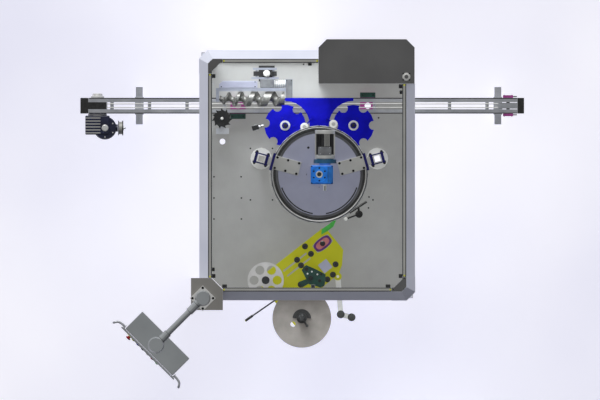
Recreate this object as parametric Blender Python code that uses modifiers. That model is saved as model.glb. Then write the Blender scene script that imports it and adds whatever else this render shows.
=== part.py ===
"""Rotary bottle labelling machine, in metres, +Z up.

The machine's own frame has its z axis on the carousel's axis, +X along the conveyor's travel and
+Y towards the rear. An empty carries everything and sets the floor centre at the world's origin.
"""

import math

import bmesh
import bpy
from mathutils import Vector

# Clearances, sheet metal and cuts
SEAT_GAP = 0.0003
RUNNING_GAP = 0.0003
FREE_GAP = 0.005
OVERRUN = 0.004
BITE = 0.002
SHEET = 0.003

# Levels above the floor
TABLE_DROP = 0.200
TABLE_THICKNESS = 0.020
PASS_HEIGHT = 1.000
BOTTLE_DIAMETER = 0.0675
BOTTLE_HEIGHT = 0.230
BOTTLE_CLEARANCE = 0.002
DISC_THICKNESS = 0.008
LOWER_DISC_RISE = 0.036
UPPER_DISC_RISE = 0.168
GUARD_BOTTOM = 1.900
GUARD_TOP = 2.000

# Bottle path: carousel, star wheels and conveyor
HEADS = 12
STAR_POCKETS = 6
CAROUSEL_PITCH_RADIUS = 0.300
STAR_PITCH_RADIUS = 0.150
STAR_OFFSET = 0.258
INFEED_STAR_PHASE = 53.0
OUTFEED_STAR_PHASE = 0.5
HEAD_PHASE = 11.0
STAR_Y = math.sqrt((CAROUSEL_PITCH_RADIUS + STAR_PITCH_RADIUS) ** 2 - STAR_OFFSET**2)
CONVEYOR_Y = STAR_Y + STAR_PITCH_RADIUS
BOTTLE_RADIUS = BOTTLE_DIAMETER / 2

# Guard frame, measured at its outer faces from the carousel's axis
GUARD_LEFT = -0.906
GUARD_RIGHT = 0.7225
GUARD_FRONT = -0.9505
GUARD_BACK = 0.938
GUARD_LIP = 0.012
GUARD_SLOPE = 0.066
GUARD_HEADER = 0.030
GUARD_WALL = 0.004
CAP_ARM = 0.177
CAP_CHAMFER = 0.065
CAP_TOP_CHAMFER = 0.036
CAP_GUSSET = 0.060
CAP_PROUD = 0.002
POST_SIDE = 0.080
POST_WALL = 0.004
POST_INSET = 0.020
PANEL_PLANE = 0.080
SWITCH_SIZE = (0.030, 0.030, 0.024)
SWITCH_REACH = 0.103

# Console pillar
PILLAR_LEFT = -0.969
PILLAR_RIGHT = -0.728
PILLAR_FRONT = -1.025
PILLAR_BACK = -0.782
PILLAR_CHAMFER = 0.087
PILLAR_TOP = 2.010
PILLAR_WALL = 0.004

# Electrical cabinet
CABINET_LEFT = -0.006
CABINET_RIGHT = 0.7195
CABINET_FRONT = 0.6855
CABINET_BACK = 1.0207
CABINET_CHAMFER = 0.062
CABINET_TOP = 2.050
CABINET_PLINTH = 0.100
CABINET_PLINTH_INSET = 0.030
CABINET_WALL = 0.004
CABINET_DOOR_MARGIN = 0.080
CABINET_DOOR_GAP = 0.002
CABINET_DOOR_INSET = 0.004
CABINET_DOOR_THICKNESS = 0.018
CABINET_KNUCKLE = 0.005
CABINET_EYE_RADIUS = 0.0145
CABINET_EYE_HEIGHT = 0.018
CABINET_EYE_INSET = (0.062, 0.283)
CABINET_EYE_PITCH = 0.033
CABINET_SCREW_RADIUS = 0.006
LATCH_RADIUS = 0.014
LATCH_LENGTH = 0.003

# Base frame and covers
BASE_INSET = 0.030
TABLE_INSET = 0.016
COVER_DEPTH = 0.020
COVER_MARGIN = 0.030
NOTCH_GAP = 0.010
FRAME_TUBE = 0.060
LEG_SIDE = 0.056
FOOT_HEIGHT = 0.100
FOOT_RADIUS = 0.036
FOOT_PAD = 0.018
SHAFT_SOCKET = 0.018
FOOT_SPINDLE = 0.012
VENT_COUNT = 5
VENT_LENGTH = 0.240
VENT_HEIGHT = 0.010
VENT_PITCH = 0.030
TABLE_HOLE = (-0.731, 0.248)
TABLE_HOLE_RADIUS = 0.022

# Doors and fixed panes
PANE_THICKNESS = 0.006
DOOR_TOP_GAP = 0.008
SIDE_DOOR_RISE = 0.030
FRONT_DOOR_RISE = 0.300
HINGE_STANDOFF = 0.012
KNUCKLE_RADIUS = 0.008
KNUCKLE_LENGTH = 0.036
KNUCKLE_EDGE = 0.012
HINGE_LEAF = 0.030
HINGE_INSET_SHARE = 0.12
DOOR_JOINT_Y = 0.400
DOOR_JOINT_X = -0.0475
CENTRE_GAP = 0.006
HANDLE_RADIUS = 0.007
HANDLE_LENGTH = 0.220
HANDLE_STANDOFF = 0.040
HANDLE_INSET = 0.045
MULLION_SIDE = 0.020
TUNNEL_MARGIN = 0.030
TUNNEL_BOTTLE_ROOM = 0.060

# Conveyor
CONVEYOR_WIDTH = 0.118
CONVEYOR_LEFT = -1.742
CONVEYOR_RIGHT = 1.497
END_CAP_LEFT = 0.062
END_CAP_RIGHT = 0.049
RAIL_FLANGE = 0.032
RAIL_DROP = 0.005
RAIL_BOTTOM = 0.835
BELT_RADIUS = 0.004
BELT_OFFSET = 0.014
BELT_TURN = 0.0755
BELT_SIDES = 6
BELT_STEPS = 12
PULLEY_WIDTH = 0.044
PULLEY_FLANGE_SHARE = 0.5
SHAFT_RADIUS = 0.0125
DRIVE_X = -1.675
IDLER_X = 1.425
SPACER_FIRST = -1.565
SPACER_LAST = 1.266
SPACER_COUNT = 11
SPACER_RADIUS = 0.013
BEARING_RADIUS = 0.036
BEARING_DEPTH = 0.026
TRANSFER_THICKNESS = 0.005
TRANSFER_LEFT = (-1.600, 0.050)
TRANSFER_RIGHT = (1.350, 0.036)
TAKE_UP_LENGTH = 0.076
TAKE_UP_DEPTH = 0.020
TAKE_UP_HEIGHT = 0.050
STAND_X = (-1.359, 1.348)
STAND_TUBE = 0.052
STAND_FOOT_LENGTH = 0.283
STAND_FOOT_LOW = 0.045
STAND_PAD_RADIUS = 0.026
STAND_SPINDLE = 0.008
STAND_CLAMP_LENGTH = 0.066
STAND_CLAMP_THICKNESS = 0.008
STAND_CLAMP_RISE = 0.070
SUPPORT_LENGTH = 0.115
SUPPORT_DEPTH = 0.040
SUPPORT_X = (-0.614, 0.3655)
SUPPORT_BLOCK_RISE = -0.050
SUPPORT_HOLE_RADIUS = 0.024

# Conveyor gearmotor with its speed variator
GEARBOX_X = (-1.767, -1.583)
GEARBOX_Y = (0.300, 0.444)
GEARBOX_RISE = (-0.150, -0.001)
GEARBOX_FLANGE = 0.070
VARIATOR_CENTRE = (-1.618, 0.350)
VARIATOR_RADIUS = 0.087
VARIATOR_RISE = (-0.310, -0.015)
VARIATOR_CAP_RADIUS = 0.022
CONVEYOR_MOTOR_RADIUS = 0.068
CONVEYOR_MOTOR_RISE = (-0.520, -0.300)
MOTOR_FIN_COUNT = 3
MOTOR_FIN_RISE = 0.006
HANDWHEEL_RADIUS = 0.0565
HANDWHEEL_RIM = 0.009
HANDWHEEL_WIDTH = 0.030
HANDWHEEL_X = -1.520
HANDWHEEL_RISE = -0.100
HANDWHEEL_SHAFT = 0.010
HANDWHEEL_GRIP = 0.006

# Infeed screw
SCREW_LEFT = -0.750
SCREW_RIGHT = -0.262
SCREW_RADIUS = 0.057
SCREW_LEAD_RADIUS = 0.034
SCREW_LEAD_LENGTH = 0.090
SCREW_CORE = 0.016
SCREW_Y = 0.5693
SCREW_RISE = 0.105
SCREW_FIRST_PITCH = 0.072
SCREW_STATIONS = 42
SCREW_SIDES = 14
SCREW_JOURNAL = 0.010
JOURNAL_LENGTH = 0.020
SCREW_PHASE = 0.35

# Screw carriage and its slide
BEAM_X = (-0.780, -0.255)
BEAM_Y = (0.628, 0.652)
CARRIAGE_RISE = (0.052, 0.158)
BRACKET_THICKNESS = 0.023
BRACKET_FRONT = 0.548
HOUSING_X = (-0.254, -0.201)
HOUSING_BACK = 0.720
SCREW_MOTOR_X = (-0.757, -0.467)
SCREW_MOTOR_Y = (0.650, 0.705)
SCREW_MOTOR_CHAMFER = 0.026
SCREW_GEAR_X = (-0.446, -0.340)
SCREW_GEAR_Y = (0.650, 0.724)
COUPLING_X = (-0.342, -0.252)
COUPLING_RADIUS = 0.029
COUPLING_Y = 0.684
SLIDE_PLATE_X = (-0.513, -0.306)
SLIDE_PLATE_Y = (0.720, 0.734)
SLIDE_BLOCK_X = (-0.439, -0.355)
SLIDE_BLOCK_Y = (0.743, 0.780)
SLIDE_EAR_X = (-0.497, -0.321)
SLIDE_EAR_RISE = (0.066, 0.114)
SLIDE_ROD_X = (-0.473, -0.345)
SLIDE_ROD_RISE = 0.090
SLIDE_ROD_RADIUS = 0.008
SLIDE_END_X = (-0.501, -0.321)
SLIDE_END_Y = (0.789, 0.805)
SLIDE_FOOT = 0.120
SLIDE_FOOT_THICKNESS = 0.012
ADJUST_KNOB_RADIUS = 0.026
ADJUST_KNOB_HEIGHT = 0.026
KNOB_STEM = 0.008
KNOB_STEM_DEPTH = 0.016

# Gate star ahead of the screw
GATE_CENTRE = (-0.7346, 0.422)
GATE_TIP = 0.079
GATE_ROOT = 0.060
GATE_TEETH = 11
GATE_RISE = (0.080, 0.100)
GATE_HOLES = 5
GATE_HOLE_RADIUS = 0.006
GATE_HOLE_PITCH = 0.040
GATE_PIN = 0.008
GATE_BRACKET_X = (-0.780, -0.682)
GATE_BRACKET_Y = (0.305, 0.350)
GATE_ARM_THICKNESS = 0.012
GATE_ARM_WIDTH = 0.044

# Star wheels and the guide between them
STAR_OUTER = 0.157
POCKET_CLEARANCE = 0.0003
STAR_HUB = 0.037
STAR_HUB_RISE = 0.010
STAR_KNOB = 0.022
STAR_KNOB_HEIGHT = 0.024
STAR_KNOB_STEPS = 4
STAR_KNOB_LOBES = 5
STAR_KNOB_LOBE_SHARE = 0.18
STAR_BOLTS = 3
STAR_BOLT_PITCH = 0.060
STAR_BOLT_RADIUS = 0.007
STAR_BOLT_HEIGHT = 0.007
PEDESTAL_FLANGE = 0.075
PEDESTAL_FLANGE_HEIGHT = 0.014
PEDESTAL_RADIUS = 0.045
PEDESTAL_RISE = 0.010
STAR_SPINDLE = 0.018
STAR_SPINDLE_DEPTH = 0.050
GUIDE_BACK = 0.578
GUIDE_HALF_WIDTH = 0.258
GUIDE_ARC_GAP = 0.00225
GUIDE_POST_RADIUS = 0.014
GUIDE_POST_POINTS = ((-0.050, 0.432), (0.050, 0.432))
GUIDE_FOOT_RADIUS = 0.030
GUIDE_PAD_POINTS = ((-0.112, 0.358), (0.107, 0.3805))
GUIDE_PAD_RADIUS = 0.030
GUIDE_PAD_RISE = 0.010
GUIDE_PAD_HEIGHT = 0.014
GUIDE_ARM_RADIUS = 0.005
GUIDE_SCREW_POINTS = ((-0.058, 0.514), (0.056, 0.514))

# Carousel
CAROUSEL_RADIUS = 0.345
CAROUSEL_RISE = (-0.060, -0.035)
CAROUSEL_BASE_RADIUS = 0.230
CAROUSEL_NECK_RADIUS = 0.150
CAROUSEL_SHOULDER = 0.840
CAROUSEL_NECK_RISE = -0.130
CAROUSEL_HUB = 0.060
CAROUSEL_HUB_DEPTH = 0.060
BOTTLE_PLATE_RADIUS = 0.036
CENTRE_SHAFT_RADIUS = 0.040
CENTRE_SHAFT_RISE = 0.410

# Head rotor with its bells
ROTOR_RADIUS = 0.367
ROTOR_RISE = (0.400, 0.425)
ROTOR_RIM = 0.015
ROTOR_RIM_RISE = 0.020
ROTOR_GROOVE = 0.018
ROTOR_HUB_RADIUS = 0.075
ROTOR_HUB_RISE = (0.300, 0.450)
BELL_ROD_RADIUS = 0.008
BELL_ROD_RISE = 0.450
BELL_GAP = 0.005
BELL_HEIGHT = 0.045
BELL_RADIUS = 0.028
BELL_WALL = 0.004
BELL_DEPTH = 0.014
BELL_SIDES = 6

# Head plate, arms and columns
HEAD_RADIUS = 0.310
HEAD_RISE = (0.465, 0.480)
HEAD_BORE = 0.045
HEAD_BOSS_RADIUS = 0.095
HEAD_BOSS_RISE = 0.515
HEAD_SLOT_RADIUS = 0.300
HEAD_SLOT_WIDTH = 0.008
HEAD_SLOT_ANGLES = ((199.3, 260.6), (279.5, 340.7))
HEAD_HOLES = ((-0.083, 0.202, 0.008), (-0.118, 0.0, 0.010), (0.0, -0.112, 0.011))
COLUMN_OFFSET = 0.087
COLUMN_ANGLE = 15.2
COLUMN_SIDE = 0.050
COLUMN_WALL = 0.004
COLUMN_RISE = 0.700
COLUMN_FLANGE = 0.082
COLUMN_FLANGE_HEIGHT = 0.018
COLUMN_BOLTS = 4
COLUMN_BOLT_PITCH = 0.062
COLUMN_BOLT_RADIUS = 0.010
COLUMN_BOLT_HEIGHT = 0.010
ARM_START = 0.152
ARM_END = 0.357
ARM_WIDTH = 0.107
ARM_THICKNESS = 0.030
ARM_SCREWS = ((0.180, 0.034), (0.180, -0.034), (0.300, 0.034), (0.300, -0.034))
ARM_SCREW_RADIUS = 0.009
ARM_SCREW_HEIGHT = 0.006
ARM_PLATE = (0.355, 0.375)
ARM_PLATE_WIDTH = 0.134
ARM_PLATE_RISE = (0.483, 0.560)
CLAMP_LINK_WIDTH = 0.060
CLAMP_LINK_LEVELS = (0.486, 0.546)
CLAMP_PLATE = 0.020
CLAMP_REACH = 0.052
CLAMP_WIDTH = 0.084
CLAMP_LEVELS = (0.425, 0.560)
CLAMP_CHEEK_LEVELS = (0.440, 0.530)

# Head gearbox and motor
HEAD_GEAR_X = (-0.069, 0.108)
HEAD_GEAR_Y = (-0.078, 0.0725)
HEAD_GEAR_HEIGHT = 0.150
HEAD_GEAR_CHAMFER = 0.012
HEAD_FLANGE_RADIUS = 0.062
HEAD_FLANGE_HEIGHT = 0.010
HEAD_HUB_RADIUS = 0.027
HEAD_HUB_HEIGHT = 0.022
HEAD_GEAR_BOLTS = 4
HEAD_GEAR_BOLT_PITCH = 0.048
HEAD_GEAR_BOLT_RADIUS = 0.006
HEAD_STUB_X = 0.042
HEAD_STUB_RADIUS = 0.013
HEAD_STUB_LENGTH = 0.047
HEAD_MOTOR_X = 0.043
HEAD_MOTOR_RISE = 0.088
HEAD_MOTOR_RADIUS = 0.070
HEAD_MOTOR_FLANGE = 0.0865
HEAD_MOTOR_FLANGE_LENGTH = 0.031
HEAD_MOTOR_GAP = 0.010
HEAD_MOTOR_END = 0.335
HEAD_MOTOR_BAND = 0.030
HEAD_MOTOR_FINS = 5
HEAD_MOTOR_FIN = 0.006
HEAD_TERMINAL = (0.100, 0.064, 0.040)
HEAD_TERMINAL_START = 0.0305

# Label unit, laid out along its own direction from its column
LABEL_COLUMN = (0.045, -0.693)
LABEL_ANGLE = 38.1
LABEL_COLUMN_SIDE = 0.078
LABEL_COLUMN_WALL = 0.005
LABEL_COLUMN_RISE = 0.250
LABEL_FOOT_SIDE = 0.150
LABEL_FOOT_THICKNESS = 0.015
LABEL_SHELF_SIDE = 0.110
LABEL_SHELF_THICKNESS = 0.020
LABEL_PLATE_RISE = (0.020, 0.030)
LABEL_PLATE_LENGTH = 0.660
LABEL_PLATE_HALF = 0.239
LABEL_OUTLINE_SHARES = (
    (-0.559, 1.000), (-0.720, 0.868), (-0.706, 0.056), (-0.692, -0.941), (-0.160, -0.468),
    (0.064, -0.458), (0.160, -0.298), (0.279, 0.061), (0.275, 0.867), (0.240, 1.000),
)
LABEL_PLATE_TALL = 0.135
LABEL_SLOT_ROWS = (0.165, 0.118)
LABEL_SLOT_U = (-0.274, -0.050)
LABEL_SLOT_WIDTH = 0.012
GUIDE_ROLLERS = (
    (-0.028, 0.212), (-0.0276, 0.140), (-0.138, 0.169), (-0.140, 0.118), (0.070, -0.037),
    (0.006, -0.086), (-0.049, -0.088), (-0.103, -0.089), (-0.231, 0.006),
)
GUIDE_ROLLER_RADIUS = 0.021
NIP_ROLLER = (-0.1255, 0.0689)
NIP_ROLLER_RADIUS = 0.026
FEED_ROLLER = (-0.1423, -0.002)
FEED_ROLLER_RADIUS = 0.032
LABEL_PIN = 0.010
LABEL_PIN_DEPTH = 0.012
BRAKE_ROD = ((-0.440, 0.031), (-0.729, 0.048))
BRAKE_ROD_RADIUS = 0.005
BRAKE_ROD_RISE = 0.030
BRAKE_GRIP_LENGTH = 0.060
BRAKE_GRIP_RADIUS = 0.009
LABEL_MOTOR = (0.090, 0.147)
LABEL_MOTOR_LENGTH = 0.147
LABEL_MOTOR_WIDTH = 0.062
LABEL_MOTOR_BULGE = 0.014
LABEL_MOTOR_DEPTH = 0.120
LABEL_MOTOR_LIP = 0.006
LABEL_MOTOR_LIP_HEIGHT = 0.008
LABEL_MOTOR_CORE = 0.017
LABEL_MOTOR_CORE_HEIGHT = 0.030
REEL_CENTRE = (-0.3818, -0.2001)
REEL_RADIUS = 0.222
REEL_RISE = 0.016
REEL_DISC = 0.005
REEL_CORE = 0.038
REEL_CHUCK = 0.069
REEL_CHUCK_HEIGHT = 0.026
REEL_KNOB = 0.025
REEL_KNOB_HEIGHT = 0.030
REEL_LEVER = 0.070
REEL_LEVER_RADIUS = 0.006
REEL_HOLE = 0.020
REEL_HOLE_PITCH = 0.080
REWIND_CENTRE = (-0.4196, 0.1942)
REWIND_RADIUS = 0.137
REWIND_HOLES = 6
REWIND_HOLE = 0.035
REWIND_HOLE_PITCH = 0.087
REWIND_HUB = 0.029
DANCER_PIVOT = (0.0266, -0.1195)
DANCER_LUG = 0.030
DANCER_PIN = 0.010
DANCER_WIDTH = 0.044
DANCER_THICKNESS = 0.018
DANCER_ROLLERS = ((0.022, -0.286), (0.104, -0.308))
DANCER_ROLLER_RADIUS = 0.028
PEEL_OUTLINE = (
    (0.122, 0.205), (0.176, 0.198), (0.232, 0.197), (0.299, 0.234), (0.297, 0.239),
    (0.225, 0.232), (0.150, 0.236),
)

# Wiping brush beside the carousel
BRUSH_START = (0.228, -0.291)
BRUSH_END = (0.358, -0.206)
BRUSH_THICKNESS = 0.016
BRUSH_RISE = (0.040, 0.165)
BRUSH_POST = (0.300, -0.300)
BRUSH_POST_RADIUS = 0.010
BRUSH_FOOT_RADIUS = 0.028
BRUSH_FOOT_HEIGHT = 0.012
BRUSH_ARM_RADIUS = 0.008
BRUSH_ARM_RISE = 0.100
WIPE_ROLLER = (0.200, -0.336)
WIPE_ROLLER_RADIUS = 0.013

# Console, hung from the arm on the pillar
CONSOLE_PIVOT = (-0.880, -0.935)
CONSOLE_HEADING = 225.0
CONSOLE_ARM_LENGTH = 0.500
CONSOLE_FLANGE_SIDE = 0.137
CONSOLE_FLANGE_THICKNESS = 0.012
CONSOLE_BOLT_RADIUS = 0.008
CONSOLE_BOLT_PITCH = 0.078
CONSOLE_BOLT_HEIGHT = 0.008
CONSOLE_DOME_RADIUS = 0.060
CONSOLE_DOME_HEIGHT = 0.085
CONSOLE_SLEEVE_RADIUS = 0.030
CONSOLE_SLEEVE_END = 0.143
CONSOLE_TUBE_RADIUS = 0.0235
CONSOLE_END_SLEEVE = 0.129
CONSOLE_ELBOW_RADIUS = 0.063
CONSOLE_SPIGOT = 0.020
CONSOLE_SPIGOT_DEPTH = 0.030
CONSOLE_WIDTH = 0.515
CONSOLE_DEPTH = 0.195
CONSOLE_Z = (1.450, 1.880)
CONSOLE_WALL = 0.003
CONSOLE_RIM = 0.017
CONSOLE_RECESS = 0.003
CONSOLE_PANEL_WIDTH = 0.560
CONSOLE_PANEL_THICKNESS = 0.011
CONSOLE_PANEL_MARGIN = 0.012
CONSOLE_SHIFT = 0.016
CONSOLE_NECK_RADIUS = 0.028
CONSOLE_CABLE_HOLE = 0.018
SCREEN_WIDTH = 0.240
SCREEN_HEIGHT = 0.160
SCREEN_OFFSET = 0.030
SCREEN_RISE = 0.070
SCREEN_RECESS = 0.004
GRIP_REACH = 0.075
GRIP_ROOT = 0.040
GRIP_FORWARD = 0.082
GRIP_RADIUS = 0.010
GRIP_INSET = 0.045
STOP_RADIUS = 0.020
STOP_STEM = 0.012
STOP_OFFSET = 0.185
STOP_Z = 1.540
STOP_BODY = 0.030
STOP_STAND_OFF = 0.012
STOP_HEAD = 0.015

# Facets
ROUND = 16
WIDE_ROUND = 28
PIN_ROUND = 12
SMALL_ROUND = 8
SMOOTH_ANGLE = 40.0

LABEL_TURN = math.radians(LABEL_ANGLE)
TABLE_TOP = PASS_HEIGHT - TABLE_DROP
TABLE_SEAT = TABLE_TOP + SEAT_GAP
SIDE_DOOR_BOTTOM = TABLE_TOP + SIDE_DOOR_RISE
FRONT_DOOR_BOTTOM = PASS_HEIGHT + FRONT_DOOR_RISE
SUPPORT_BLOCK_TOP = PASS_HEIGHT + SUPPORT_BLOCK_RISE
GEARBOX_Z = tuple(PASS_HEIGHT + rise for rise in GEARBOX_RISE)
VARIATOR_Z = tuple(PASS_HEIGHT + rise for rise in VARIATOR_RISE)
CONVEYOR_MOTOR_Z = tuple(PASS_HEIGHT + rise for rise in CONVEYOR_MOTOR_RISE)
HANDWHEEL_Z = PASS_HEIGHT + HANDWHEEL_RISE
SCREW_Z = PASS_HEIGHT + SCREW_RISE
CARRIAGE_Z = tuple(PASS_HEIGHT + rise for rise in CARRIAGE_RISE)
SLIDE_EAR_Z = tuple(PASS_HEIGHT + rise for rise in SLIDE_EAR_RISE)
SLIDE_ROD_Z = PASS_HEIGHT + SLIDE_ROD_RISE
GATE_Z = tuple(PASS_HEIGHT + rise for rise in GATE_RISE)
PEDESTAL_TOP = PASS_HEIGHT + PEDESTAL_RISE
CAROUSEL_Z = tuple(PASS_HEIGHT + rise for rise in CAROUSEL_RISE)
CAROUSEL_NECK_FOOT = PASS_HEIGHT + CAROUSEL_NECK_RISE
CENTRE_SHAFT_TOP = PASS_HEIGHT + CENTRE_SHAFT_RISE
ROTOR_Z = tuple(PASS_HEIGHT + rise for rise in ROTOR_RISE)
ROTOR_HUB_Z = tuple(PASS_HEIGHT + rise for rise in ROTOR_HUB_RISE)
BELL_ROD_TOP = PASS_HEIGHT + BELL_ROD_RISE
HEAD_Z = tuple(PASS_HEIGHT + rise for rise in HEAD_RISE)
HEAD_BOSS_TOP = PASS_HEIGHT + HEAD_BOSS_RISE
COLUMN_TOP = PASS_HEIGHT + COLUMN_RISE
ARM_PLATE_Z = tuple(PASS_HEIGHT + rise for rise in ARM_PLATE_RISE)
CLAMP_LINK_Z = tuple(PASS_HEIGHT + rise for rise in CLAMP_LINK_LEVELS)
CLAMP_Z = tuple(PASS_HEIGHT + rise for rise in CLAMP_LEVELS)
CLAMP_CHEEK_Z = tuple(PASS_HEIGHT + rise for rise in CLAMP_CHEEK_LEVELS)
LABEL_COLUMN_TOP = PASS_HEIGHT + LABEL_COLUMN_RISE
LABEL_PLATE_Z = tuple(PASS_HEIGHT + rise for rise in LABEL_PLATE_RISE)
BRUSH_Z = tuple(PASS_HEIGHT + rise for rise in BRUSH_RISE)
BRUSH_ARM_Z = PASS_HEIGHT + BRUSH_ARM_RISE
LOWER_DISC = PASS_HEIGHT + LOWER_DISC_RISE
UPPER_DISC = PASS_HEIGHT + UPPER_DISC_RISE
COLUMN_DISTANCE = ROTOR_RADIUS + COLUMN_OFFSET
CONSOLE_TURN = math.radians(CONSOLE_HEADING)
CONSOLE_ELBOW = (
    CONSOLE_PIVOT[0] + CONSOLE_ARM_LENGTH * math.cos(CONSOLE_TURN),
    CONSOLE_PIVOT[1] + CONSOLE_ARM_LENGTH * math.sin(CONSOLE_TURN),
)

# Colours, metallic and roughness of each finish
FINISHES = {
    "painted_frame": ("DFE2EE", 0.0, 0.45),
    "grey_enamel": ("82807C", 0.0, 0.5),
    "cabinet_enamel": ("5A5A5A", 0.0, 0.55),
    "table_steel": ("A5A5A5", 1.0, 0.4),
    "stainless": ("B4B7BC", 1.0, 0.35),
    "blue_plastic": ("0A0AA0", 0.0, 0.45),
    "white_plastic": ("EDEDED", 0.0, 0.5),
    "black_plastic": ("151515", 0.0, 0.5),
    "black_rubber": ("101210", 0.0, 0.8),
    "navy_paint": ("1A1E3C", 0.0, 0.45),
    "blue_paint": ("1478DC", 0.0, 0.4),
    "motor_paint": ("59616A", 0.0, 0.5),
    "yellow_paint": ("AAAA00", 0.0, 0.4),
    "head_paint": ("8084A0", 0.0, 0.45),
    "green_paint": ("2F8F3A", 0.0, 0.4),
    "purple_paint": ("5A2A66", 0.0, 0.45),
    "magenta_paint": ("A03C8C", 0.0, 0.45),
    "signal_red": ("8C1420", 0.0, 0.4),
    "clear_sheet": ("C8D4DC", 0.0, 0.1),
    "disc_grey": ("7D7873", 0.0, 0.5),
}


def start():
    """Clear the scene and make the collections, the finishes and the empty that carries everything."""
    for old in list(bpy.data.objects):
        bpy.data.objects.remove(old, do_unlink=True)
    scene = bpy.context.scene
    parts = bpy.data.collections.new("bottle_labelling_machine")
    tools = bpy.data.collections.new("cutters")
    scene.collection.children.link(parts)
    scene.collection.children.link(tools)
    root = bpy.data.objects.new("machine", None)
    parts.objects.link(root)
    return parts, tools, root, {name: finish(name, *look) for name, look in FINISHES.items()}


def finish(name, colour, metallic, roughness):
    material = bpy.data.materials.new(name)
    material.use_nodes = True
    shader = material.node_tree.nodes["Principled BSDF"]
    channels = [int(colour[i : i + 2], 16) / 255 for i in (0, 2, 4)]
    linear = [c / 12.92 if c <= 0.04045 else ((c + 0.055) / 1.055) ** 2.4 for c in channels]
    shader.inputs["Base Color"].default_value = (*linear, 1.0)
    shader.inputs["Metallic"].default_value = metallic
    shader.inputs["Roughness"].default_value = roughness
    return material


PARTS, TOOLS, MACHINE, FINISH = start()
PLACES = {MACHINE.name: Vector((0, 0, 0))}


# Points of outlines


def arc(centre, radius, first, last, steps):
    """Points along an arc between two angles in degrees, both ends included."""
    angles = [math.radians(first + (last - first) * i / steps) for i in range(steps + 1)]
    return [(centre[0] + radius * math.cos(a), centre[1] + radius * math.sin(a)) for a in angles]


def circle(radius, sides=ROUND, centre=(0, 0)):
    return arc(centre, radius, 0, 360, sides)[:-1]


def polar(radius, angle, centre=(0, 0)):
    turn = math.radians(angle)
    return (centre[0] + radius * math.cos(turn), centre[1] + radius * math.sin(turn))


def rectangle(x, y):
    return [(x[0], y[0]), (x[1], y[0]), (x[1], y[1]), (x[0], y[1])]


def slot(x, y, width):
    """A straight slot along X with round ends."""
    half = width / 2
    right = arc((x[1] - half, y), half, -90, 90, 4)
    left = arc((x[0] + half, y), half, 90, 270, 4)
    return right + left


def bore_radius(radius, sides=PIN_ROUND):
    """A faceted bore's radius that lets a faceted shaft turn inside it."""
    return (radius + RUNNING_GAP) / math.cos(math.pi / sides)


def label_point(u, v):
    """A point of the label unit's own plan, as a point of the machine's."""
    return (
        LABEL_COLUMN[0] + u * math.cos(LABEL_TURN) - v * math.sin(LABEL_TURN),
        LABEL_COLUMN[1] + u * math.sin(LABEL_TURN) + v * math.cos(LABEL_TURN),
    )


def radial_point(radius, offset, angle):
    """A point at a radius along a direction, and an offset to the left of it."""
    turn = math.radians(angle)
    return (
        radius * math.cos(turn) - offset * math.sin(turn),
        radius * math.sin(turn) + offset * math.cos(turn),
    )


# Shapes


def shape(data, at, turn=(0, 0, 0)):
    """An object made from mesh data, its place and its rotation."""
    if isinstance(data, bmesh.types.BMesh):
        mesh = bpy.data.meshes.new("shape")
        data.to_mesh(mesh)
        data.free()
        data = mesh
    data.shade_smooth()
    data.set_sharp_from_angle(angle=math.radians(SMOOTH_ANGLE))
    piece = bpy.data.objects.new("shape", data)
    piece.location = at
    piece.rotation_euler = turn
    return piece


def block(size, at, turn=0.0):
    """A box from its size and centre, turned about Z."""
    data = bmesh.new()
    bmesh.ops.create_cube(data, size=1.0)
    bmesh.ops.scale(data, vec=size, verts=data.verts)
    return shape(data, at, (0, 0, turn))


def span(x, y, z):
    """A box between pairs of limits."""
    size = [high - low for low, high in (x, y, z)]
    centre = [(low + high) / 2 for low, high in (x, y, z)]
    return block(size, centre)


def rod(radius, start_point, end_point, sides=ROUND, end_radius=None):
    """A round bar, or a cone, between two points."""
    first, last = Vector(start_point), Vector(end_point)
    data = bmesh.new()
    bmesh.ops.create_cone(
        data,
        cap_ends=True,
        segments=sides,
        radius1=radius,
        radius2=radius if end_radius is None else end_radius,
        depth=(last - first).length,
    )
    aim = (last - first).to_track_quat("Z", "Y").to_euler()
    return shape(data, (first + last) / 2, aim)


def post(radius, at, z, sides=ROUND, top_radius=None):
    """An upright round bar at a point of the plan."""
    return rod(radius, (*at, z[0]), (*at, z[1]), sides, top_radius)


def as_mesh(curve, at, turn):
    """A curve made a mesh, with its caps welded to its sides."""
    holder = bpy.data.objects.new("outline", curve)
    TOOLS.objects.link(holder)
    evaluated = holder.evaluated_get(bpy.context.evaluated_depsgraph_get())
    mesh = bpy.data.meshes.new_from_object(evaluated)
    bpy.data.objects.remove(holder)
    data = bmesh.new()
    data.from_mesh(mesh)
    bmesh.ops.remove_doubles(data, verts=data.verts, dist=0.00001)
    bmesh.ops.recalc_face_normals(data, faces=data.faces)
    bpy.data.meshes.remove(mesh)
    return shape(data, at, turn)


def plate(loops, thickness, at, turn=(0, 0, 0)):
    """A flat outline with its holes, extruded to both sides of its plane."""
    curve = bpy.data.curves.new("outline", "CURVE")
    curve.dimensions = "2D"
    curve.fill_mode = "BOTH"
    curve.extrude = thickness / 2
    for loop in loops:
        spline = curve.splines.new("POLY")
        spline.points.add(len(loop) - 1)
        for point, (x, y) in zip(spline.points, loop):
            point.co = (x, y, 0, 1)
        spline.use_cyclic_u = True
    return as_mesh(curve, at, turn)


def slab(loops, z, at=(0, 0), turn=0.0):
    """A level plate between two heights."""
    return plate(loops, z[1] - z[0], (*at, (z[0] + z[1]) / 2), (0, 0, turn))


def tube(points, radius):
    """A bent round tube along points."""
    curve = bpy.data.curves.new("route", "CURVE")
    curve.dimensions = "3D"
    curve.bevel_depth = radius
    curve.bevel_resolution = 2
    curve.use_fill_caps = True
    spline = curve.splines.new("POLY")
    spline.points.add(len(points) - 1)
    for point, place in zip(spline.points, points):
        point.co = (*place, 1)
    return as_mesh(curve, (0, 0, 0), (0, 0, 0))


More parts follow.
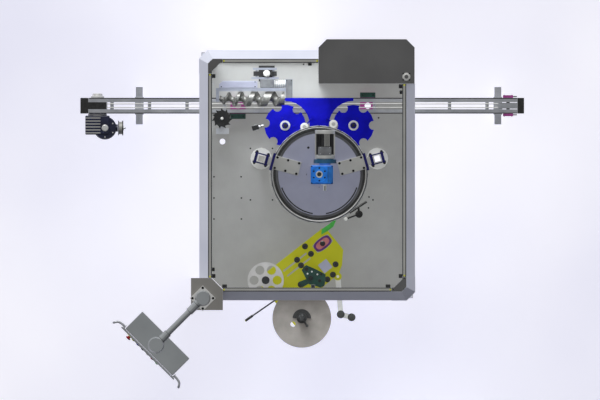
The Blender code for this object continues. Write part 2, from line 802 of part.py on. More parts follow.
def turned(profile, at=(0, 0), sides=ROUND, closed=False):
    """A turned piece from (radius, height) points that run down its outer side."""
    mesh = bpy.data.meshes.new("profile")
    edges = [(i, i + 1) for i in range(len(profile) - 1)]
    if closed:
        edges.append((len(profile) - 1, 0))
    mesh.from_pydata([(radius, 0, height) for radius, height in profile], edges, [])
    piece = bpy.data.objects.new("turned", mesh)
    piece.location = (*at, 0)
    screw = piece.modifiers.new("turn", "SCREW")
    screw.axis = "Z"
    screw.steps = sides
    screw.render_steps = sides
    screw.use_merge_vertices = True
    screw.merge_threshold = 0.00001
    return piece


def loft(lower, upper, levels):
    """A prism whose outline changes from one level to the next, each with as many points."""
    data = bmesh.new()
    rings = []
    for outline, height in zip((lower, lower, upper), levels):
        rings.append([data.verts.new((x, y, height)) for x, y in outline])
    for low, high in zip(rings, rings[1:]):
        for i in range(len(low)):
            j = (i + 1) % len(low)
            data.faces.new((low[i], low[j], high[j], high[i]))
    data.faces.new(list(reversed(rings[0])))
    data.faces.new(rings[-1])
    bmesh.ops.recalc_face_normals(data, faces=data.faces)
    return shape(data, (0, 0, 0))


def copies(piece, places):
    """Objects that share one mesh, at several places."""
    made = []
    for place in places:
        twin = piece.copy()
        twin.location = place
        made.append(twin)
    return made


# Building a node


def joint(name, point, carrier=None):
    """An empty on a joint's axis that carries the pieces that move with it."""
    pivot = bpy.data.objects.new(name, None)
    PARTS.objects.link(pivot)
    carrier = carrier or MACHINE
    PLACES[pivot.name] = Vector(point)
    pivot.parent = carrier
    pivot.location = Vector(point) - PLACES[carrier.name]
    return pivot


def hang(piece, carrier):
    piece.parent = carrier
    piece.location = Vector(piece.location) - PLACES[carrier.name]


def combine(body, tool, operation, carrier):
    """Join or cut a node's body with another shape."""
    tool.name = f"{body.name}_{'cut' if operation == 'DIFFERENCE' else 'joined'}"
    tool.hide_render = True
    tool.display_type = "WIRE"
    TOOLS.objects.link(tool)
    hang(tool, carrier)
    step = body.modifiers.new(tool.name, "BOOLEAN")
    step.operation = operation
    step.object = tool
    step.solver = "EXACT"


def node(name, look, body, joined=(), cuts=(), carrier=None, added=()):
    """A named sub-part: a body, shapes joined to it, shapes cut from it and shapes added last."""
    carrier = carrier or MACHINE
    body.name = name
    body.data.name = name
    body.data.materials.append(FINISH[look])
    PARTS.objects.link(body)
    hang(body, carrier)
    for tool in joined:
        combine(body, tool, "UNION", carrier)
    for tool in cuts:
        combine(body, tool, "DIFFERENCE", carrier)
    for tool in added:
        combine(body, tool, "UNION", carrier)


# Base frame, covers and table


BASE_LEFT = GUARD_LEFT + BASE_INSET
BASE_RIGHT = GUARD_RIGHT - BASE_INSET
BASE_FRONT = GUARD_FRONT + BASE_INSET
BASE_BACK = GUARD_BACK - BASE_INSET
BASE_TOP = TABLE_TOP - TABLE_THICKNESS - SEAT_GAP


def base_frame():
    """Welded square tube on levelling feet, notched for the pillar and the cabinet."""
    half = FRAME_TUBE / 2
    skin = COVER_DEPTH + SEAT_GAP
    left, right = BASE_LEFT + skin, BASE_RIGHT - skin
    front, back = BASE_FRONT + skin, BASE_BACK - skin
    notch_x, notch_y = PILLAR_RIGHT + NOTCH_GAP, PILLAR_BACK + NOTCH_GAP
    end_x, end_y = CABINET_LEFT - NOTCH_GAP, CABINET_FRONT - NOTCH_GAP
    outline = [
        (notch_x, front), (right, front), (right, end_y), (end_x, end_y),
        (end_x, back), (left, back), (left, notch_y), (notch_x, notch_y),
    ]
    bays = [
        rectangle((notch_x + FRAME_TUBE, right - FRAME_TUBE), (front + FRAME_TUBE, notch_y)),
        rectangle((left + FRAME_TUBE, -half), (notch_y + FRAME_TUBE, end_y - FRAME_TUBE - BITE)),
        rectangle((half, right - FRAME_TUBE), (notch_y + FRAME_TUBE, end_y - FRAME_TUBE)),
        rectangle((left + FRAME_TUBE, end_x - FRAME_TUBE), (end_y, back - FRAME_TUBE)),
    ]
    low = slab([outline, *bays], (FOOT_HEIGHT, FOOT_HEIGHT + FRAME_TUBE))
    high = slab([outline, *bays], (BASE_TOP - FRAME_TUBE, BASE_TOP))
    corners = [
        (notch_x + half, front + half), (right - half, front + half), (right - half, end_y - half),
        (end_x - half, back - half), (left + half, back - half), (left + half, notch_y + half),
    ]
    legs = []
    leg = LEG_SIDE / 2
    for x, y in corners:
        legs.append(
            span((x - leg, x + leg), (y - leg, y + leg), (FOOT_HEIGHT + BITE, BASE_TOP - BITE))
        )
        legs.append(post(FOOT_SPINDLE, (x, y), (FOOT_PAD - BITE, FOOT_HEIGHT + FOOT_PAD), SMALL_ROUND))
        legs.append(post(FOOT_RADIUS, (x, y), (0, FOOT_PAD), PIN_ROUND, FOOT_RADIUS - FOOT_SPINDLE))
    node("base_frame", "grey_enamel", low, [high, *legs])


def cover(name, x, y, inward):
    """A folded panel, open towards the frame, with a row of vents."""
    z = (FOOT_HEIGHT + COVER_MARGIN, BASE_TOP - COVER_MARGIN)
    limits = [list(x), list(y), list(z)]
    inner = [[low + SHEET, high - SHEET] for low, high in limits]
    axis, side = inward
    inner[axis][side] = limits[axis][side] + (OVERRUN if side else -OVERRUN)
    vents = []
    along = 1 - axis
    middle = sum(limits[along]) / 2
    for i in range(VENT_COUNT):
        height = z[1] - VENT_PITCH * (i + 2)
        vent = [None, None, (height, height + VENT_HEIGHT)]
        vent[axis] = (limits[axis][0] - OVERRUN, limits[axis][1] + OVERRUN)
        vent[along] = (middle - VENT_LENGTH / 2, middle + VENT_LENGTH / 2)
        vents.append(span(*vent))
    node(name, "painted_frame", span(*limits), cuts=[span(*inner), *vents])


def covers():
    left, right, front, back = BASE_LEFT, BASE_RIGHT, BASE_FRONT, BASE_BACK
    deep = COVER_DEPTH
    turn_in = COVER_DEPTH + SEAT_GAP
    pillar_x, pillar_y = PILLAR_RIGHT + SEAT_GAP, PILLAR_BACK + SEAT_GAP
    cabinet_x, cabinet_y = CABINET_LEFT - SEAT_GAP, CABINET_FRONT - SEAT_GAP
    cover("front_cover", (pillar_x, right), (front, front + deep), (1, 1))
    cover("rear_cover", (left, cabinet_x), (back - deep, back), (1, 0))
    cover("left_cover", (left, left + deep), (pillar_y, back - turn_in), (0, 1))
    cover("right_cover", (right - deep, right), (front + turn_in, cabinet_y), (0, 0))


def table_plate():
    left, right = GUARD_LEFT + TABLE_INSET, GUARD_RIGHT - TABLE_INSET
    front, back = GUARD_FRONT + TABLE_INSET, GUARD_BACK - TABLE_INSET
    notch_x, notch_y = PILLAR_RIGHT + SEAT_GAP, PILLAR_BACK + SEAT_GAP
    end_x, end_y = CABINET_LEFT - SEAT_GAP, CABINET_FRONT - SEAT_GAP
    outline = [
        (notch_x, front), (right, front), (right, end_y), (end_x, end_y),
        (end_x, back), (left, back), (left, notch_y), (notch_x, notch_y),
    ]
    drain = (SUPPORT_X[1], CONVEYOR_Y)
    angle, centre = column_place(1)
    way = COLUMN_SIDE / 2 - COLUMN_WALL
    opening = []
    for along, across in ((-way, -way), (way, -way), (way, way), (-way, way)):
        x, y = radial_point(along, across, angle)
        opening.append((centre[0] + x, centre[1] + y))
    loops = [
        outline, opening, circle(TABLE_HOLE_RADIUS, PIN_ROUND, TABLE_HOLE),
        circle(SUPPORT_HOLE_RADIUS, PIN_ROUND, drain),
    ]
    node("table_plate", "table_steel", slab(loops, (TABLE_TOP - TABLE_THICKNESS, TABLE_TOP)))


# Guard frame: sloping headers, corner caps and posts


def header(length, at, heading):
    """One sloping folded header, open below, whose depth runs along a heading."""
    low, high, wall = GUARD_BOTTOM, GUARD_TOP, GUARD_WALL
    deep = GUARD_SLOPE + GUARD_HEADER
    outline = [
        (0, low), (0, low + GUARD_LIP), (GUARD_SLOPE, high), (deep, high), (deep, low),
        (deep - wall, low), (deep - wall, high - wall), (GUARD_SLOPE, high - wall),
        (wall, low + GUARD_LIP), (wall, low),
    ]
    return plate([outline], length, (*at, 0), (math.pi / 2, 0, math.radians(heading)))


def corner_cap(corner, x_way, y_way):
    """A cast corner over the ends of two headers, its outer edge chamfered, a gusset inside."""
    deep = GUARD_SLOPE + GUARD_HEADER + CAP_PROUD
    out, slope, arm = -CAP_PROUD, GUARD_SLOPE - CAP_PROUD, CAP_ARM
    fillet = deep + CAP_GUSSET
    lower = [
        (out + CAP_CHAMFER, out), (arm, out), (arm, deep), (fillet, deep),
        (deep, fillet), (deep, arm), (out, arm), (out, out + CAP_CHAMFER),
    ]
    upper = [
        (slope + CAP_TOP_CHAMFER, slope), (arm, slope), (arm, deep), (fillet, deep),
        (deep, fillet), (deep, arm), (slope, arm), (slope, slope + CAP_TOP_CHAMFER),
    ]
    lower, upper = (
        [(corner[0] + x_way * x, corner[1] + y_way * y) for x, y in outline]
        for outline in (lower, upper)
    )
    low, high = GUARD_BOTTOM - CAP_PROUD, GUARD_TOP + CAP_PROUD
    return loft(lower, upper, (low, GUARD_BOTTOM + GUARD_LIP + CAP_PROUD, high))


def corner_post(corner, x_way, y_way):
    """A square tube under a corner cap: its outer limits and its hollow."""
    near, far = POST_INSET, POST_INSET + POST_SIDE
    x = sorted((corner[0] + x_way * near, corner[0] + x_way * far))
    y = sorted((corner[1] + y_way * near, corner[1] + y_way * far))
    outer = span(x, y, (TABLE_SEAT, GUARD_BOTTOM))
    hollow = span(
        (x[0] + POST_WALL, x[1] - POST_WALL),
        (y[0] + POST_WALL, y[1] - POST_WALL),
        (TABLE_TOP - OVERRUN, GUARD_BOTTOM - OVERRUN),
    )
    return outer, hollow


def door_switch(x, y):
    """A safety switch under a header."""
    wide, deep, tall = SWITCH_SIZE
    top = GUARD_BOTTOM + BITE
    return span((x - wide / 2, x + wide / 2), (y - deep / 2, y + deep / 2), (top - tall, top))


POST_FACE = POST_INSET + POST_SIDE
LEFT_PLANE = GUARD_LEFT + PANEL_PLANE
RIGHT_PLANE = GUARD_RIGHT - PANEL_PLANE
FRONT_PLANE = GUARD_FRONT + PANEL_PLANE
BACK_PLANE = GUARD_BACK - PANEL_PLANE
HINGE_HEIGHT = GUARD_BOTTOM - DOOR_TOP_GAP


def knuckle(at, z, towards, reach):
    """A hinge knuckle on its axis, and the leaf that ties it to its carrier."""
    half = KNUCKLE_RADIUS / 2
    barrel = post(KNUCKLE_RADIUS, at, z, PIN_ROUND)
    end = (at[0] + towards[0] * reach, at[1] + towards[1] * reach)
    x = sorted((at[0], end[0]))
    y = sorted((at[1], end[1]))
    if towards[0]:
        leaf = span(x, (at[1] - half, at[1] + half), z)
    else:
        leaf = span((at[0] - half, at[0] + half), y, z)
    return [barrel, leaf]


def hinge_levels(bottom, top):
    inset = (top - bottom) * HINGE_INSET_SHARE
    return (bottom + inset, top - inset)


def fixed_knuckles(at, bottom, towards, reach=None, top=HINGE_HEIGHT):
    """The lower half of each hinge, on what carries the door."""
    made = []
    for level in hinge_levels(bottom, top):
        z = (level - KNUCKLE_LENGTH, level - SEAT_GAP / 2)
        made += knuckle(at, z, towards, (reach or HINGE_STANDOFF) + BITE)
    return made


LEFT_HINGE = (LEFT_PLANE, PILLAR_BACK + HINGE_STANDOFF)
FRONT_LEFT_HINGE = (PILLAR_RIGHT + HINGE_STANDOFF, FRONT_PLANE)
FRONT_RIGHT_HINGE = (GUARD_RIGHT - POST_FACE - HINGE_STANDOFF, FRONT_PLANE)
RIGHT_HINGE = (RIGHT_PLANE, GUARD_FRONT + POST_FACE + HINGE_STANDOFF)
REAR_HINGE = (GUARD_LEFT + POST_FACE + HINGE_STANDOFF, BACK_PLANE)


def rear_left_frame():
    """Left and rear headers joined by a corner cap on its post."""
    start_y, end_y = PILLAR_BACK + SEAT_GAP, GUARD_BACK - CAP_ARM + OVERRUN
    start_x, end_x = GUARD_LEFT + CAP_ARM - OVERRUN, CABINET_LEFT - SEAT_GAP
    corner = (GUARD_LEFT, GUARD_BACK)
    cap = corner_cap(corner, 1, -1)
    outer, hollow = corner_post(corner, 1, -1)
    left = header(end_y - start_y, (GUARD_LEFT, (start_y + end_y) / 2), 0)
    rear = header(end_x - start_x, ((start_x + end_x) / 2, GUARD_BACK), 270)
    inner = GUARD_LEFT + SWITCH_REACH
    switches = [
        door_switch(inner, PILLAR_BACK + CAP_CHAMFER),
        door_switch(CABINET_LEFT - CAP_CHAMFER, GUARD_BACK - SWITCH_REACH),
    ]
    hinges = fixed_knuckles(REAR_HINGE, SIDE_DOOR_BOTTOM, (-1, 0))
    node("rear_left_frame", "painted_frame", cap, [left, rear, outer, *switches, *hinges], [hollow])


def front_right_frame():
    """Front and right headers joined by a corner cap on its post."""
    start_y, end_y = GUARD_FRONT + CAP_ARM - OVERRUN, CABINET_FRONT - SEAT_GAP
    start_x, end_x = PILLAR_RIGHT + SEAT_GAP, GUARD_RIGHT - CAP_ARM + OVERRUN
    corner = (GUARD_RIGHT, GUARD_FRONT)
    cap = corner_cap(corner, -1, 1)
    outer, hollow = corner_post(corner, -1, 1)
    right = header(end_y - start_y, (GUARD_RIGHT, (start_y + end_y) / 2), 180)
    front = header(end_x - start_x, ((start_x + end_x) / 2, GUARD_FRONT), 90)
    switches = [
        door_switch(GUARD_RIGHT - SWITCH_REACH, CABINET_FRONT - CAP_CHAMFER),
        door_switch(DOOR_JOINT_X, GUARD_FRONT + SWITCH_REACH),
    ]
    hinges = fixed_knuckles(FRONT_RIGHT_HINGE, FRONT_DOOR_BOTTOM, (1, 0))
    hinges += fixed_knuckles(RIGHT_HINGE, SIDE_DOOR_BOTTOM, (0, -1))
    node("front_right_frame", "painted_frame", cap, [right, front, outer, *switches, *hinges], [hollow])


def door(name, hinge, towards, outward, length, bottom):
    """A clear leaf with a pull handle, hung on two knuckles at its hinge's axis."""
    carrier = joint(f"{name}_hinge", (*hinge, bottom))
    half = PANE_THICKNESS / 2
    top = HINGE_HEIGHT

    def box(start_reach, end_reach, z):
        near = [hinge[i] + towards[i] * start_reach for i in (0, 1)]
        far = [hinge[i] + towards[i] * end_reach for i in (0, 1)]
        x, y = sorted((near[0], far[0])), sorted((near[1], far[1]))
        if towards[0]:
            y = (hinge[1] - half, hinge[1] + half)
        else:
            x = (hinge[0] - half, hinge[0] + half)
        return span(x, y, z)

    joined = []
    for level in hinge_levels(bottom, top):
        z = (level + SEAT_GAP / 2, level + KNUCKLE_LENGTH)
        joined += knuckle(hinge, z, towards, KNUCKLE_EDGE + HINGE_LEAF)
    grip = length - HANDLE_INSET
    middle = (max(bottom, TABLE_TOP) + top) / 2
    route = []
    for out, height in (
        (half - BITE, -HANDLE_LENGTH / 2), (HANDLE_STANDOFF, -HANDLE_LENGTH / 2),
        (HANDLE_STANDOFF, HANDLE_LENGTH / 2), (half - BITE, HANDLE_LENGTH / 2),
    ):
        x = hinge[0] + towards[0] * grip + outward[0] * out
        y = hinge[1] + towards[1] * grip + outward[1] * out
        route.append((x, y, middle + height))
    joined.append(tube(route, HANDLE_RADIUS))
    node(name, "clear_sheet", box(KNUCKLE_EDGE, length, (bottom, top)), joined, carrier=carrier)


def doors():
    side_free = DOOR_JOINT_Y - CENTRE_GAP
    front_left_free, front_right_free = DOOR_JOINT_X - CENTRE_GAP / 2, DOOR_JOINT_X + CENTRE_GAP / 2
    door("left_door", LEFT_HINGE, (0, 1), (-1, 0), side_free - LEFT_HINGE[1], SIDE_DOOR_BOTTOM)
    door("right_door", RIGHT_HINGE, (0, 1), (1, 0), side_free - RIGHT_HINGE[1], SIDE_DOOR_BOTTOM)
    door(
        "front_left_door", FRONT_LEFT_HINGE, (1, 0), (0, -1),
        front_left_free - FRONT_LEFT_HINGE[0], FRONT_DOOR_BOTTOM,
    )
    door(
        "front_right_door", FRONT_RIGHT_HINGE, (-1, 0), (0, -1),
        FRONT_RIGHT_HINGE[0] - front_right_free, FRONT_DOOR_BOTTOM,
    )
    rear_length = CABINET_LEFT - FREE_GAP - REAR_HINGE[0]
    door("rear_door", REAR_HINGE, (1, 0), (0, 1), rear_length, SIDE_DOOR_BOTTOM)


def side_pane(name, plane, far_y):
    """A fixed pane on a mullion, with a tunnel for the conveyor and its bottles."""
    half = PANE_THICKNESS / 2
    mullion_half = MULLION_SIDE / 2
    top = GUARD_BOTTOM - CAP_PROUD - SEAT_GAP
    mullion = span(
        (plane - mullion_half, plane + mullion_half),
        (DOOR_JOINT_Y, DOOR_JOINT_Y + MULLION_SIDE),
        (TABLE_SEAT, top),
    )
    sheet = span((plane - half, plane + half), (DOOR_JOINT_Y + BITE, far_y), (TABLE_SEAT, top))
    edge = CONVEYOR_WIDTH / 2 + TUNNEL_MARGIN / 2
    tunnel = span(
        (plane - MULLION_SIDE, plane + MULLION_SIDE),
        (CONVEYOR_Y - edge, CONVEYOR_Y + edge),
        (TABLE_TOP - OVERRUN, PASS_HEIGHT + BOTTLE_HEIGHT + TUNNEL_BOTTLE_ROOM),
    )
    node(name, "clear_sheet", mullion, [sheet], [tunnel])


def panes():
    side_pane("infeed_pane", LEFT_PLANE, GUARD_BACK - POST_FACE - SEAT_GAP)
    side_pane("outfeed_pane", RIGHT_PLANE, CABINET_FRONT - SEAT_GAP)


# Console pillar and electrical cabinet


def pillar_outline(inset):
    cut = PILLAR_CHAMFER
    left, right = PILLAR_LEFT + inset, PILLAR_RIGHT - inset
    front, back = PILLAR_FRONT + inset, PILLAR_BACK - inset
    return [(left, front), (right, front), (right, back - cut), (right - cut, back), (left, back)]


def console_pillar():
    """A hollow folded pillar, open at the floor, with the console arm's flange on top."""
    shell = slab([pillar_outline(0)], (0, PILLAR_TOP))
    hollow = slab([pillar_outline(PILLAR_WALL)], (-OVERRUN, PILLAR_TOP - PILLAR_WALL))
    flange_top = PILLAR_TOP + CONSOLE_FLANGE_THICKNESS
    flange = block(
        (CONSOLE_FLANGE_SIDE, CONSOLE_FLANGE_SIDE, CONSOLE_FLANGE_THICKNESS + BITE),
        (*CONSOLE_PIVOT, PILLAR_TOP + (CONSOLE_FLANGE_THICKNESS - BITE) / 2),
        CONSOLE_TURN,
    )
    bolt = post(
        CONSOLE_BOLT_RADIUS, (0, 0), (-BITE, CONSOLE_BOLT_HEIGHT), SMALL_ROUND
    )
    places = []
    for i in range(4):
        x, y = polar(CONSOLE_BOLT_PITCH, CONSOLE_HEADING + 45 + 90 * i, CONSOLE_PIVOT)
        places.append((x, y, flange_top + (CONSOLE_BOLT_HEIGHT - BITE) / 2))
    hinges = fixed_knuckles(LEFT_HINGE, SIDE_DOOR_BOTTOM, (0, -1))
    hinges += fixed_knuckles(FRONT_LEFT_HINGE, FRONT_DOOR_BOTTOM, (-1, 0))
    node("console_pillar", "grey_enamel", shell, [flange, *copies(bolt, places), *hinges], [hollow])


def cabinet_outline(inset):
    cut = CABINET_CHAMFER
    left, right = CABINET_LEFT + inset, CABINET_RIGHT - inset
    front, back = CABINET_FRONT + inset, CABINET_BACK - inset
    return [
        (left, front), (right, front), (right, back - cut), (right - cut, back),
        (left + cut, back), (left, back - cut),
    ]


CABINET_MOUTH_X = (CABINET_LEFT + CABINET_DOOR_MARGIN, CABINET_RIGHT - CABINET_DOOR_MARGIN)
CABINET_MOUTH_Z = (CABINET_PLINTH + CABINET_DOOR_MARGIN, CABINET_TOP - CABINET_DOOR_MARGIN)
CABINET_DOOR_X = (
    CABINET_MOUTH_X[0] + CABINET_DOOR_GAP,
    CABINET_MOUTH_X[1] - 2 * CABINET_KNUCKLE - 2 * CABINET_DOOR_GAP,
)
CABINET_DOOR_Z = (CABINET_MOUTH_Z[0] + CABINET_DOOR_GAP, CABINET_MOUTH_Z[1] - CABINET_DOOR_GAP)
CABINET_DOOR_FACE = CABINET_BACK - CABINET_DOOR_INSET
CABINET_HINGE = (
    CABINET_MOUTH_X[1] - CABINET_KNUCKLE - CABINET_DOOR_GAP,
    CABINET_BACK - CABINET_KNUCKLE,
)


def cabinet_knuckles(z_shift, towards):
    """Cabinet hinge barrels at both hinge levels, each with a leaf towards one side."""
    made = []
    x, y = CABINET_HINGE
    reach = CABINET_KNUCKLE + CABINET_DOOR_GAP + BITE
    leaf_y = (y - CABINET_KNUCKLE / 2, y + CABINET_KNUCKLE / 2)
    for level in hinge_levels(*CABINET_DOOR_Z):
        z = (level + z_shift, level + z_shift + KNUCKLE_LENGTH)
        made.append(post(CABINET_KNUCKLE, (x, y), z, SMALL_ROUND))
        made.append(span(sorted((x, x + towards * reach)), leaf_y, z))
    return made


def electrical_cabinet():
    """A tall cabinet on a plinth, open at its rear behind a hinged door."""
    box = slab([cabinet_outline(0)], (CABINET_PLINTH, CABINET_TOP))
    plinth = slab([cabinet_outline(CABINET_PLINTH_INSET)], (0, CABINET_PLINTH + BITE))
    under = slab(
        [cabinet_outline(CABINET_PLINTH_INSET + CABINET_WALL)],
        (-OVERRUN, CABINET_PLINTH - CABINET_WALL),
    )
    room = slab(
        [cabinet_outline(CABINET_WALL)],
        (CABINET_PLINTH + CABINET_WALL, CABINET_TOP - CABINET_WALL),
    )
    mouth = span(
        CABINET_MOUTH_X, (CABINET_BACK - CABINET_CHAMFER, CABINET_BACK + OVERRUN), CABINET_MOUTH_Z
    )
    eye = (CABINET_RIGHT - CABINET_EYE_INSET[0], CABINET_BACK - CABINET_EYE_INSET[1])
    ring = post(CABINET_EYE_RADIUS, eye, (CABINET_TOP - BITE, CABINET_TOP + CABINET_EYE_HEIGHT))
    screws = [
        post(
            CABINET_SCREW_RADIUS, polar(CABINET_EYE_PITCH, 90 * i, eye),
            (CABINET_TOP - BITE, CABINET_TOP + BITE), SMALL_ROUND,
        )
        for i in range(4)
    ]
    node(
        "electrical_cabinet", "cabinet_enamel", box,
        [plinth, ring, *screws], [under, room, mouth],
        added=cabinet_knuckles(-KNUCKLE_LENGTH - SEAT_GAP, 1),
    )


def cabinet_door():
    carrier = joint("cabinet_door_hinge", (*CABINET_HINGE, CABINET_DOOR_Z[0]))
    far = CABINET_DOOR_FACE
    near = far - CABINET_DOOR_THICKNESS
    tray = span(CABINET_DOOR_X, (near, far), CABINET_DOOR_Z)
    wall = CABINET_WALL
    hollow = span(
        (CABINET_DOOR_X[0] + wall, CABINET_DOOR_X[1] - wall),
        (near - OVERRUN, far - wall),
        (CABINET_DOOR_Z[0] + wall, CABINET_DOOR_Z[1] - wall),
    )
    joined = cabinet_knuckles(0, -1)
    latch = (CABINET_DOOR_X[0] + CABINET_DOOR_MARGIN, sum(CABINET_DOOR_Z) / 2)
    joined.append(
        rod(
            LATCH_RADIUS, (latch[0], far - BITE, latch[1]),
            (latch[0], far + LATCH_LENGTH, latch[1]), SMALL_ROUND,
        )
    )
    node("cabinet_door", "cabinet_enamel", tray, joined, [hollow], carrier)


# Conveyor


RAIL_TOP = PASS_HEIGHT - RAIL_DROP
PULLEY_Z = PASS_HEIGHT - BELT_TURN
BELT_INNER = BELT_TURN - 2 * BELT_RADIUS
CONVEYOR_HALF = CONVEYOR_WIDTH / 2


def rail(side):
    """One folded side rail, open towards the belts; side is -1 or 1."""
    flange = RAIL_FLANGE
    section = [
        (0, RAIL_BOTTOM), (0, RAIL_TOP), (flange, RAIL_TOP), (flange, RAIL_TOP - SHEET),
        (SHEET, RAIL_TOP - SHEET), (SHEET, RAIL_BOTTOM + SHEET), (flange, RAIL_BOTTOM + SHEET),
        (flange, RAIL_BOTTOM),
    ]
    heading = math.pi / 2 if side < 0 else -math.pi / 2
    middle = (CONVEYOR_LEFT + CONVEYOR_RIGHT) / 2
    at = (middle, CONVEYOR_Y + side * CONVEYOR_HALF, 0)
    return plate([section], CONVEYOR_RIGHT - CONVEYOR_LEFT, at, (math.pi / 2, 0, heading))


def end_cap(x, open_side):
    """An end housing around the belts' turn: its outer limits and its hollow."""
    y = (CONVEYOR_Y - CONVEYOR_HALF, CONVEYOR_Y + CONVEYOR_HALF)
    outer = span(x, y, (RAIL_BOTTOM, RAIL_TOP))
    inner_x = [x[0] + FREE_GAP, x[1] - FREE_GAP]
    inner_x[open_side] = x[open_side] + (OVERRUN if open_side else -OVERRUN)
    hollow = span(
        inner_x,
        (y[0] + RAIL_FLANGE - OVERRUN, y[1] - RAIL_FLANGE + OVERRUN),
        (RAIL_BOTTOM + SHEET, RAIL_TOP + OVERRUN),
    )
    return outer, hollow


def conveyor_frame():
    """Two side rails tied by round spacers, with end housings, bearings and take-up brackets."""
    low_y, high_y = CONVEYOR_Y - CONVEYOR_HALF, CONVEYOR_Y + CONVEYOR_HALF
    step = (SPACER_LAST - SPACER_FIRST) / (SPACER_COUNT - 1)
    spacer_z = PASS_HEIGHT - 2 * BELT_RADIUS - SEAT_GAP - SPACER_RADIUS
    first = rod(
        SPACER_RADIUS, (SPACER_FIRST, low_y + BITE / 2, spacer_z),
        (SPACER_FIRST, high_y - BITE / 2, spacer_z), SMALL_ROUND,
    )
    places = [(SPACER_FIRST + step * i, CONVEYOR_Y, spacer_z) for i in range(SPACER_COUNT)]
    left_cap, left_hollow = end_cap((CONVEYOR_LEFT - END_CAP_LEFT, CONVEYOR_LEFT + BITE), 1)
    right_cap, right_hollow = end_cap((CONVEYOR_RIGHT - BITE, CONVEYOR_RIGHT + END_CAP_RIGHT), 0)
    drive_bearing = rod(
        BEARING_RADIUS, (DRIVE_X, high_y - BITE, PULLEY_Z),
        (DRIVE_X, high_y + BEARING_DEPTH, PULLEY_Z), PIN_ROUND, BEARING_RADIUS - SHEET,
    )
    take_ups = []
    for y in ((low_y - TAKE_UP_DEPTH, low_y + BITE), (high_y - BITE, high_y + TAKE_UP_DEPTH)):
        take_ups.append(
            span(
                (IDLER_X - TAKE_UP_LENGTH / 2, IDLER_X + TAKE_UP_LENGTH / 2), y,
                (PULLEY_Z - TAKE_UP_HEIGHT / 2, PULLEY_Z + TAKE_UP_HEIGHT / 2),
            )
        )
    transfers = []
    for outer_x, way, (reach, width) in (
        (CONVEYOR_LEFT - END_CAP_LEFT, 1, TRANSFER_LEFT),
        (CONVEYOR_RIGHT + END_CAP_RIGHT, -1, TRANSFER_RIGHT),
    ):
        y = (CONVEYOR_Y - width / 2, CONVEYOR_Y + width / 2)
        low = PASS_HEIGHT + SEAT_GAP
        riser_x = sorted((outer_x, outer_x + way * (FREE_GAP + BITE)))
        transfers.append(span(riser_x, y, (RAIL_TOP - 2 * FREE_GAP, low + BITE)))
        plate_y = (y[0] - BITE, y[1] + BITE)
        high = low + TRANSFER_THICKNESS
        transfers.append(span(sorted((outer_x + way * BITE, reach)), plate_y, (low, high)))
    bore = bore_radius(SHAFT_RADIUS)
    drive_bore = rod(
        bore, (DRIVE_X, low_y - OVERRUN, PULLEY_Z),
        (DRIVE_X, high_y + BEARING_DEPTH - BITE, PULLEY_Z), PIN_ROUND,
    )
    idler_bore = rod(
        bore, (IDLER_X, low_y - TAKE_UP_DEPTH - OVERRUN, PULLEY_Z),
        (IDLER_X, high_y + TAKE_UP_DEPTH + OVERRUN, PULLEY_Z), PIN_ROUND,
    )
    node(
        "conveyor_frame", "stainless", rail(-1),
        [*copies(first, places), rail(1), left_cap, right_cap, drive_bearing, *take_ups],
        [left_hollow, right_hollow, drive_bore, idler_bore], added=transfers,
    )


def belt(name, side):
    """One endless round belt over both pulleys."""
    middle = BELT_TURN - BELT_RADIUS
    loop = arc((IDLER_X, PULLEY_Z), middle, 90, -90, BELT_STEPS)
    loop += arc((DRIVE_X, PULLEY_Z), middle, 270, 90, BELT_STEPS)
    y = CONVEYOR_Y + side * BELT_OFFSET
    data = bmesh.new()
    rings = []
    for i, (x, z) in enumerate(loop):
        centre_x = IDLER_X if i <= BELT_STEPS else DRIVE_X
        outward = Vector((x - centre_x, 0, z - PULLEY_Z)).normalized()
        ring = []
        for j in range(BELT_SIDES):
            angle = 2 * math.pi * (j + 1 / 2) / BELT_SIDES
            out, across = BELT_RADIUS * math.sin(angle), BELT_RADIUS * math.cos(angle)
            ring.append(data.verts.new(Vector((x, y + across, z)) + outward * out))
        rings.append(ring)
    for near, far in zip(rings, rings[1:] + rings[:1]):
        for j in range(BELT_SIDES):
            k = (j + 1) % BELT_SIDES
            data.faces.new((near[j], near[k], far[k], far[j]))
    bmesh.ops.recalc_face_normals(data, faces=data.faces)
    node(name, "white_plastic", shape(data, (0, 0, 0)))


def pulley(name, x, shaft_y):
    """A wheel with a groove for each belt on its shaft, its rims tapered to the sides."""
    carrier = joint(f"{name}_spin", (x, CONVEYOR_Y, PULLEY_Z))
    rim = BELT_TURN - BELT_RADIUS - SEAT_GAP
    floor = BELT_INNER * math.cos(math.pi / BELT_STEPS / 2) - SEAT_GAP
    half, slack = PULLEY_WIDTH / 2, BELT_RADIUS + SEAT_GAP
    near, far = BELT_OFFSET - slack, BELT_OFFSET + slack
    shaft, low = SHAFT_RADIUS, shaft_y[0] - CONVEYOR_Y
    high = shaft_y[1] - CONVEYOR_Y
    profile = [
        (0, high), (shaft, high), (shaft, half), (floor * PULLEY_FLANGE_SHARE, half), (rim, half),
        (rim, far), (floor, far), (floor, near), (rim, near), (rim, -near), (floor, -near),
        (floor, -far), (rim, -far), (rim, -half), (shaft, -half), (shaft, low), (0, low),
    ]
    body = turned(profile, sides=ROUND)
    body.location = (x, CONVEYOR_Y, PULLEY_Z)
    body.rotation_euler = (-math.pi / 2, 0, 0)
    node(name, "black_plastic", body, carrier=carrier)


def pulleys():
    low_y, high_y = CONVEYOR_Y - CONVEYOR_HALF, CONVEYOR_Y + CONVEYOR_HALF
    drive_end = high_y + BEARING_DEPTH - BITE - SEAT_GAP
    pulley("drive_pulley", DRIVE_X, (GEARBOX_Y[1] - SHAFT_SOCKET, drive_end))
    pulley("idler_pulley", IDLER_X, (low_y - TAKE_UP_DEPTH, high_y + TAKE_UP_DEPTH))


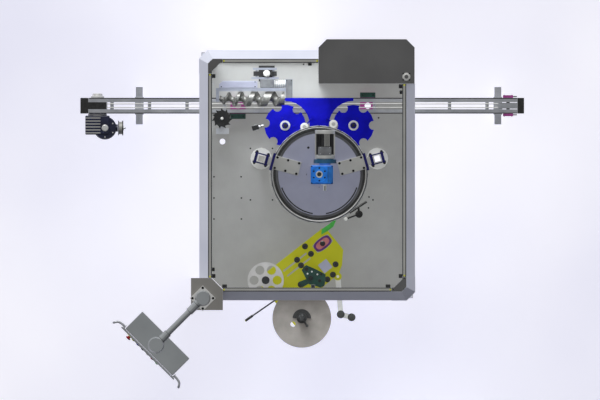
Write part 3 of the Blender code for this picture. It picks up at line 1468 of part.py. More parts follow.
def stand(name, x):
    """A pedestal under the conveyor: cross foot, column, saddle and two clamp plates."""
    half, reach = STAND_TUBE / 2, STAND_FOOT_LENGTH / 2
    foot_z = (STAND_FOOT_LOW, STAND_FOOT_LOW + STAND_TUBE)
    foot = span((x - half, x + half), (CONVEYOR_Y - reach, CONVEYOR_Y + reach), foot_z)
    column = span(
        (x - half, x + half), (CONVEYOR_Y - half, CONVEYOR_Y + half),
        (foot_z[1] - BITE, RAIL_BOTTOM - SEAT_GAP),
    )
    long, thick = STAND_CLAMP_LENGTH / 2, STAND_CLAMP_THICKNESS
    outer = CONVEYOR_HALF + SEAT_GAP + thick
    saddle = span(
        (x - long, x + long), (CONVEYOR_Y - outer, CONVEYOR_Y + outer),
        (RAIL_BOTTOM - SEAT_GAP - thick, RAIL_BOTTOM - SEAT_GAP),
    )
    joined = [column, saddle]
    for side in (-1, 1):
        y = sorted((CONVEYOR_Y + side * (outer - thick), CONVEYOR_Y + side * outer))
        z = (RAIL_BOTTOM - SEAT_GAP - thick, RAIL_BOTTOM + STAND_CLAMP_RISE)
        joined.append(span((x - long, x + long), y, z))
        centre = (x, CONVEYOR_Y + side * (reach - half))
        joined.append(post(STAND_SPINDLE, centre, (FOOT_PAD / 2, foot_z[0] + BITE), SMALL_ROUND))
        joined.append(post(STAND_PAD_RADIUS, centre, (0, FOOT_PAD / 2 + BITE), PIN_ROUND))
    node(name, "stainless", foot, joined)


def conveyor_support(name, x, side):
    """A cross plate on the table under the conveyor, and the clamp block at one side of it."""
    half = SUPPORT_LENGTH / 2
    near = CONVEYOR_Y + side * (CONVEYOR_HALF + SEAT_GAP)
    far = near + side * SUPPORT_DEPTH
    other = CONVEYOR_Y - side * CONVEYOR_HALF
    cross = span((x - half, x + half), sorted((other, far)), (TABLE_SEAT, RAIL_BOTTOM - SEAT_GAP))
    inset = half - BITE
    clamp = span(
        (x - inset, x + inset), sorted((near, far - side * BITE)),
        (TABLE_SEAT + BITE, SUPPORT_BLOCK_TOP),
    )
    hole = post(SUPPORT_HOLE_RADIUS, (x, CONVEYOR_Y), (TABLE_TOP - OVERRUN, RAIL_BOTTOM), PIN_ROUND)
    node(name, "magenta_paint", cross, [clamp], [hole])


def conveyor_gearmotor():
    """A right-angle gearbox on the drive shaft, its speed variator and the motor hung below."""
    box = span(GEARBOX_X, GEARBOX_Y, GEARBOX_Z)
    flange_y = (GEARBOX_Y[1] - BITE, CONVEYOR_Y - CONVEYOR_HALF - SEAT_GAP)
    flange = rod(
        GEARBOX_FLANGE, (DRIVE_X, flange_y[0], PULLEY_Z), (DRIVE_X, flange_y[1], PULLEY_Z)
    )
    variator = post(VARIATOR_RADIUS, VARIATOR_CENTRE, VARIATOR_Z, WIDE_ROUND)
    cap = post(VARIATOR_CAP_RADIUS, VARIATOR_CENTRE, (VARIATOR_Z[1] - BITE, GEARBOX_Z[1] + BITE), PIN_ROUND)
    motor = post(CONVEYOR_MOTOR_RADIUS, VARIATOR_CENTRE, CONVEYOR_MOTOR_Z)
    step = (CONVEYOR_MOTOR_Z[1] - CONVEYOR_MOTOR_Z[0]) / (MOTOR_FIN_COUNT + 1)
    fins = []
    for i in range(MOTOR_FIN_COUNT):
        z = CONVEYOR_MOTOR_Z[0] + step * (i + 1)
        fins.append(
            post(CONVEYOR_MOTOR_RADIUS + MOTOR_FIN_RISE, VARIATOR_CENTRE, (z, z + MOTOR_FIN_RISE))
        )
    neck = rod(
        HANDWHEEL_RADIUS / 2, (VARIATOR_CENTRE[0], VARIATOR_CENTRE[1], HANDWHEEL_Z),
        (HANDWHEEL_X - SEAT_GAP, VARIATOR_CENTRE[1], HANDWHEEL_Z),
    )
    bore = rod(
        bore_radius(SHAFT_RADIUS), (DRIVE_X, GEARBOX_Y[1] - SHAFT_SOCKET - SEAT_GAP, PULLEY_Z),
        (DRIVE_X, flange_y[1] + OVERRUN, PULLEY_Z), PIN_ROUND,
    )
    socket = rod(
        bore_radius(HANDWHEEL_SHAFT),
        (HANDWHEEL_X - SHAFT_SOCKET - SEAT_GAP, VARIATOR_CENTRE[1], HANDWHEEL_Z),
        (HANDWHEEL_X + OVERRUN, VARIATOR_CENTRE[1], HANDWHEEL_Z), PIN_ROUND,
    )
    node(
        "conveyor_gearmotor", "navy_paint", box, [variator, flange, cap, motor, *fins, neck],
        [bore, socket],
    )


def variator_handwheel():
    """A speed handwheel with a rim, a web and a crank grip."""
    y, z = VARIATOR_CENTRE[1], HANDWHEEL_Z
    carrier = joint("variator_handwheel_spin", (HANDWHEEL_X, y, z))
    far = HANDWHEEL_X + HANDWHEEL_WIDTH
    shaft = rod(HANDWHEEL_SHAFT, (HANDWHEEL_X - SHAFT_SOCKET, y, z), (far, y, z), PIN_ROUND)
    web = rod(HANDWHEEL_RADIUS - BITE, (far - BITE * 3, y, z), (far, y, z))
    outer = rod(HANDWHEEL_RADIUS, (far - HANDWHEEL_RIM * 2, y, z), (far + BITE, y, z))
    inner = rod(
        HANDWHEEL_RADIUS - HANDWHEEL_RIM, (far - HANDWHEEL_RIM * 2 - OVERRUN, y, z),
        (far - BITE * 3, y, z),
    )
    grip = z + HANDWHEEL_RADIUS - HANDWHEEL_RIM * 2
    crank = rod(HANDWHEEL_GRIP, (far - BITE, y, grip), (far + HANDWHEEL_WIDTH, y, grip), SMALL_ROUND)
    node("variator_handwheel", "black_plastic", outer, [], [inner], carrier, [web, shaft, crank])


# Infeed screw and its carriage


def screw_pocket_places():
    """Where the pockets' centres lie along the screw, as a rising function of turns."""
    last_pitch = 2 * math.pi * STAR_PITCH_RADIUS / STAR_POCKETS
    growth = (last_pitch / SCREW_FIRST_PITCH) ** (1 / 5)

    def place(turns):
        return SCREW_LEFT + SCREW_FIRST_PITCH * (growth**turns - 1) / math.log(growth)

    return place


def screw_radius(x, angle, place):
    """The screw's radius where a bottle-shaped pocket winds past a point of its surface."""
    share = min(1.0, (x - SCREW_LEFT) / SCREW_LEAD_LENGTH)
    radius = SCREW_LEAD_RADIUS + (SCREW_RADIUS - SCREW_LEAD_RADIUS) * share
    pocket = BOTTLE_RADIUS + BOTTLE_CLEARANCE / 2
    axis_distance = SCREW_Y - CONVEYOR_Y
    for whole in range(-2, 8):
        away = x - place(whole + SCREW_PHASE - angle / (2 * math.pi))
        if abs(away) < pocket:
            radius = min(radius, axis_distance - math.sqrt(pocket**2 - away**2))
    return max(radius, SCREW_CORE)


def infeed_screw(carriage):
    """A timing screw: a bottle-shaped groove whose pitch grows towards the star wheel."""
    carrier = joint("infeed_screw_spin", (SCREW_LEFT, SCREW_Y, SCREW_Z), carriage)
    place = screw_pocket_places()
    data = bmesh.new()
    rings = []
    for i in range(SCREW_STATIONS + 1):
        x = SCREW_LEFT + (SCREW_RIGHT - SCREW_LEFT) * i / SCREW_STATIONS
        ring = []
        for j in range(SCREW_SIDES):
            angle = 2 * math.pi * j / SCREW_SIDES
            radius = screw_radius(x, angle, place)
            across, up = radius * math.cos(angle), radius * math.sin(angle)
            ring.append(data.verts.new((x - SCREW_LEFT, across, up)))
        rings.append(ring)
    for near, far in zip(rings, rings[1:]):
        for j in range(SCREW_SIDES):
            k = (j + 1) % SCREW_SIDES
            data.faces.new((near[j], near[k], far[k], far[j]))
    data.faces.new(list(reversed(rings[0])))
    data.faces.new(rings[-1])
    bmesh.ops.recalc_face_normals(data, faces=data.faces)
    body = shape(data, (SCREW_LEFT, SCREW_Y, SCREW_Z))
    journals = [
        rod(
            SCREW_JOURNAL, (SCREW_LEFT - JOURNAL_LENGTH, SCREW_Y, SCREW_Z),
            (SCREW_LEFT + BITE, SCREW_Y, SCREW_Z), PIN_ROUND,
        ),
        rod(
            SCREW_JOURNAL, (SCREW_RIGHT - BITE, SCREW_Y, SCREW_Z),
            (SCREW_RIGHT + JOURNAL_LENGTH + BITE, SCREW_Y, SCREW_Z), PIN_ROUND,
        ),
    ]
    node("infeed_screw", "white_plastic", body, journals, carrier=carrier)


def screw_carriage(carriage):
    """The screw's beam, end bearings, motor box, gear box and slide rods, in one carriage."""
    beam = span(BEAM_X, BEAM_Y, CARRIAGE_Z)
    bracket = span(
        (BEAM_X[0], BEAM_X[0] + BRACKET_THICKNESS), (BRACKET_FRONT, BEAM_Y[1]), CARRIAGE_Z
    )
    housing = span(HOUSING_X, (BRACKET_FRONT, HOUSING_BACK), CARRIAGE_Z)
    tie = span((BEAM_X[1] - BITE, HOUSING_X[0] + BITE), BEAM_Y, CARRIAGE_Z)
    cut = SCREW_MOTOR_CHAMFER
    motor_outline = [
        (SCREW_MOTOR_X[0], SCREW_MOTOR_Y[0]), (SCREW_MOTOR_X[1], SCREW_MOTOR_Y[0]),
        (SCREW_MOTOR_X[1], SCREW_MOTOR_Y[1]), (SCREW_MOTOR_X[0] + cut, SCREW_MOTOR_Y[1]),
        (SCREW_MOTOR_X[0], SCREW_MOTOR_Y[1] - cut),
    ]
    motor = slab([motor_outline], (CARRIAGE_Z[0] + SHEET, CARRIAGE_Z[1] + SHEET))
    gear = span(SCREW_GEAR_X, SCREW_GEAR_Y, (CARRIAGE_Z[0] + BITE, CARRIAGE_Z[1] - BITE))
    coupling = rod(
        COUPLING_RADIUS, (COUPLING_X[0], COUPLING_Y, SCREW_Z), (COUPLING_X[1], COUPLING_Y, SCREW_Z)
    )
    face = span(SLIDE_PLATE_X, SLIDE_PLATE_Y, (CARRIAGE_Z[0], CARRIAGE_Z[1] - FREE_GAP))
    end = span(SLIDE_END_X, SLIDE_END_Y, SLIDE_EAR_Z)
    rods = [
        rod(
            SLIDE_ROD_RADIUS, (x, SLIDE_PLATE_Y[1] - BITE, SLIDE_ROD_Z),
            (x, SLIDE_END_Y[0] + BITE, SLIDE_ROD_Z), PIN_ROUND,
        )
        for x in SLIDE_ROD_X
    ]
    bearings = []
    for start_x, end_x in (
        (BEAM_X[0] - OVERRUN, BEAM_X[0] + BRACKET_THICKNESS + OVERRUN),
        (HOUSING_X[0] - OVERRUN, SCREW_RIGHT + JOURNAL_LENGTH + FREE_GAP),
    ):
        bearings.append(
            rod(
                bore_radius(SCREW_JOURNAL), (start_x, SCREW_Y, SCREW_Z),
                (end_x, SCREW_Y, SCREW_Z), PIN_ROUND,
            )
        )
    node(
        "screw_carriage", "motor_paint", beam,
        [bracket, housing, tie, motor, gear, coupling, face, end, *rods], bearings, carriage,
    )


def screw_slide_base():
    """A pedestal on the table whose ears guide the carriage's rods."""
    pedestal = span(SLIDE_BLOCK_X, SLIDE_BLOCK_Y, (TABLE_SEAT, CARRIAGE_Z[1]))
    ears = span(SLIDE_EAR_X, (SLIDE_BLOCK_Y[0], SLIDE_BLOCK_Y[1] - BITE), SLIDE_EAR_Z)
    middle_x, middle_y = sum(SLIDE_BLOCK_X) / 2, sum(SLIDE_BLOCK_Y) / 2
    half = SLIDE_FOOT / 2
    foot = span(
        (middle_x - half, middle_x + half), (middle_y - half, middle_y + half),
        (TABLE_SEAT, TABLE_SEAT + SLIDE_FOOT_THICKNESS),
    )
    bores = [
        rod(
            bore_radius(SLIDE_ROD_RADIUS), (x, SLIDE_BLOCK_Y[0] - OVERRUN, SLIDE_ROD_Z),
            (x, SLIDE_BLOCK_Y[1] + OVERRUN, SLIDE_ROD_Z), PIN_ROUND,
        )
        for x in SLIDE_ROD_X
    ]
    socket = post(
        bore_radius(KNOB_STEM), (middle_x, middle_y),
        (CARRIAGE_Z[1] - KNOB_STEM_DEPTH - SEAT_GAP, CARRIAGE_Z[1] + OVERRUN), PIN_ROUND,
    )
    node("screw_slide_base", "black_plastic", pedestal, [ears, foot], [*bores, socket])


def screw_adjust_knob():
    centre = (sum(SLIDE_BLOCK_X) / 2, sum(SLIDE_BLOCK_Y) / 2)
    low = CARRIAGE_Z[1] + SEAT_GAP
    carrier = joint("screw_adjust_knob_turn", (*centre, low))
    high = low + ADJUST_KNOB_HEIGHT
    profile = [
        (0, high), (ADJUST_KNOB_RADIUS / 2, high - BITE), (ADJUST_KNOB_RADIUS, high - KNOB_STEM),
        (ADJUST_KNOB_RADIUS, low), (KNOB_STEM, low), (KNOB_STEM, low - KNOB_STEM_DEPTH),
        (0, low - KNOB_STEM_DEPTH),
    ]
    body = turned(profile, centre, PIN_ROUND)
    body.location = (*centre, 0)
    node("screw_adjust_knob", "white_plastic", body, carrier=carrier)


def gate_bracket():
    """A foot, an upright and an arm that hold the gate star's pin beside the conveyor."""
    upright = span(GATE_BRACKET_X, GATE_BRACKET_Y, (TABLE_SEAT, GATE_Z[0] - SEAT_GAP))
    reach = GATE_CENTRE[1] + GATE_ARM_WIDTH / 2
    half = GATE_ARM_WIDTH / 2
    arm_z = (GATE_Z[0] - SEAT_GAP - GATE_ARM_THICKNESS, GATE_Z[0] - SEAT_GAP)
    arm = span((GATE_CENTRE[0] - half, GATE_CENTRE[0] + half), (GATE_BRACKET_Y[0], reach), arm_z)
    pin = post(GATE_PIN, GATE_CENTRE, (arm_z[1] - BITE, GATE_Z[1] + GATE_ARM_THICKNESS), PIN_ROUND)
    inner = (GATE_BRACKET_X[0] + GATE_ARM_THICKNESS, GATE_BRACKET_X[1] - GATE_ARM_THICKNESS)
    channel = span(
        inner, (GATE_BRACKET_Y[0] + GATE_ARM_THICKNESS, GATE_BRACKET_Y[1] + OVERRUN),
        (TABLE_SEAT + GATE_ARM_THICKNESS, arm_z[0] - GATE_ARM_THICKNESS),
    )
    node("gate_bracket", "stainless", upright, [arm, pin], [channel])


def gate_star():
    """A small ratchet-toothed wheel that spaces arriving bottles."""
    carrier = joint("gate_star_spin", (*GATE_CENTRE, GATE_Z[0]))
    outline = []
    for i in range(GATE_TEETH):
        for share, radius in ((0.0, GATE_ROOT), (0.55, GATE_ROOT + FREE_GAP), (0.9, GATE_TIP)):
            outline.append(polar(radius, 360 * (i + share) / GATE_TEETH))
    holes = [
        circle(GATE_HOLE_RADIUS, 6, polar(GATE_HOLE_PITCH, 360 * i / GATE_HOLES))
        for i in range(GATE_HOLES)
    ]
    bore = circle(bore_radius(GATE_PIN), PIN_ROUND)
    body = slab([outline, bore, *holes], GATE_Z, GATE_CENTRE)
    node("gate_star", "black_plastic", body, carrier=carrier)


# Star wheels and centre guide


def star_outline(phase):
    """A disc with a round pocket for each bottle."""
    pocket = BOTTLE_RADIUS + POCKET_CLEARANCE
    reach = (STAR_OUTER**2 + STAR_PITCH_RADIUS**2 - pocket**2) / (2 * STAR_OUTER * STAR_PITCH_RADIUS)
    mouth = math.degrees(math.acos(reach))
    step = 360 / STAR_POCKETS
    outline = []
    for i in range(STAR_POCKETS):
        facing = phase + step * i
        edge = polar(STAR_OUTER, facing - mouth)
        centre = polar(STAR_PITCH_RADIUS, facing)
        start_angle = math.degrees(math.atan2(edge[1] - centre[1], edge[0] - centre[0]))
        half_turn = (start_angle - facing - 180) % 360 - 360
        outline += arc((0, 0), STAR_OUTER, facing - step + mouth, facing - mouth, 2)[:-1]
        sweep = arc(centre, pocket, start_angle, start_angle - 2 * (360 + half_turn), 6)
        outline += sweep[:-1]
    return outline


def star_wheel(name, centre, phase):
    """Two pocketed discs on a hub, with bolts and a lobed release knob on top."""
    carrier = joint(f"{name}_spin", (*centre, PEDESTAL_TOP))
    outline = star_outline(phase)
    low_z = (LOWER_DISC, LOWER_DISC + DISC_THICKNESS)
    high_z = (UPPER_DISC, UPPER_DISC + DISC_THICKNESS)
    seat = PEDESTAL_TOP + SEAT_GAP
    hub_top = high_z[1] + STAR_HUB_RISE
    hub = post(STAR_HUB, centre, (seat, hub_top))
    spindle = post(STAR_SPINDLE, centre, (seat - STAR_SPINDLE_DEPTH, seat + BITE), PIN_ROUND)
    knob_radius = STAR_KNOB * (1 - STAR_KNOB_LOBE_SHARE)
    lobes = []
    for i in range(STAR_KNOB_STEPS * STAR_KNOB_LOBES):
        angle = 360 * i / (STAR_KNOB_STEPS * STAR_KNOB_LOBES)
        wave = 1 + STAR_KNOB_LOBE_SHARE * math.cos(math.radians(angle * STAR_KNOB_LOBES))
        lobes.append(polar(knob_radius * wave, angle))
    knob = slab([lobes], (hub_top - BITE, hub_top + STAR_KNOB_HEIGHT), centre)
    bolts = [
        post(
            STAR_BOLT_RADIUS, polar(STAR_BOLT_PITCH, phase + 360 * (i + 0.5) / STAR_BOLTS, centre),
            (high_z[1] - BITE, high_z[1] + STAR_BOLT_HEIGHT), SMALL_ROUND,
        )
        for i in range(STAR_BOLTS)
    ]
    joined = [slab([outline], high_z, centre), hub, spindle, knob, *bolts]
    node(name, "blue_plastic", slab([outline], low_z, centre), joined, carrier=carrier)


def star_pedestal(name, centre):
    """A flanged bearing housing on the table that holds a star wheel's spindle."""
    bore = bore_radius(STAR_SPINDLE, ROUND)
    bottom = PEDESTAL_TOP - STAR_SPINDLE_DEPTH - FREE_GAP
    shoulder = TABLE_SEAT + PEDESTAL_FLANGE_HEIGHT
    profile = [
        (0, bottom), (bore, bottom), (bore, PEDESTAL_TOP), (PEDESTAL_RADIUS, PEDESTAL_TOP),
        (PEDESTAL_RADIUS, shoulder), (PEDESTAL_FLANGE, shoulder), (PEDESTAL_FLANGE, TABLE_SEAT),
        (0, TABLE_SEAT),
    ]
    node(name, "stainless", turned(profile, centre))


def stars():
    for name, x, phase in (
        ("infeed_star", -STAR_OFFSET, INFEED_STAR_PHASE),
        ("outfeed_star", STAR_OFFSET, OUTFEED_STAR_PHASE),
    ):
        star_pedestal(f"{name}_pedestal", (x, STAR_Y))
        star_wheel(name, (x, STAR_Y), phase)


def guide_outline():
    """The guide's edge: straight behind the conveyor, hollowed round both stars and the carousel."""
    star_radius = STAR_PITCH_RADIUS + BOTTLE_RADIUS + GUIDE_ARC_GAP
    path_radius = CAROUSEL_PITCH_RADIUS + BOTTLE_RADIUS + GUIDE_ARC_GAP * 2
    spacing = math.hypot(STAR_OFFSET, STAR_Y)
    along = (path_radius**2 - star_radius**2 + spacing**2) / (2 * spacing)
    across = math.sqrt(path_radius**2 - along**2)
    unit = (STAR_OFFSET / spacing, STAR_Y / spacing)
    tip = (along * unit[0] - across * unit[1], along * unit[1] + across * unit[0])
    star_end = math.degrees(math.atan2(tip[1] - STAR_Y, tip[0] - STAR_OFFSET)) % 360
    tip_angle = math.degrees(math.atan2(tip[1], tip[0]))
    right = arc((STAR_OFFSET, STAR_Y), star_radius, 90, star_end, 8)
    middle = arc((0, 0), path_radius, tip_angle, 180 - tip_angle, 4)[1:-1]
    left = [(-x, y) for x, y in reversed(right)]
    return [(GUIDE_HALF_WIDTH, GUIDE_BACK), *right, *middle, *left, (-GUIDE_HALF_WIDTH, GUIDE_BACK)]


def centre_guide():
    """Two guide plates between the star wheels, on posts that also carry two hold-down pads."""
    outline = guide_outline()
    low_z = (LOWER_DISC, LOWER_DISC + DISC_THICKNESS)
    high_z = (UPPER_DISC, UPPER_DISC + DISC_THICKNESS)
    joined = [slab([outline], high_z)]
    pad_low = PASS_HEIGHT + BOTTLE_HEIGHT + GUIDE_PAD_RISE
    pad_z = (pad_low, pad_low + GUIDE_PAD_HEIGHT)
    middle = sum(pad_z) / 2
    for point, pad in zip(GUIDE_POST_POINTS, GUIDE_PAD_POINTS):
        joined.append(post(GUIDE_POST_RADIUS, point, (TABLE_SEAT, pad_z[1]), PIN_ROUND))
        foot = (TABLE_SEAT, TABLE_SEAT + SLIDE_FOOT_THICKNESS)
        joined.append(post(GUIDE_FOOT_RADIUS, point, foot, PIN_ROUND))
        joined.append(post(GUIDE_PAD_RADIUS, pad, pad_z, PIN_ROUND, GUIDE_PAD_RADIUS - FREE_GAP))
        joined.append(rod(GUIDE_ARM_RADIUS, (*point, middle), (*pad, middle), SMALL_ROUND))
    for point in GUIDE_SCREW_POINTS:
        screw = (low_z[1] - BITE, high_z[1] + STAR_BOLT_HEIGHT)
        joined.append(post(STAR_BOLT_RADIUS, point, screw, SMALL_ROUND))
    node("centre_guide", "blue_plastic", slab([outline], low_z), joined)


# Carousel and head


def carousel_base():
    """A flanged bearing housing with the carousel hub's bore in its neck."""
    bore = bore_radius(CAROUSEL_HUB, WIDE_ROUND)
    top = CAROUSEL_Z[0] - SEAT_GAP
    bottom = CAROUSEL_Z[0] - CAROUSEL_HUB_DEPTH - FREE_GAP
    profile = [
        (0, bottom), (bore, bottom), (bore, top), (CAROUSEL_NECK_RADIUS, top),
        (CAROUSEL_NECK_RADIUS, CAROUSEL_NECK_FOOT), (CAROUSEL_BASE_RADIUS, CAROUSEL_SHOULDER),
        (CAROUSEL_BASE_RADIUS, TABLE_SEAT), (0, TABLE_SEAT),
    ]
    node("carousel_base", "grey_enamel", turned(profile, sides=WIDE_ROUND))


def carousel_table(carrier):
    """The turning table with a plate for each bottle and the shaft that drives the head."""
    low, high = CAROUSEL_Z
    profile = [
        (0, CENTRE_SHAFT_TOP), (CENTRE_SHAFT_RADIUS, CENTRE_SHAFT_TOP), (CENTRE_SHAFT_RADIUS, high),
        (CAROUSEL_RADIUS, high), (CAROUSEL_RADIUS, low), (CAROUSEL_HUB, low),
        (CAROUSEL_HUB, low - CAROUSEL_HUB_DEPTH), (0, low - CAROUSEL_HUB_DEPTH),
    ]
    plate_height = PASS_HEIGHT - high + BITE
    dish = post(BOTTLE_PLATE_RADIUS, (0, 0), (0, plate_height), SMALL_ROUND)
    places = []
    for i in range(HEADS):
        x, y = polar(CAROUSEL_PITCH_RADIUS, HEAD_PHASE + 360 * i / HEADS)
        places.append((x, y, high - BITE + plate_height / 2))
    node(
        "carousel_table", "stainless", turned(profile, sides=WIDE_ROUND), copies(dish, places),
        carrier=carrier,
    )


def bell():
    """A centring bell on its plunger rod, hollow below to take a bottle's cap."""
    bottom = PASS_HEIGHT + BOTTLE_HEIGHT + BELL_GAP
    top = bottom + BELL_HEIGHT
    return turned(
        [
            (0, BELL_ROD_TOP), (BELL_ROD_RADIUS, BELL_ROD_TOP), (BELL_ROD_RADIUS, top),
            (BELL_RADIUS, bottom),
            (BELL_RADIUS - BELL_WALL, bottom), (0, bottom + BELL_DEPTH),
        ],
        sides=BELL_SIDES,
    )


def head_rotor(carrier):
    """The turning head: a rimmed disc on a sleeve over the shaft, with a bell above each plate."""
    low, high = ROTOR_Z
    rim_top = high + ROTOR_RIM_RISE
    rim_in = ROTOR_RADIUS - ROTOR_RIM
    groove_in = rim_in - ROTOR_GROOVE
    bore = bore_radius(CENTRE_SHAFT_RADIUS, WIDE_ROUND)
    hub_low, hub_high = ROTOR_HUB_Z
    profile = [
        (bore, hub_high), (ROTOR_HUB_RADIUS, hub_high), (ROTOR_HUB_RADIUS, high),
        (groove_in, high), (groove_in, high - FREE_GAP), (rim_in, high - FREE_GAP),
        (rim_in, rim_top), (ROTOR_RADIUS, rim_top), (ROTOR_RADIUS, low),
        (ROTOR_HUB_RADIUS, low), (ROTOR_HUB_RADIUS, hub_low), (bore, hub_low),
    ]
    body = turned(profile, sides=WIDE_ROUND, closed=True)
    places = []
    for i in range(HEADS):
        x, y = polar(CAROUSEL_PITCH_RADIUS, HEAD_PHASE + 360 * i / HEADS)
        places.append((x, y, 0))
    node("head_rotor", "stainless", body, copies(bell(), places), carrier=carrier)


def column_place(side):
    """Where a column stands and which way its arm points, for side -1 or 1."""
    angle = COLUMN_ANGLE if side > 0 else 180 - COLUMN_ANGLE
    return angle, polar(COLUMN_DISTANCE, angle)


def radial_block(near, far, width, z, angle, offset=0.0):
    """A box along a radial direction of the head."""
    x, y = radial_point((near + far) / 2, offset, angle)
    return block((far - near, width, z[1] - z[0]), (x, y, (z[0] + z[1]) / 2), math.radians(angle))


def head_arm(side):
    """An arm plate with its screws, an upright plate and the clamp round one column."""
    angle, _ = column_place(side)
    top = HEAD_Z[1]
    arm_top = top + ARM_THICKNESS
    joined = [radial_block(ARM_START, ARM_END, ARM_WIDTH, (top - BITE, arm_top), angle)]
    for radius, offset in ARM_SCREWS:
        screw = (arm_top - BITE, arm_top + ARM_SCREW_HEIGHT)
        joined.append(post(ARM_SCREW_RADIUS, radial_point(radius, offset, angle), screw, SMALL_ROUND))
    joined.append(radial_block(*ARM_PLATE, ARM_PLATE_WIDTH, ARM_PLATE_Z, angle))
    near, far = COLUMN_DISTANCE - CLAMP_REACH, COLUMN_DISTANCE + CLAMP_REACH
    joined.append(
        radial_block(ARM_PLATE[1] - BITE, near + BITE, CLAMP_LINK_WIDTH, CLAMP_LINK_Z, angle)
    )
    joined.append(radial_block(near, near + CLAMP_PLATE, CLAMP_WIDTH, CLAMP_Z, angle))
    joined.append(radial_block(far - CLAMP_PLATE, far, CLAMP_WIDTH, CLAMP_Z, angle))
    cheek = (CLAMP_WIDTH - COLUMN_SIDE) / 2 - RUNNING_GAP - BITE
    for way in (-1, 1):
        offset = way * (COLUMN_SIDE / 2 + RUNNING_GAP + cheek / 2)
        joined.append(
            radial_block(
                near + CLAMP_PLATE - BITE, far - CLAMP_PLATE + BITE, cheek, CLAMP_CHEEK_Z,
                angle, offset,
            )
        )
    liner_near = near + CLAMP_PLATE - BITE
    liner_far = COLUMN_DISTANCE - COLUMN_SIDE / 2 - RUNNING_GAP
    liner_z = (CLAMP_CHEEK_Z[0] + BITE, CLAMP_CHEEK_Z[1] - BITE)
    joined.append(radial_block(liner_near, liner_far, COLUMN_SIDE + BITE, liner_z, angle))
    return joined


def head_plate(carrier):
    """The still disc over the rotor, carried by its two arms and clamped to the columns."""
    outline = circle(HEAD_RADIUS, WIDE_ROUND)
    half = HEAD_SLOT_WIDTH / 2
    loops = [outline, circle(HEAD_BORE)]
    for first, last in HEAD_SLOT_ANGLES:
        outer = arc((0, 0), HEAD_SLOT_RADIUS + half, first, last, 10)
        inner = arc((0, 0), HEAD_SLOT_RADIUS - half, last, first, 10)
        loops.append(outer + inner)
    for x, y, radius in HEAD_HOLES:
        loops.append(circle(radius, SMALL_ROUND, (x, y)))
    boss = slab([circle(HEAD_BOSS_RADIUS), circle(HEAD_BORE)], (HEAD_Z[1] - BITE, HEAD_BOSS_TOP))
    node(
        "head_plate", "head_paint", slab(loops, HEAD_Z), [boss, *head_arm(-1), *head_arm(1)],
        carrier=carrier,
    )


def head_column(name, side):
    """A square tube on a round bolted flange."""
    angle, centre = column_place(side)
    top = (TABLE_SEAT, TABLE_SEAT + COLUMN_FLANGE_HEIGHT)
    flange = post(COLUMN_FLANGE, centre, top)
    turn = math.radians(angle)
    height = COLUMN_TOP - TABLE_SEAT
    column = block((COLUMN_SIDE, COLUMN_SIDE, height), (*centre, TABLE_SEAT + height / 2), turn)
    inside = COLUMN_SIDE - 2 * COLUMN_WALL
    hollow = block(
        (inside, inside, height + 2 * OVERRUN), (*centre, TABLE_SEAT + height / 2), turn
    )
    bolts = [
        post(
            COLUMN_BOLT_RADIUS,
            polar(COLUMN_BOLT_PITCH, angle + 360 * (i + 0.5) / COLUMN_BOLTS, centre),
            (top[1] - BITE, top[1] + COLUMN_BOLT_HEIGHT), SMALL_ROUND,
        )
        for i in range(COLUMN_BOLTS)
    ]
    node(name, "stainless", flange, [column, *bolts], [hollow])


def head_gearbox(carrier):
    """A worm gearbox seated on the head's boss, with a flanged hub on top and a stub shaft."""
    low = HEAD_BOSS_TOP + SEAT_GAP
    high = low + HEAD_GEAR_HEIGHT
    cut = HEAD_GEAR_CHAMFER
    (x0, x1), (y0, y1) = HEAD_GEAR_X, HEAD_GEAR_Y
    outline = [
        (x0 + cut, y0), (x1 - cut, y0), (x1, y0 + cut), (x1, y1 - cut),
        (x1 - cut, y1), (x0 + cut, y1), (x0, y1 - cut), (x0, y0 + cut),
    ]
    flange = post(HEAD_FLANGE_RADIUS, (0, 0), (high - BITE, high + HEAD_FLANGE_HEIGHT))
    hub = post(HEAD_HUB_RADIUS, (0, 0), (high - BITE, high + HEAD_HUB_HEIGHT), PIN_ROUND)
    face = high + HEAD_FLANGE_HEIGHT
    bolts = [
        post(
            HEAD_GEAR_BOLT_RADIUS, polar(HEAD_GEAR_BOLT_PITCH, 45 + 360 * i / HEAD_GEAR_BOLTS),
            (face - BITE, face + FREE_GAP), SMALL_ROUND,
        )
        for i in range(HEAD_GEAR_BOLTS)
    ]
    middle = low + HEAD_MOTOR_RISE
    stub = rod(
        HEAD_STUB_RADIUS, (HEAD_STUB_X, y0 + BITE, middle),
        (HEAD_STUB_X, y0 - HEAD_STUB_LENGTH, middle), PIN_ROUND,
    )
    socket = rod(
        HEAD_MOTOR_FLANGE / 2, (HEAD_MOTOR_X, y1 - BITE, middle),
        (HEAD_MOTOR_X, y1 + HEAD_MOTOR_GAP - SEAT_GAP, middle),
    )
    case = slab([outline], (low, high))
    node("head_gearbox", "blue_paint", case, [flange, hub, *bolts, stub, socket], carrier=carrier)


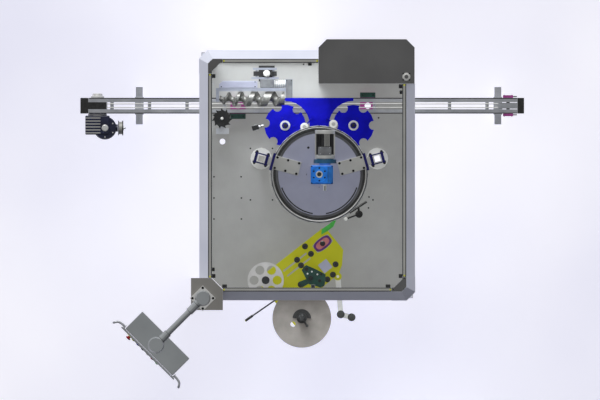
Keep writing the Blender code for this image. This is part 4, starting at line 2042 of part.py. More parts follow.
def head_motor(carrier):
    """A finned motor with a flange, two end bands and a terminal box."""
    z = HEAD_BOSS_TOP + SEAT_GAP + HEAD_MOTOR_RISE
    x = HEAD_MOTOR_X
    start_y = HEAD_GEAR_Y[1] + HEAD_MOTOR_GAP
    flange_end = start_y + HEAD_MOTOR_FLANGE_LENGTH
    barrel = rod(HEAD_MOTOR_RADIUS, (x, flange_end - BITE, z), (x, HEAD_MOTOR_END, z))
    joined = [
        rod(HEAD_MOTOR_FLANGE, (x, start_y, z), (x, flange_end, z)),
        rod(
            HEAD_MOTOR_RADIUS + HEAD_MOTOR_FIN, (x, flange_end + FREE_GAP, z),
            (x, flange_end + FREE_GAP + HEAD_MOTOR_BAND, z),
        ),
        rod(
            HEAD_MOTOR_RADIUS + HEAD_MOTOR_FIN, (x, HEAD_MOTOR_END - HEAD_MOTOR_BAND, z),
            (x, HEAD_MOTOR_END, z),
        ),
    ]
    first = flange_end + FREE_GAP + HEAD_MOTOR_BAND
    step = (HEAD_MOTOR_END - HEAD_MOTOR_BAND - first) / HEAD_MOTOR_FINS
    for i in range(1, HEAD_MOTOR_FINS):
        y = first + step * i
        joined.append(
            rod(HEAD_MOTOR_RADIUS + FREE_GAP, (x, y, z), (x, y + HEAD_MOTOR_FIN, z), PIN_ROUND)
        )
    wide, long, tall = HEAD_TERMINAL
    middle = flange_end + HEAD_TERMINAL_START + long / 2
    joined.append(block((wide, long, tall), (x, middle, z + HEAD_MOTOR_RADIUS + tall / 2 - FREE_GAP)))
    node("head_motor", "motor_paint", barrel, joined, carrier=carrier)


# Label unit


def label_post(radius, place, z, sides=PIN_ROUND):
    return post(radius, label_point(*place), z, sides)


LABEL_DECK = LABEL_PLATE_Z[1] + SEAT_GAP
LABEL_HIGH = LABEL_DECK + LABEL_PLATE_TALL


def label_column():
    """A square column on a foot, with the shelf that carries the label plate."""
    turn = LABEL_TURN
    side, wall = LABEL_COLUMN_SIDE, LABEL_COLUMN_WALL
    height = LABEL_COLUMN_TOP - TABLE_SEAT
    column = block((side, side, height), (*LABEL_COLUMN, TABLE_SEAT + height / 2), turn)
    foot = block(
        (LABEL_FOOT_SIDE, LABEL_FOOT_SIDE, LABEL_FOOT_THICKNESS),
        (*LABEL_COLUMN, TABLE_SEAT + LABEL_FOOT_THICKNESS / 2), turn,
    )
    shelf_top = LABEL_PLATE_Z[0] - SEAT_GAP
    shelf = block(
        (LABEL_SHELF_SIDE, LABEL_SHELF_SIDE, LABEL_SHELF_THICKNESS),
        (*LABEL_COLUMN, shelf_top - LABEL_SHELF_THICKNESS / 2), turn,
    )
    hollow = block(
        (side - 2 * wall, side - 2 * wall, height),
        (*LABEL_COLUMN, TABLE_SEAT - wall + height / 2), turn,
    )
    node("label_column", "head_paint", column, [foot, shelf], [hollow])


def motor_outline(grow):
    """The feed motor's barrel-shaped outline, grown by a margin."""
    half_u, half_v = LABEL_MOTOR_LENGTH / 2 + grow, LABEL_MOTOR_WIDTH / 2 + grow
    bulge = LABEL_MOTOR_BULGE
    points = []
    for way in (1, -1):
        for i in range(7):
            u = way * half_u * (1 - i / 3)
            points.append((u, way * (half_v + bulge * (1 - (u / half_u) ** 2))))
    return [(LABEL_MOTOR[0] + u, LABEL_MOTOR[1] + v) for u, v in points]


def label_plate():
    """The label unit's deck with its guide rollers, nip roller, brake rod and dancer lug."""
    outline = [(a * LABEL_PLATE_LENGTH, b * LABEL_PLATE_HALF) for a, b in LABEL_OUTLINE_SHARES]
    clear = LABEL_COLUMN_SIDE / 2 + SEAT_GAP
    loops = [
        outline,
        rectangle((-clear, clear), (-clear, clear)),
        motor_outline(SEAT_GAP),
        *[slot(LABEL_SLOT_U, v, LABEL_SLOT_WIDTH) for v in LABEL_SLOT_ROWS],
    ]
    for place in (FEED_ROLLER, REEL_CENTRE, REWIND_CENTRE):
        loops.append(circle(bore_radius(LABEL_PIN), PIN_ROUND, place))
    deck = slab(loops, LABEL_PLATE_Z, LABEL_COLUMN, LABEL_TURN)
    stand_z = (LABEL_PLATE_Z[1] - BITE, LABEL_HIGH)
    joined = [label_post(GUIDE_ROLLER_RADIUS, place, stand_z) for place in GUIDE_ROLLERS]
    joined.append(label_post(NIP_ROLLER_RADIUS, NIP_ROLLER, stand_z))
    joined.append(label_post(DANCER_LUG, DANCER_PIVOT, LABEL_PLATE_Z, ROUND))
    height = LABEL_PLATE_Z[1] + BRAKE_ROD_RISE
    start_point, end_point = (label_point(*point) for point in BRAKE_ROD)
    joined.append(
        rod(BRAKE_ROD_RADIUS, (*start_point, height), (*end_point, height), SMALL_ROUND)
    )
    joined.append(label_post(BRAKE_GRIP_RADIUS, BRAKE_ROD[0], (stand_z[0], height + BITE), SMALL_ROUND))
    run = Vector((*end_point, height)) - Vector((*start_point, height))
    run.normalize()
    grip_end = Vector((*end_point, height)) + run * BITE
    joined.append(rod(BRAKE_GRIP_RADIUS, grip_end - run * BRAKE_GRIP_LENGTH, grip_end, SMALL_ROUND))
    through = (LABEL_PLATE_Z[0] - OVERRUN, LABEL_PLATE_Z[1] + OVERRUN)
    bore = label_post(bore_radius(DANCER_PIN), DANCER_PIVOT, through, PIN_ROUND)
    node("label_plate", "yellow_paint", deck, joined, [bore])


def label_feed_motor():
    """The feed motor, hung through the label plate by its lip."""
    low = LABEL_PLATE_Z[0] - LABEL_MOTOR_DEPTH
    lip_z = (LABEL_DECK, LABEL_DECK + LABEL_MOTOR_LIP_HEIGHT)
    body = slab([motor_outline(0)], (low, lip_z[1]), LABEL_COLUMN, LABEL_TURN)
    lip = slab([motor_outline(LABEL_MOTOR_LIP)], lip_z, LABEL_COLUMN, LABEL_TURN)
    core = label_post(
        LABEL_MOTOR_CORE, LABEL_MOTOR, (lip_z[1] - BITE, lip_z[1] + LABEL_MOTOR_CORE_HEIGHT), PIN_ROUND
    )
    reach_u, reach_v = LABEL_MOTOR_LENGTH / 3, LABEL_MOTOR_WIDTH / 4
    bolts = [
        label_post(
            STAR_BOLT_RADIUS, (LABEL_MOTOR[0] + su * reach_u, LABEL_MOTOR[1] + sv * reach_v),
            (lip_z[1] - BITE, lip_z[1] + STAR_BOLT_HEIGHT), SMALL_ROUND,
        )
        for su in (-1, 1)
        for sv in (-1, 1)
    ]
    node("label_feed_motor", "purple_paint", body, [lip, core, *bolts])


def label_joint(name, place):
    return joint(name, (*label_point(*place), LABEL_DECK))


def label_pin(place):
    """The journal that seats a turning piece in the label plate."""
    return label_post(LABEL_PIN, place, (LABEL_DECK - LABEL_PIN_DEPTH, LABEL_DECK + BITE), PIN_ROUND)


def feed_roller():
    carrier = label_joint("feed_roller_spin", FEED_ROLLER)
    body = label_post(FEED_ROLLER_RADIUS, FEED_ROLLER, (LABEL_DECK, LABEL_HIGH), ROUND)
    node("feed_roller", "black_rubber", body, [label_pin(FEED_ROLLER)], carrier=carrier)


def label_reel_disc():
    """The supply reel's disc with its core, two-jaw chuck, knob and locking lever."""
    carrier = label_joint("label_reel_spin", REEL_CENTRE)
    disc_z = (LABEL_DECK + REEL_RISE, LABEL_DECK + REEL_RISE + REEL_DISC)
    centre = label_point(*REEL_CENTRE)
    hole = circle(REEL_HOLE, PIN_ROUND, polar(REEL_HOLE_PITCH, 214.0))
    disc = slab([circle(REEL_RADIUS, WIDE_ROUND), hole], disc_z, centre)
    chuck_top = disc_z[1] + REEL_CHUCK_HEIGHT
    jaw = arc((0, 0), REEL_CHUCK, -5, 185, 8)
    chuck = slab([jaw], (disc_z[1] - BITE, chuck_top), centre)
    core = label_post(REEL_CORE, REEL_CENTRE, (LABEL_DECK, LABEL_HIGH), PIN_ROUND)
    knob_top = LABEL_HIGH + REEL_KNOB_HEIGHT
    knob = label_post(REEL_KNOB, REEL_CENTRE, (LABEL_HIGH - BITE, knob_top), PIN_ROUND)
    height = knob_top - REEL_LEVER_RADIUS * 2
    tip = polar(REEL_LEVER, 305.0, centre)
    lever = rod(REEL_LEVER_RADIUS, (*centre, height), (*tip, height), SMALL_ROUND)
    node(
        "label_reel_disc", "disc_grey", disc,
        [chuck, core, knob, lever, label_pin(REEL_CENTRE)], carrier=carrier,
    )


def rewind_disc():
    """The backing rewinder: a disc with round windows on a slim hub."""
    carrier = label_joint("rewind_spin", REWIND_CENTRE)
    disc_z = (LABEL_DECK + REEL_RISE, LABEL_DECK + REEL_RISE + REEL_DISC)
    windows = [
        circle(REWIND_HOLE, PIN_ROUND, polar(REWIND_HOLE_PITCH, 360 * i / REWIND_HOLES))
        for i in range(REWIND_HOLES)
    ]
    disc = slab([circle(REWIND_RADIUS, WIDE_ROUND), *windows], disc_z, label_point(*REWIND_CENTRE))
    hub = label_post(REWIND_HUB, REWIND_CENTRE, (LABEL_DECK, LABEL_HIGH), PIN_ROUND)
    node("rewind_disc", "disc_grey", disc, [hub, label_pin(REWIND_CENTRE)], carrier=carrier)


def dancer_arm():
    """The spring dancer under the deck, with two upright rollers at its end."""
    pivot = label_point(*DANCER_PIVOT)
    top = LABEL_PLATE_Z[0] - SEAT_GAP
    carrier = joint("dancer_swing", (*pivot, top))
    z = (top - DANCER_THICKNESS, top)
    places = [(pivot[0] + x, pivot[1] + y) for x, y in DANCER_ROLLERS]
    half = DANCER_WIDTH / 2

    def link(first, last):
        run = Vector(last) - Vector(first)
        turn = math.atan2(run.y, run.x)
        centre = (Vector(first) + Vector(last)) / 2
        size = (run.length, DANCER_WIDTH - 2 * BITE, DANCER_THICKNESS - 2 * BITE)
        return block(size, (*centre, sum(z) / 2), turn)

    joined = [link(pivot, places[0]), link(places[0], places[1])]
    joined += [post(half, place, z, PIN_ROUND) for place in places]
    joined += [
        post(DANCER_ROLLER_RADIUS, place, (z[1] - BITE, LABEL_HIGH), SMALL_ROUND)
        for place in places
    ]
    joined.append(post(DANCER_PIN, pivot, (z[1] - BITE, LABEL_DECK + FREE_GAP), PIN_ROUND))
    node("dancer_arm", "stainless", post(half, pivot, z, PIN_ROUND), joined, carrier=carrier)


def peel_plate():
    """The wedge that peels labels beside the carousel."""
    z = (LABEL_DECK, LABEL_HIGH)
    node("peel_plate", "green_paint", slab([PEEL_OUTLINE], z, LABEL_COLUMN, LABEL_TURN))


def wiping_brush():
    """A brush strip and a wiping roller on a post from the table."""
    run = Vector(BRUSH_END) - Vector(BRUSH_START)
    centre = (Vector(BRUSH_END) + Vector(BRUSH_START)) / 2
    strip = block(
        (run.length, BRUSH_THICKNESS, BRUSH_Z[1] - BRUSH_Z[0]), (*centre, sum(BRUSH_Z) / 2),
        math.atan2(run.y, run.x),
    )
    upright = post(BRUSH_POST_RADIUS, BRUSH_POST, (TABLE_SEAT, BRUSH_Z[1]), PIN_ROUND)
    foot = post(BRUSH_FOOT_RADIUS, BRUSH_POST, (TABLE_SEAT, TABLE_SEAT + BRUSH_FOOT_HEIGHT), PIN_ROUND)
    arm = rod(BRUSH_ARM_RADIUS, (*BRUSH_POST, BRUSH_ARM_Z), (*centre, BRUSH_ARM_Z), SMALL_ROUND)
    side_arm = rod(
        BRUSH_ARM_RADIUS, (*BRUSH_POST, BRUSH_ARM_Z), (*WIPE_ROLLER, BRUSH_ARM_Z), SMALL_ROUND
    )
    roller = post(WIPE_ROLLER_RADIUS, WIPE_ROLLER, BRUSH_Z, PIN_ROUND)
    node("wiping_brush", "black_plastic", strip, [upright, foot, arm, side_arm, roller])


# Console


def heading_point(along, across, centre):
    """A point in front of the console's back, and across towards its right side."""
    forward = (math.cos(CONSOLE_TURN), math.sin(CONSOLE_TURN))
    right = (forward[1], -forward[0])
    return (
        centre[0] + along * forward[0] + across * right[0],
        centre[1] + along * forward[1] + across * right[1],
    )


ARM_BASE = PILLAR_TOP + CONSOLE_FLANGE_THICKNESS + SEAT_GAP
ARM_AXIS_Z = ARM_BASE + CONSOLE_DOME_HEIGHT / 2


def console_arm(carrier):
    """A swivelling tube arm from the pillar's flange to the elbow over the console."""
    dome_top = ARM_BASE + CONSOLE_DOME_HEIGHT
    dome = post(
        CONSOLE_DOME_RADIUS, CONSOLE_PIVOT, (ARM_BASE, dome_top), ROUND,
        CONSOLE_DOME_RADIUS - CONSOLE_SPIGOT / 2,
    )

    def level(along):
        return (*heading_point(along, 0, CONSOLE_PIVOT), ARM_AXIS_Z)

    elbow_top = dome_top
    joined = [
        rod(CONSOLE_SLEEVE_RADIUS, level(0), level(CONSOLE_SLEEVE_END), PIN_ROUND),
        rod(CONSOLE_TUBE_RADIUS, level(0), level(CONSOLE_ARM_LENGTH), PIN_ROUND),
        rod(
            CONSOLE_SLEEVE_RADIUS, level(CONSOLE_ARM_LENGTH - CONSOLE_END_SLEEVE),
            level(CONSOLE_ARM_LENGTH), PIN_ROUND,
        ),
        post(
            CONSOLE_ELBOW_RADIUS, CONSOLE_ELBOW, (ARM_BASE, elbow_top), ROUND,
            CONSOLE_ELBOW_RADIUS - CONSOLE_SPIGOT / 2,
        ),
    ]
    socket = post(
        bore_radius(CONSOLE_SPIGOT), CONSOLE_ELBOW,
        (ARM_BASE - OVERRUN, ARM_BASE + CONSOLE_SPIGOT_DEPTH + SEAT_GAP), PIN_ROUND,
    )
    node("console_arm", "grey_enamel", dome, joined, [socket], carrier)


CONSOLE_CENTRE = heading_point(-CONSOLE_SHIFT, 0, CONSOLE_ELBOW)
CONSOLE_FACE = CONSOLE_DEPTH / 2 + CONSOLE_PANEL_THICKNESS


def console_box(carrier):
    """The hanging console: a hollow case with a wider front panel, a screen recess and grips."""
    turn = CONSOLE_TURN
    height = CONSOLE_Z[1] - CONSOLE_Z[0]
    middle = sum(CONSOLE_Z) / 2
    wall = CONSOLE_WALL
    case = block((CONSOLE_DEPTH, CONSOLE_WIDTH, height), (*CONSOLE_CENTRE, middle), turn)
    room = block(
        (CONSOLE_DEPTH - 2 * wall, CONSOLE_WIDTH - 2 * wall, height - 2 * wall - CONSOLE_RECESS),
        (*CONSOLE_CENTRE, middle - CONSOLE_RECESS / 2), turn,
    )
    lid = block(
        (CONSOLE_DEPTH - 2 * CONSOLE_RIM, CONSOLE_WIDTH - 2 * CONSOLE_RIM, CONSOLE_RECESS * 2),
        (*CONSOLE_CENTRE, CONSOLE_Z[1]), turn,
    )
    panel_centre = heading_point(CONSOLE_FACE - CONSOLE_PANEL_THICKNESS / 2, 0, CONSOLE_CENTRE)
    panel = block(
        (CONSOLE_PANEL_THICKNESS, CONSOLE_PANEL_WIDTH, height + 2 * CONSOLE_PANEL_MARGIN),
        (*panel_centre, middle), turn,
    )
    screen_centre = heading_point(CONSOLE_FACE, SCREEN_OFFSET, CONSOLE_CENTRE)
    screen = block(
        (2 * SCREEN_RECESS, SCREEN_WIDTH, SCREEN_HEIGHT), (*screen_centre, middle + SCREEN_RISE), turn
    )
    neck = post(
        CONSOLE_NECK_RADIUS, CONSOLE_ELBOW, (CONSOLE_Z[1] - CONSOLE_RECESS - BITE, ARM_BASE - SEAT_GAP)
    )
    spigot = post(
        CONSOLE_SPIGOT, CONSOLE_ELBOW, (ARM_BASE - BITE, ARM_BASE + CONSOLE_SPIGOT_DEPTH), PIN_ROUND
    )
    cable = post(
        CONSOLE_CABLE_HOLE, heading_point(-CONSOLE_DEPTH / 4, CONSOLE_WIDTH / 4, CONSOLE_CENTRE),
        (CONSOLE_Z[0] - OVERRUN, CONSOLE_Z[0] + wall * 2), PIN_ROUND,
    )
    grips = []
    low, high = CONSOLE_Z[0] + GRIP_INSET, CONSOLE_Z[1] - GRIP_INSET
    for side in (-1, 1):
        edge = side * (CONSOLE_WIDTH / 2 - BITE)
        out = side * (CONSOLE_PANEL_WIDTH / 2 + GRIP_REACH - GRIP_RADIUS)
        root = heading_point(GRIP_ROOT, edge, CONSOLE_CENTRE)
        end = heading_point(GRIP_ROOT + GRIP_FORWARD, out, CONSOLE_CENTRE)
        for z in (low, high):
            grips.append(rod(GRIP_RADIUS - BITE, (*root, z), (*end, z), SMALL_ROUND))
        grips.append(post(GRIP_RADIUS, end, (low - GRIP_INSET / 2, high + GRIP_INSET / 2), PIN_ROUND))
    stop_x, stop_y = heading_point(CONSOLE_FACE, STOP_OFFSET, CONSOLE_CENTRE)
    back_x, back_y = heading_point(CONSOLE_FACE - STOP_BODY, STOP_OFFSET, CONSOLE_CENTRE)
    stop_hole = rod(
        bore_radius(STOP_STEM), (back_x, back_y, STOP_Z),
        (*heading_point(CONSOLE_FACE + OVERRUN, STOP_OFFSET, CONSOLE_CENTRE), STOP_Z), PIN_ROUND,
    )
    node(
        "console_box", "grey_enamel", case, [panel, *grips],
        [room, lid, screen, cable, stop_hole], carrier, [neck, spigot],
    )
    return (stop_x, stop_y, STOP_Z)


def emergency_stop(place, console):
    """A mushroom button whose stem runs in the console's panel."""
    carrier = joint("emergency_stop_press", place, console)

    def level(along):
        return (*heading_point(CONSOLE_FACE + along, STOP_OFFSET, CONSOLE_CENTRE), STOP_Z)

    head = rod(
        STOP_RADIUS, level(STOP_STAND_OFF), level(STOP_STAND_OFF + STOP_HEAD), PIN_ROUND,
        STOP_RADIUS - BITE,
    )
    stem = rod(STOP_STEM, level(-STOP_STAND_OFF), level(STOP_STAND_OFF + BITE), PIN_ROUND)
    node("emergency_stop", "signal_red", head, [stem], carrier=carrier)


def bounds(pieces):
    """The world box of the pieces as they are evaluated."""
    graph = bpy.context.evaluated_depsgraph_get()
    low, high = Vector((math.inf,) * 3), Vector((-math.inf,) * 3)
    for piece in pieces:
        evaluated = piece.evaluated_get(graph)
        for vertex in evaluated.data.vertices:
            point = evaluated.matrix_world @ vertex.co
            low = Vector(map(min, low, point))
            high = Vector(map(max, high, point))
    return low, high


def stand_on_floor():
    """Move the machine so that its box's floor centre lies at the world's origin."""
    low, high = bounds([piece for piece in PARTS.objects if piece.type == "MESH"])
    MACHINE.location = (-(low.x + high.x) / 2, -(low.y + high.y) / 2, -low.z)


def main():
    base_frame()
    covers()
    table_plate()
    rear_left_frame()
    front_right_frame()
    doors()
    panes()
    console_pillar()
    electrical_cabinet()
    cabinet_door()

    conveyor_frame()
    belt("front_belt", -1)
    belt("rear_belt", 1)
    pulleys()
    stand("infeed_stand", STAND_X[0])
    stand("outfeed_stand", STAND_X[1])
    conveyor_support("infeed_conveyor_support", SUPPORT_X[0], -1)
    conveyor_support("outfeed_conveyor_support", SUPPORT_X[1], 1)
    conveyor_gearmotor()
    variator_handwheel()

    carriage = joint("screw_adjust", (sum(SLIDE_BLOCK_X) / 2, SLIDE_PLATE_Y[1], SLIDE_ROD_Z))
    screw_carriage(carriage)
    infeed_screw(carriage)
    screw_slide_base()
    screw_adjust_knob()
    gate_bracket()
    gate_star()
    stars()
    centre_guide()

    carousel_base()
    carousel_table(joint("carousel_spin", (0, 0, CAROUSEL_Z[0])))
    head_lift = joint("head_lift", (0, 0, HEAD_Z[0]))
    head_rotor(joint("head_rotor_spin", (0, 0, ROTOR_Z[0]), head_lift))
    head_plate(head_lift)
    head_gearbox(head_lift)
    head_motor(head_lift)
    head_column("left_head_column", -1)
    head_column("right_head_column", 1)

    label_column()
    label_plate()
    label_feed_motor()
    feed_roller()
    label_reel_disc()
    rewind_disc()
    dancer_arm()
    peel_plate()
    wiping_brush()

    console_swing = joint("console_arm_swing", (*CONSOLE_PIVOT, ARM_BASE))
    console_arm(console_swing)
    console_turn = joint("console_turn", (*CONSOLE_ELBOW, ARM_BASE), console_swing)
    stop_place = console_box(console_turn)
    emergency_stop(stop_place, console_turn)
    stand_on_floor()


main()
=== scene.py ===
"""Dresses the rotary labelling machine: finishes, turned and moulded pieces, lights and floor.

Every place is in metres from the carousel's axis, +X the way the bottles travel, +Y towards the
electrical cabinet and +Z up from the floor, so a piece stands where the frame's own node stands.
"""

import math

import bpy
from bpy.props import FloatProperty, FloatVectorProperty, IntProperty, PointerProperty
from bpy.types import Operator, Panel, PropertyGroup
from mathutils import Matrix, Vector


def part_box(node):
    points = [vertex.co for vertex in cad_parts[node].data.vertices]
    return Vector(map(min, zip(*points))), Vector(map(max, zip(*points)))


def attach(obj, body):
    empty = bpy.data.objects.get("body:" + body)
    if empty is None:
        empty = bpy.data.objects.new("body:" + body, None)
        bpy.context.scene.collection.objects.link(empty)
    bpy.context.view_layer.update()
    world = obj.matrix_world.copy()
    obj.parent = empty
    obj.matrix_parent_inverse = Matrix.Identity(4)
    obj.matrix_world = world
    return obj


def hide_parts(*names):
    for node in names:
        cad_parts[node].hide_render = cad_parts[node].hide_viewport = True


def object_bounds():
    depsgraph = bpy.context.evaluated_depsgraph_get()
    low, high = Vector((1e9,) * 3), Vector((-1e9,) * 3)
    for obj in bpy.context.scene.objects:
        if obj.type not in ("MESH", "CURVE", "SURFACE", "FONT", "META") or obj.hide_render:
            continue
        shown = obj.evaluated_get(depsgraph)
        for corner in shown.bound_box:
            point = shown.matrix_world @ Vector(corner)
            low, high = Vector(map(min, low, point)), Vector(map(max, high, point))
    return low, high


bl_info = {
    "name": "Rotary labelling machine",
    "version": (1, 0, 0),
    "blender": (4, 5, 0),
    "location": "3D View > Sidebar > Labeller",
    "description": "Builds the visible pieces of a rotary bottle labelling machine on its frame",
    "category": "Object",
}

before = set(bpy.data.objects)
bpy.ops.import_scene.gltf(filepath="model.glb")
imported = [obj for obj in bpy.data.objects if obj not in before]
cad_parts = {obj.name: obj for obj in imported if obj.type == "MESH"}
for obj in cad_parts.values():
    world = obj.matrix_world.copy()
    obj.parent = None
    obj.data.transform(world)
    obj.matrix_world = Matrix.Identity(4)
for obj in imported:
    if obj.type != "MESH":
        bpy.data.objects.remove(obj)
CAD_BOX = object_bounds()


def middle_of(name):
    low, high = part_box(name)
    return (low[0] + high[0]) / 2, (low[1] + high[1]) / 2


AXIS = middle_of("carousel_table")

# Levels above the floor
TABLE = 0.800
PULLEY_Z = 0.9245
DECK = 1.0303
ROLLER_TOP = 1.1653
DOOR_TOP = 1.892
GUARD_TOP = 2.000

# Places and turns seen from above
CONVEYOR_Y = 0.5187
STAR_X = 0.258
STAR_Y = 0.3687
LABEL_COLUMN = (0.045, -0.693)
LABEL_TURN = math.radians(38.1)
CONSOLE_PIVOT = (-0.880, -0.935)
CONSOLE_TURN = math.radians(225)
ARM_ANGLES = (15.2, 164.8)


# Placing


def at(x, y, z=0.0):
    """A point of the machine as a point of the world."""
    return Vector((x + AXIS[0], y + AXIS[1], z))


def polar(radius, angle, centre=(0, 0)):
    turn = math.radians(angle)
    return centre[0] + radius * math.cos(turn), centre[1] + radius * math.sin(turn)


def turned_point(along, across, centre, turn):
    return (
        centre[0] + along * math.cos(turn) - across * math.sin(turn),
        centre[1] + along * math.sin(turn) + across * math.cos(turn),
    )


def on_label(u, v):
    """A point of the label unit, along and across its own direction from its column."""
    return turned_point(u, v, LABEL_COLUMN, LABEL_TURN)


def on_console(forward, right):
    """A point in front of and to the right of the console's swivel."""
    elbow = turned_point(0.500, 0, CONSOLE_PIVOT, CONSOLE_TURN)
    return turned_point(forward - 0.016, -right, elbow, CONSOLE_TURN)


# Working with Blender's own tools


def clear_selection():
    if bpy.context.object and bpy.context.object.mode != "OBJECT":
        bpy.ops.object.mode_set(mode="OBJECT")
    bpy.ops.object.select_all(action="DESELECT")


def pick(*pieces):
    clear_selection()
    for piece in pieces:
        piece.select_set(True)
    bpy.context.view_layer.objects.active = pieces[0]


def settle(piece):
    """Put the piece's place into its mesh."""
    pick(piece)
    bpy.ops.object.transform_apply(location=True, rotation=True, scale=True)
    return piece


def apply_modifier(piece, kind, **settings):
    pick(piece)
    modifier = piece.modifiers.new(kind.lower(), kind)
    for name, value in settings.items():
        setattr(modifier, name, value)
    bpy.ops.object.modifier_apply(modifier=modifier.name)
    return piece


def round_edges(piece, width, segments=2, angle=35):
    """Break the sharp edges, as a file or a mould does."""
    return apply_modifier(
        piece, "BEVEL", width=width, segments=segments, limit_method="ANGLE",
        angle_limit=math.radians(angle), use_clamp_overlap=True,
    )


def block(size, centre, turn=0.0, edge=0.002, segments=2):
    clear_selection()
    bpy.ops.mesh.primitive_cube_add(size=1, location=at(*centre), rotation=(0, 0, turn), scale=size)
    piece = settle(bpy.context.object)
    return round_edges(piece, edge, segments) if edge else piece


def span(x, y, z, edge=0.002, segments=2):
    """A block given by its limits."""
    size = (x[1] - x[0], y[1] - y[0], z[1] - z[0])
    return block(size, (sum(x) / 2, sum(y) / 2, sum(z) / 2), 0.0, edge, segments)


def drum(radius, centre, z, sides=48, edge=0.001, top=None):
    """An upright cylinder, or a cone where its top radius differs."""
    clear_selection()
    bpy.ops.mesh.primitive_cone_add(
        vertices=sides, radius1=radius, radius2=radius if top is None else top,
        depth=z[1] - z[0], location=at(*centre, sum(z) / 2),
    )
    piece = settle(bpy.context.object)
    return round_edges(piece, edge) if edge else piece


def bar(radius, start, end, sides=32, edge=0.001, end_radius=None):
    """A cylinder between two points."""
    first, last = at(*start), at(*end)
    run = last - first
    clear_selection()
    bpy.ops.mesh.primitive_cone_add(
        vertices=sides, radius1=radius, radius2=radius if end_radius is None else end_radius,
        depth=run.length, location=(first + last) / 2,
        rotation=run.to_track_quat("Z", "Y").to_euler(),
    )
    piece = settle(bpy.context.object)
    return round_edges(piece, edge) if edge else piece


def new_mesh(name, points, edges=(), faces=()):
    mesh = bpy.data.meshes.new(name)
    mesh.from_pydata([tuple(point) for point in points], list(edges), list(faces))
    piece = bpy.data.objects.new(name, mesh)
    bpy.context.scene.collection.objects.link(piece)
    return piece


def edit_all(piece):
    pick(piece)
    bpy.ops.object.mode_set(mode="EDIT")
    bpy.ops.mesh.select_all(action="SELECT")


def leave_edit():
    bpy.ops.mesh.select_all(action="SELECT")
    bpy.ops.mesh.normals_make_consistent(inside=False)
    bpy.ops.object.mode_set(mode="OBJECT")


def sheet(outline, z, edge=0.001, segments=2):
    """A level plate cut to an outline and extruded to its thickness."""
    points = [at(x, y, z[0]) for x, y in outline]
    piece = new_mesh("sheet", points, faces=[list(range(len(points)))])
    edit_all(piece)
    bpy.ops.mesh.extrude_region_move(TRANSFORM_OT_translate={"value": (0, 0, z[1] - z[0])})
    leave_edit()
    return round_edges(piece, edge, segments) if edge else piece


def lathe(profile, centre, steps=64, axis=(0, 0, 1)):
    """A turned piece from (radius, distance along the axis) points."""
    origin = at(*centre) if len(centre) == 3 else at(*centre, 0)
    along = Vector(axis).normalized()
    side = along.orthogonal().normalized()
    points = [origin + side * radius + along * reach for radius, reach in profile]
    edges = [(i, i + 1) for i in range(len(points) - 1)]
    piece = new_mesh("turned", points, edges)
    edit_all(piece)
    bpy.ops.mesh.spin(steps=steps, angle=2 * math.pi, center=origin, axis=along)
    bpy.ops.mesh.select_all(action="SELECT")
    bpy.ops.mesh.remove_doubles(threshold=0.00002)
    leave_edit()
    return piece


def pipe(points, radius, smooth=True, sides=3):
    """A bent tube through points, with closed ends."""
    curve = bpy.data.curves.new("pipe", "CURVE")
    curve.dimensions = "3D"
    curve.bevel_depth = radius
    curve.bevel_resolution = sides
    curve.use_fill_caps = True
    curve.resolution_u = 10
    spline = curve.splines.new("BEZIER" if smooth else "POLY")
    if smooth:
        spline.bezier_points.add(len(points) - 1)
        for knot, point in zip(spline.bezier_points, points):
            knot.co = at(*point)
            knot.handle_left_type = knot.handle_right_type = "AUTO"
    else:
        spline.points.add(len(points) - 1)
        for knot, point in zip(spline.points, points):
            knot.co = (*at(*point), 1)
    piece = bpy.data.objects.new("pipe", curve)
    bpy.context.scene.collection.objects.link(piece)
    pick(piece)
    bpy.ops.object.convert(target="MESH")
    return bpy.context.object


def copy_to(piece, shifts):
    """The piece and a copy of it for each shift, each with its own mesh."""
    made = []
    for shift in shifts:
        twin = piece.copy()
        twin.data = piece.data.copy()
        bpy.context.scene.collection.objects.link(twin)
        twin.location = Vector(shift)
        made.append(settle(twin))
    bpy.data.objects.remove(piece, do_unlink=True)
    return made


def spread(piece, points, origin=(0, 0)):
    """Copies of an upright piece made at an origin, one at each level point."""
    return copy_to(piece, [(x - origin[0], y - origin[1], 0) for x, y in points])


def cut(piece, *tools):
    for tool in tools:
        apply_modifier(piece, "BOOLEAN", operation="DIFFERENCE", object=tool, solver="EXACT")
        bpy.data.objects.remove(tool, do_unlink=True)
    return piece


def paint(piece, material):
    piece.data.materials.clear()
    piece.data.materials.append(material)
    return piece


def join(*pieces):
    """One piece of several, each keeping its own finish."""
    pick(*pieces)
    bpy.ops.object.join()
    return bpy.context.object


def done(piece, name, body, look=None, stands_for=(), angle=35):
    """Join a list of pieces to one, then finish it, shade it, name it and hang it on its body."""
    if isinstance(piece, list):
        piece = join(*piece)
    if look:
        paint(piece, FINISHES[look])
    pick(piece)
    bpy.ops.object.shade_smooth_by_angle(angle=math.radians(angle))
    apply_modifier(piece, "WEIGHTED_NORMAL", keep_sharp=True)
    piece.name = piece.data.name = name
    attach(piece, body)
    if stands_for:
        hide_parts(*stands_for)
    clear_selection()
    return piece


# Finishes


def linear(code):
    """An sRGB hex value as linear light."""
    shades = [int(code[i : i + 2], 16) / 255 for i in (0, 2, 4)]
    return tuple(
        s / 12.92 if s <= 0.04045 else ((s + 0.055) / 1.055) ** 2.4 for s in shades
    ) + (1.0,)


def add_node(tree, kind, inputs=None, **settings):
    """One node with its settings, and its inputs set to values or linked to other outputs."""
    node = tree.nodes.new(kind)
    for name, value in settings.items():
        setattr(node, name, value)
    for name, value in (inputs or {}).items():
        if isinstance(value, bpy.types.NodeSocket):
            tree.links.new(value, node.inputs[name])
        else:
            node.inputs[name].default_value = value
    return node


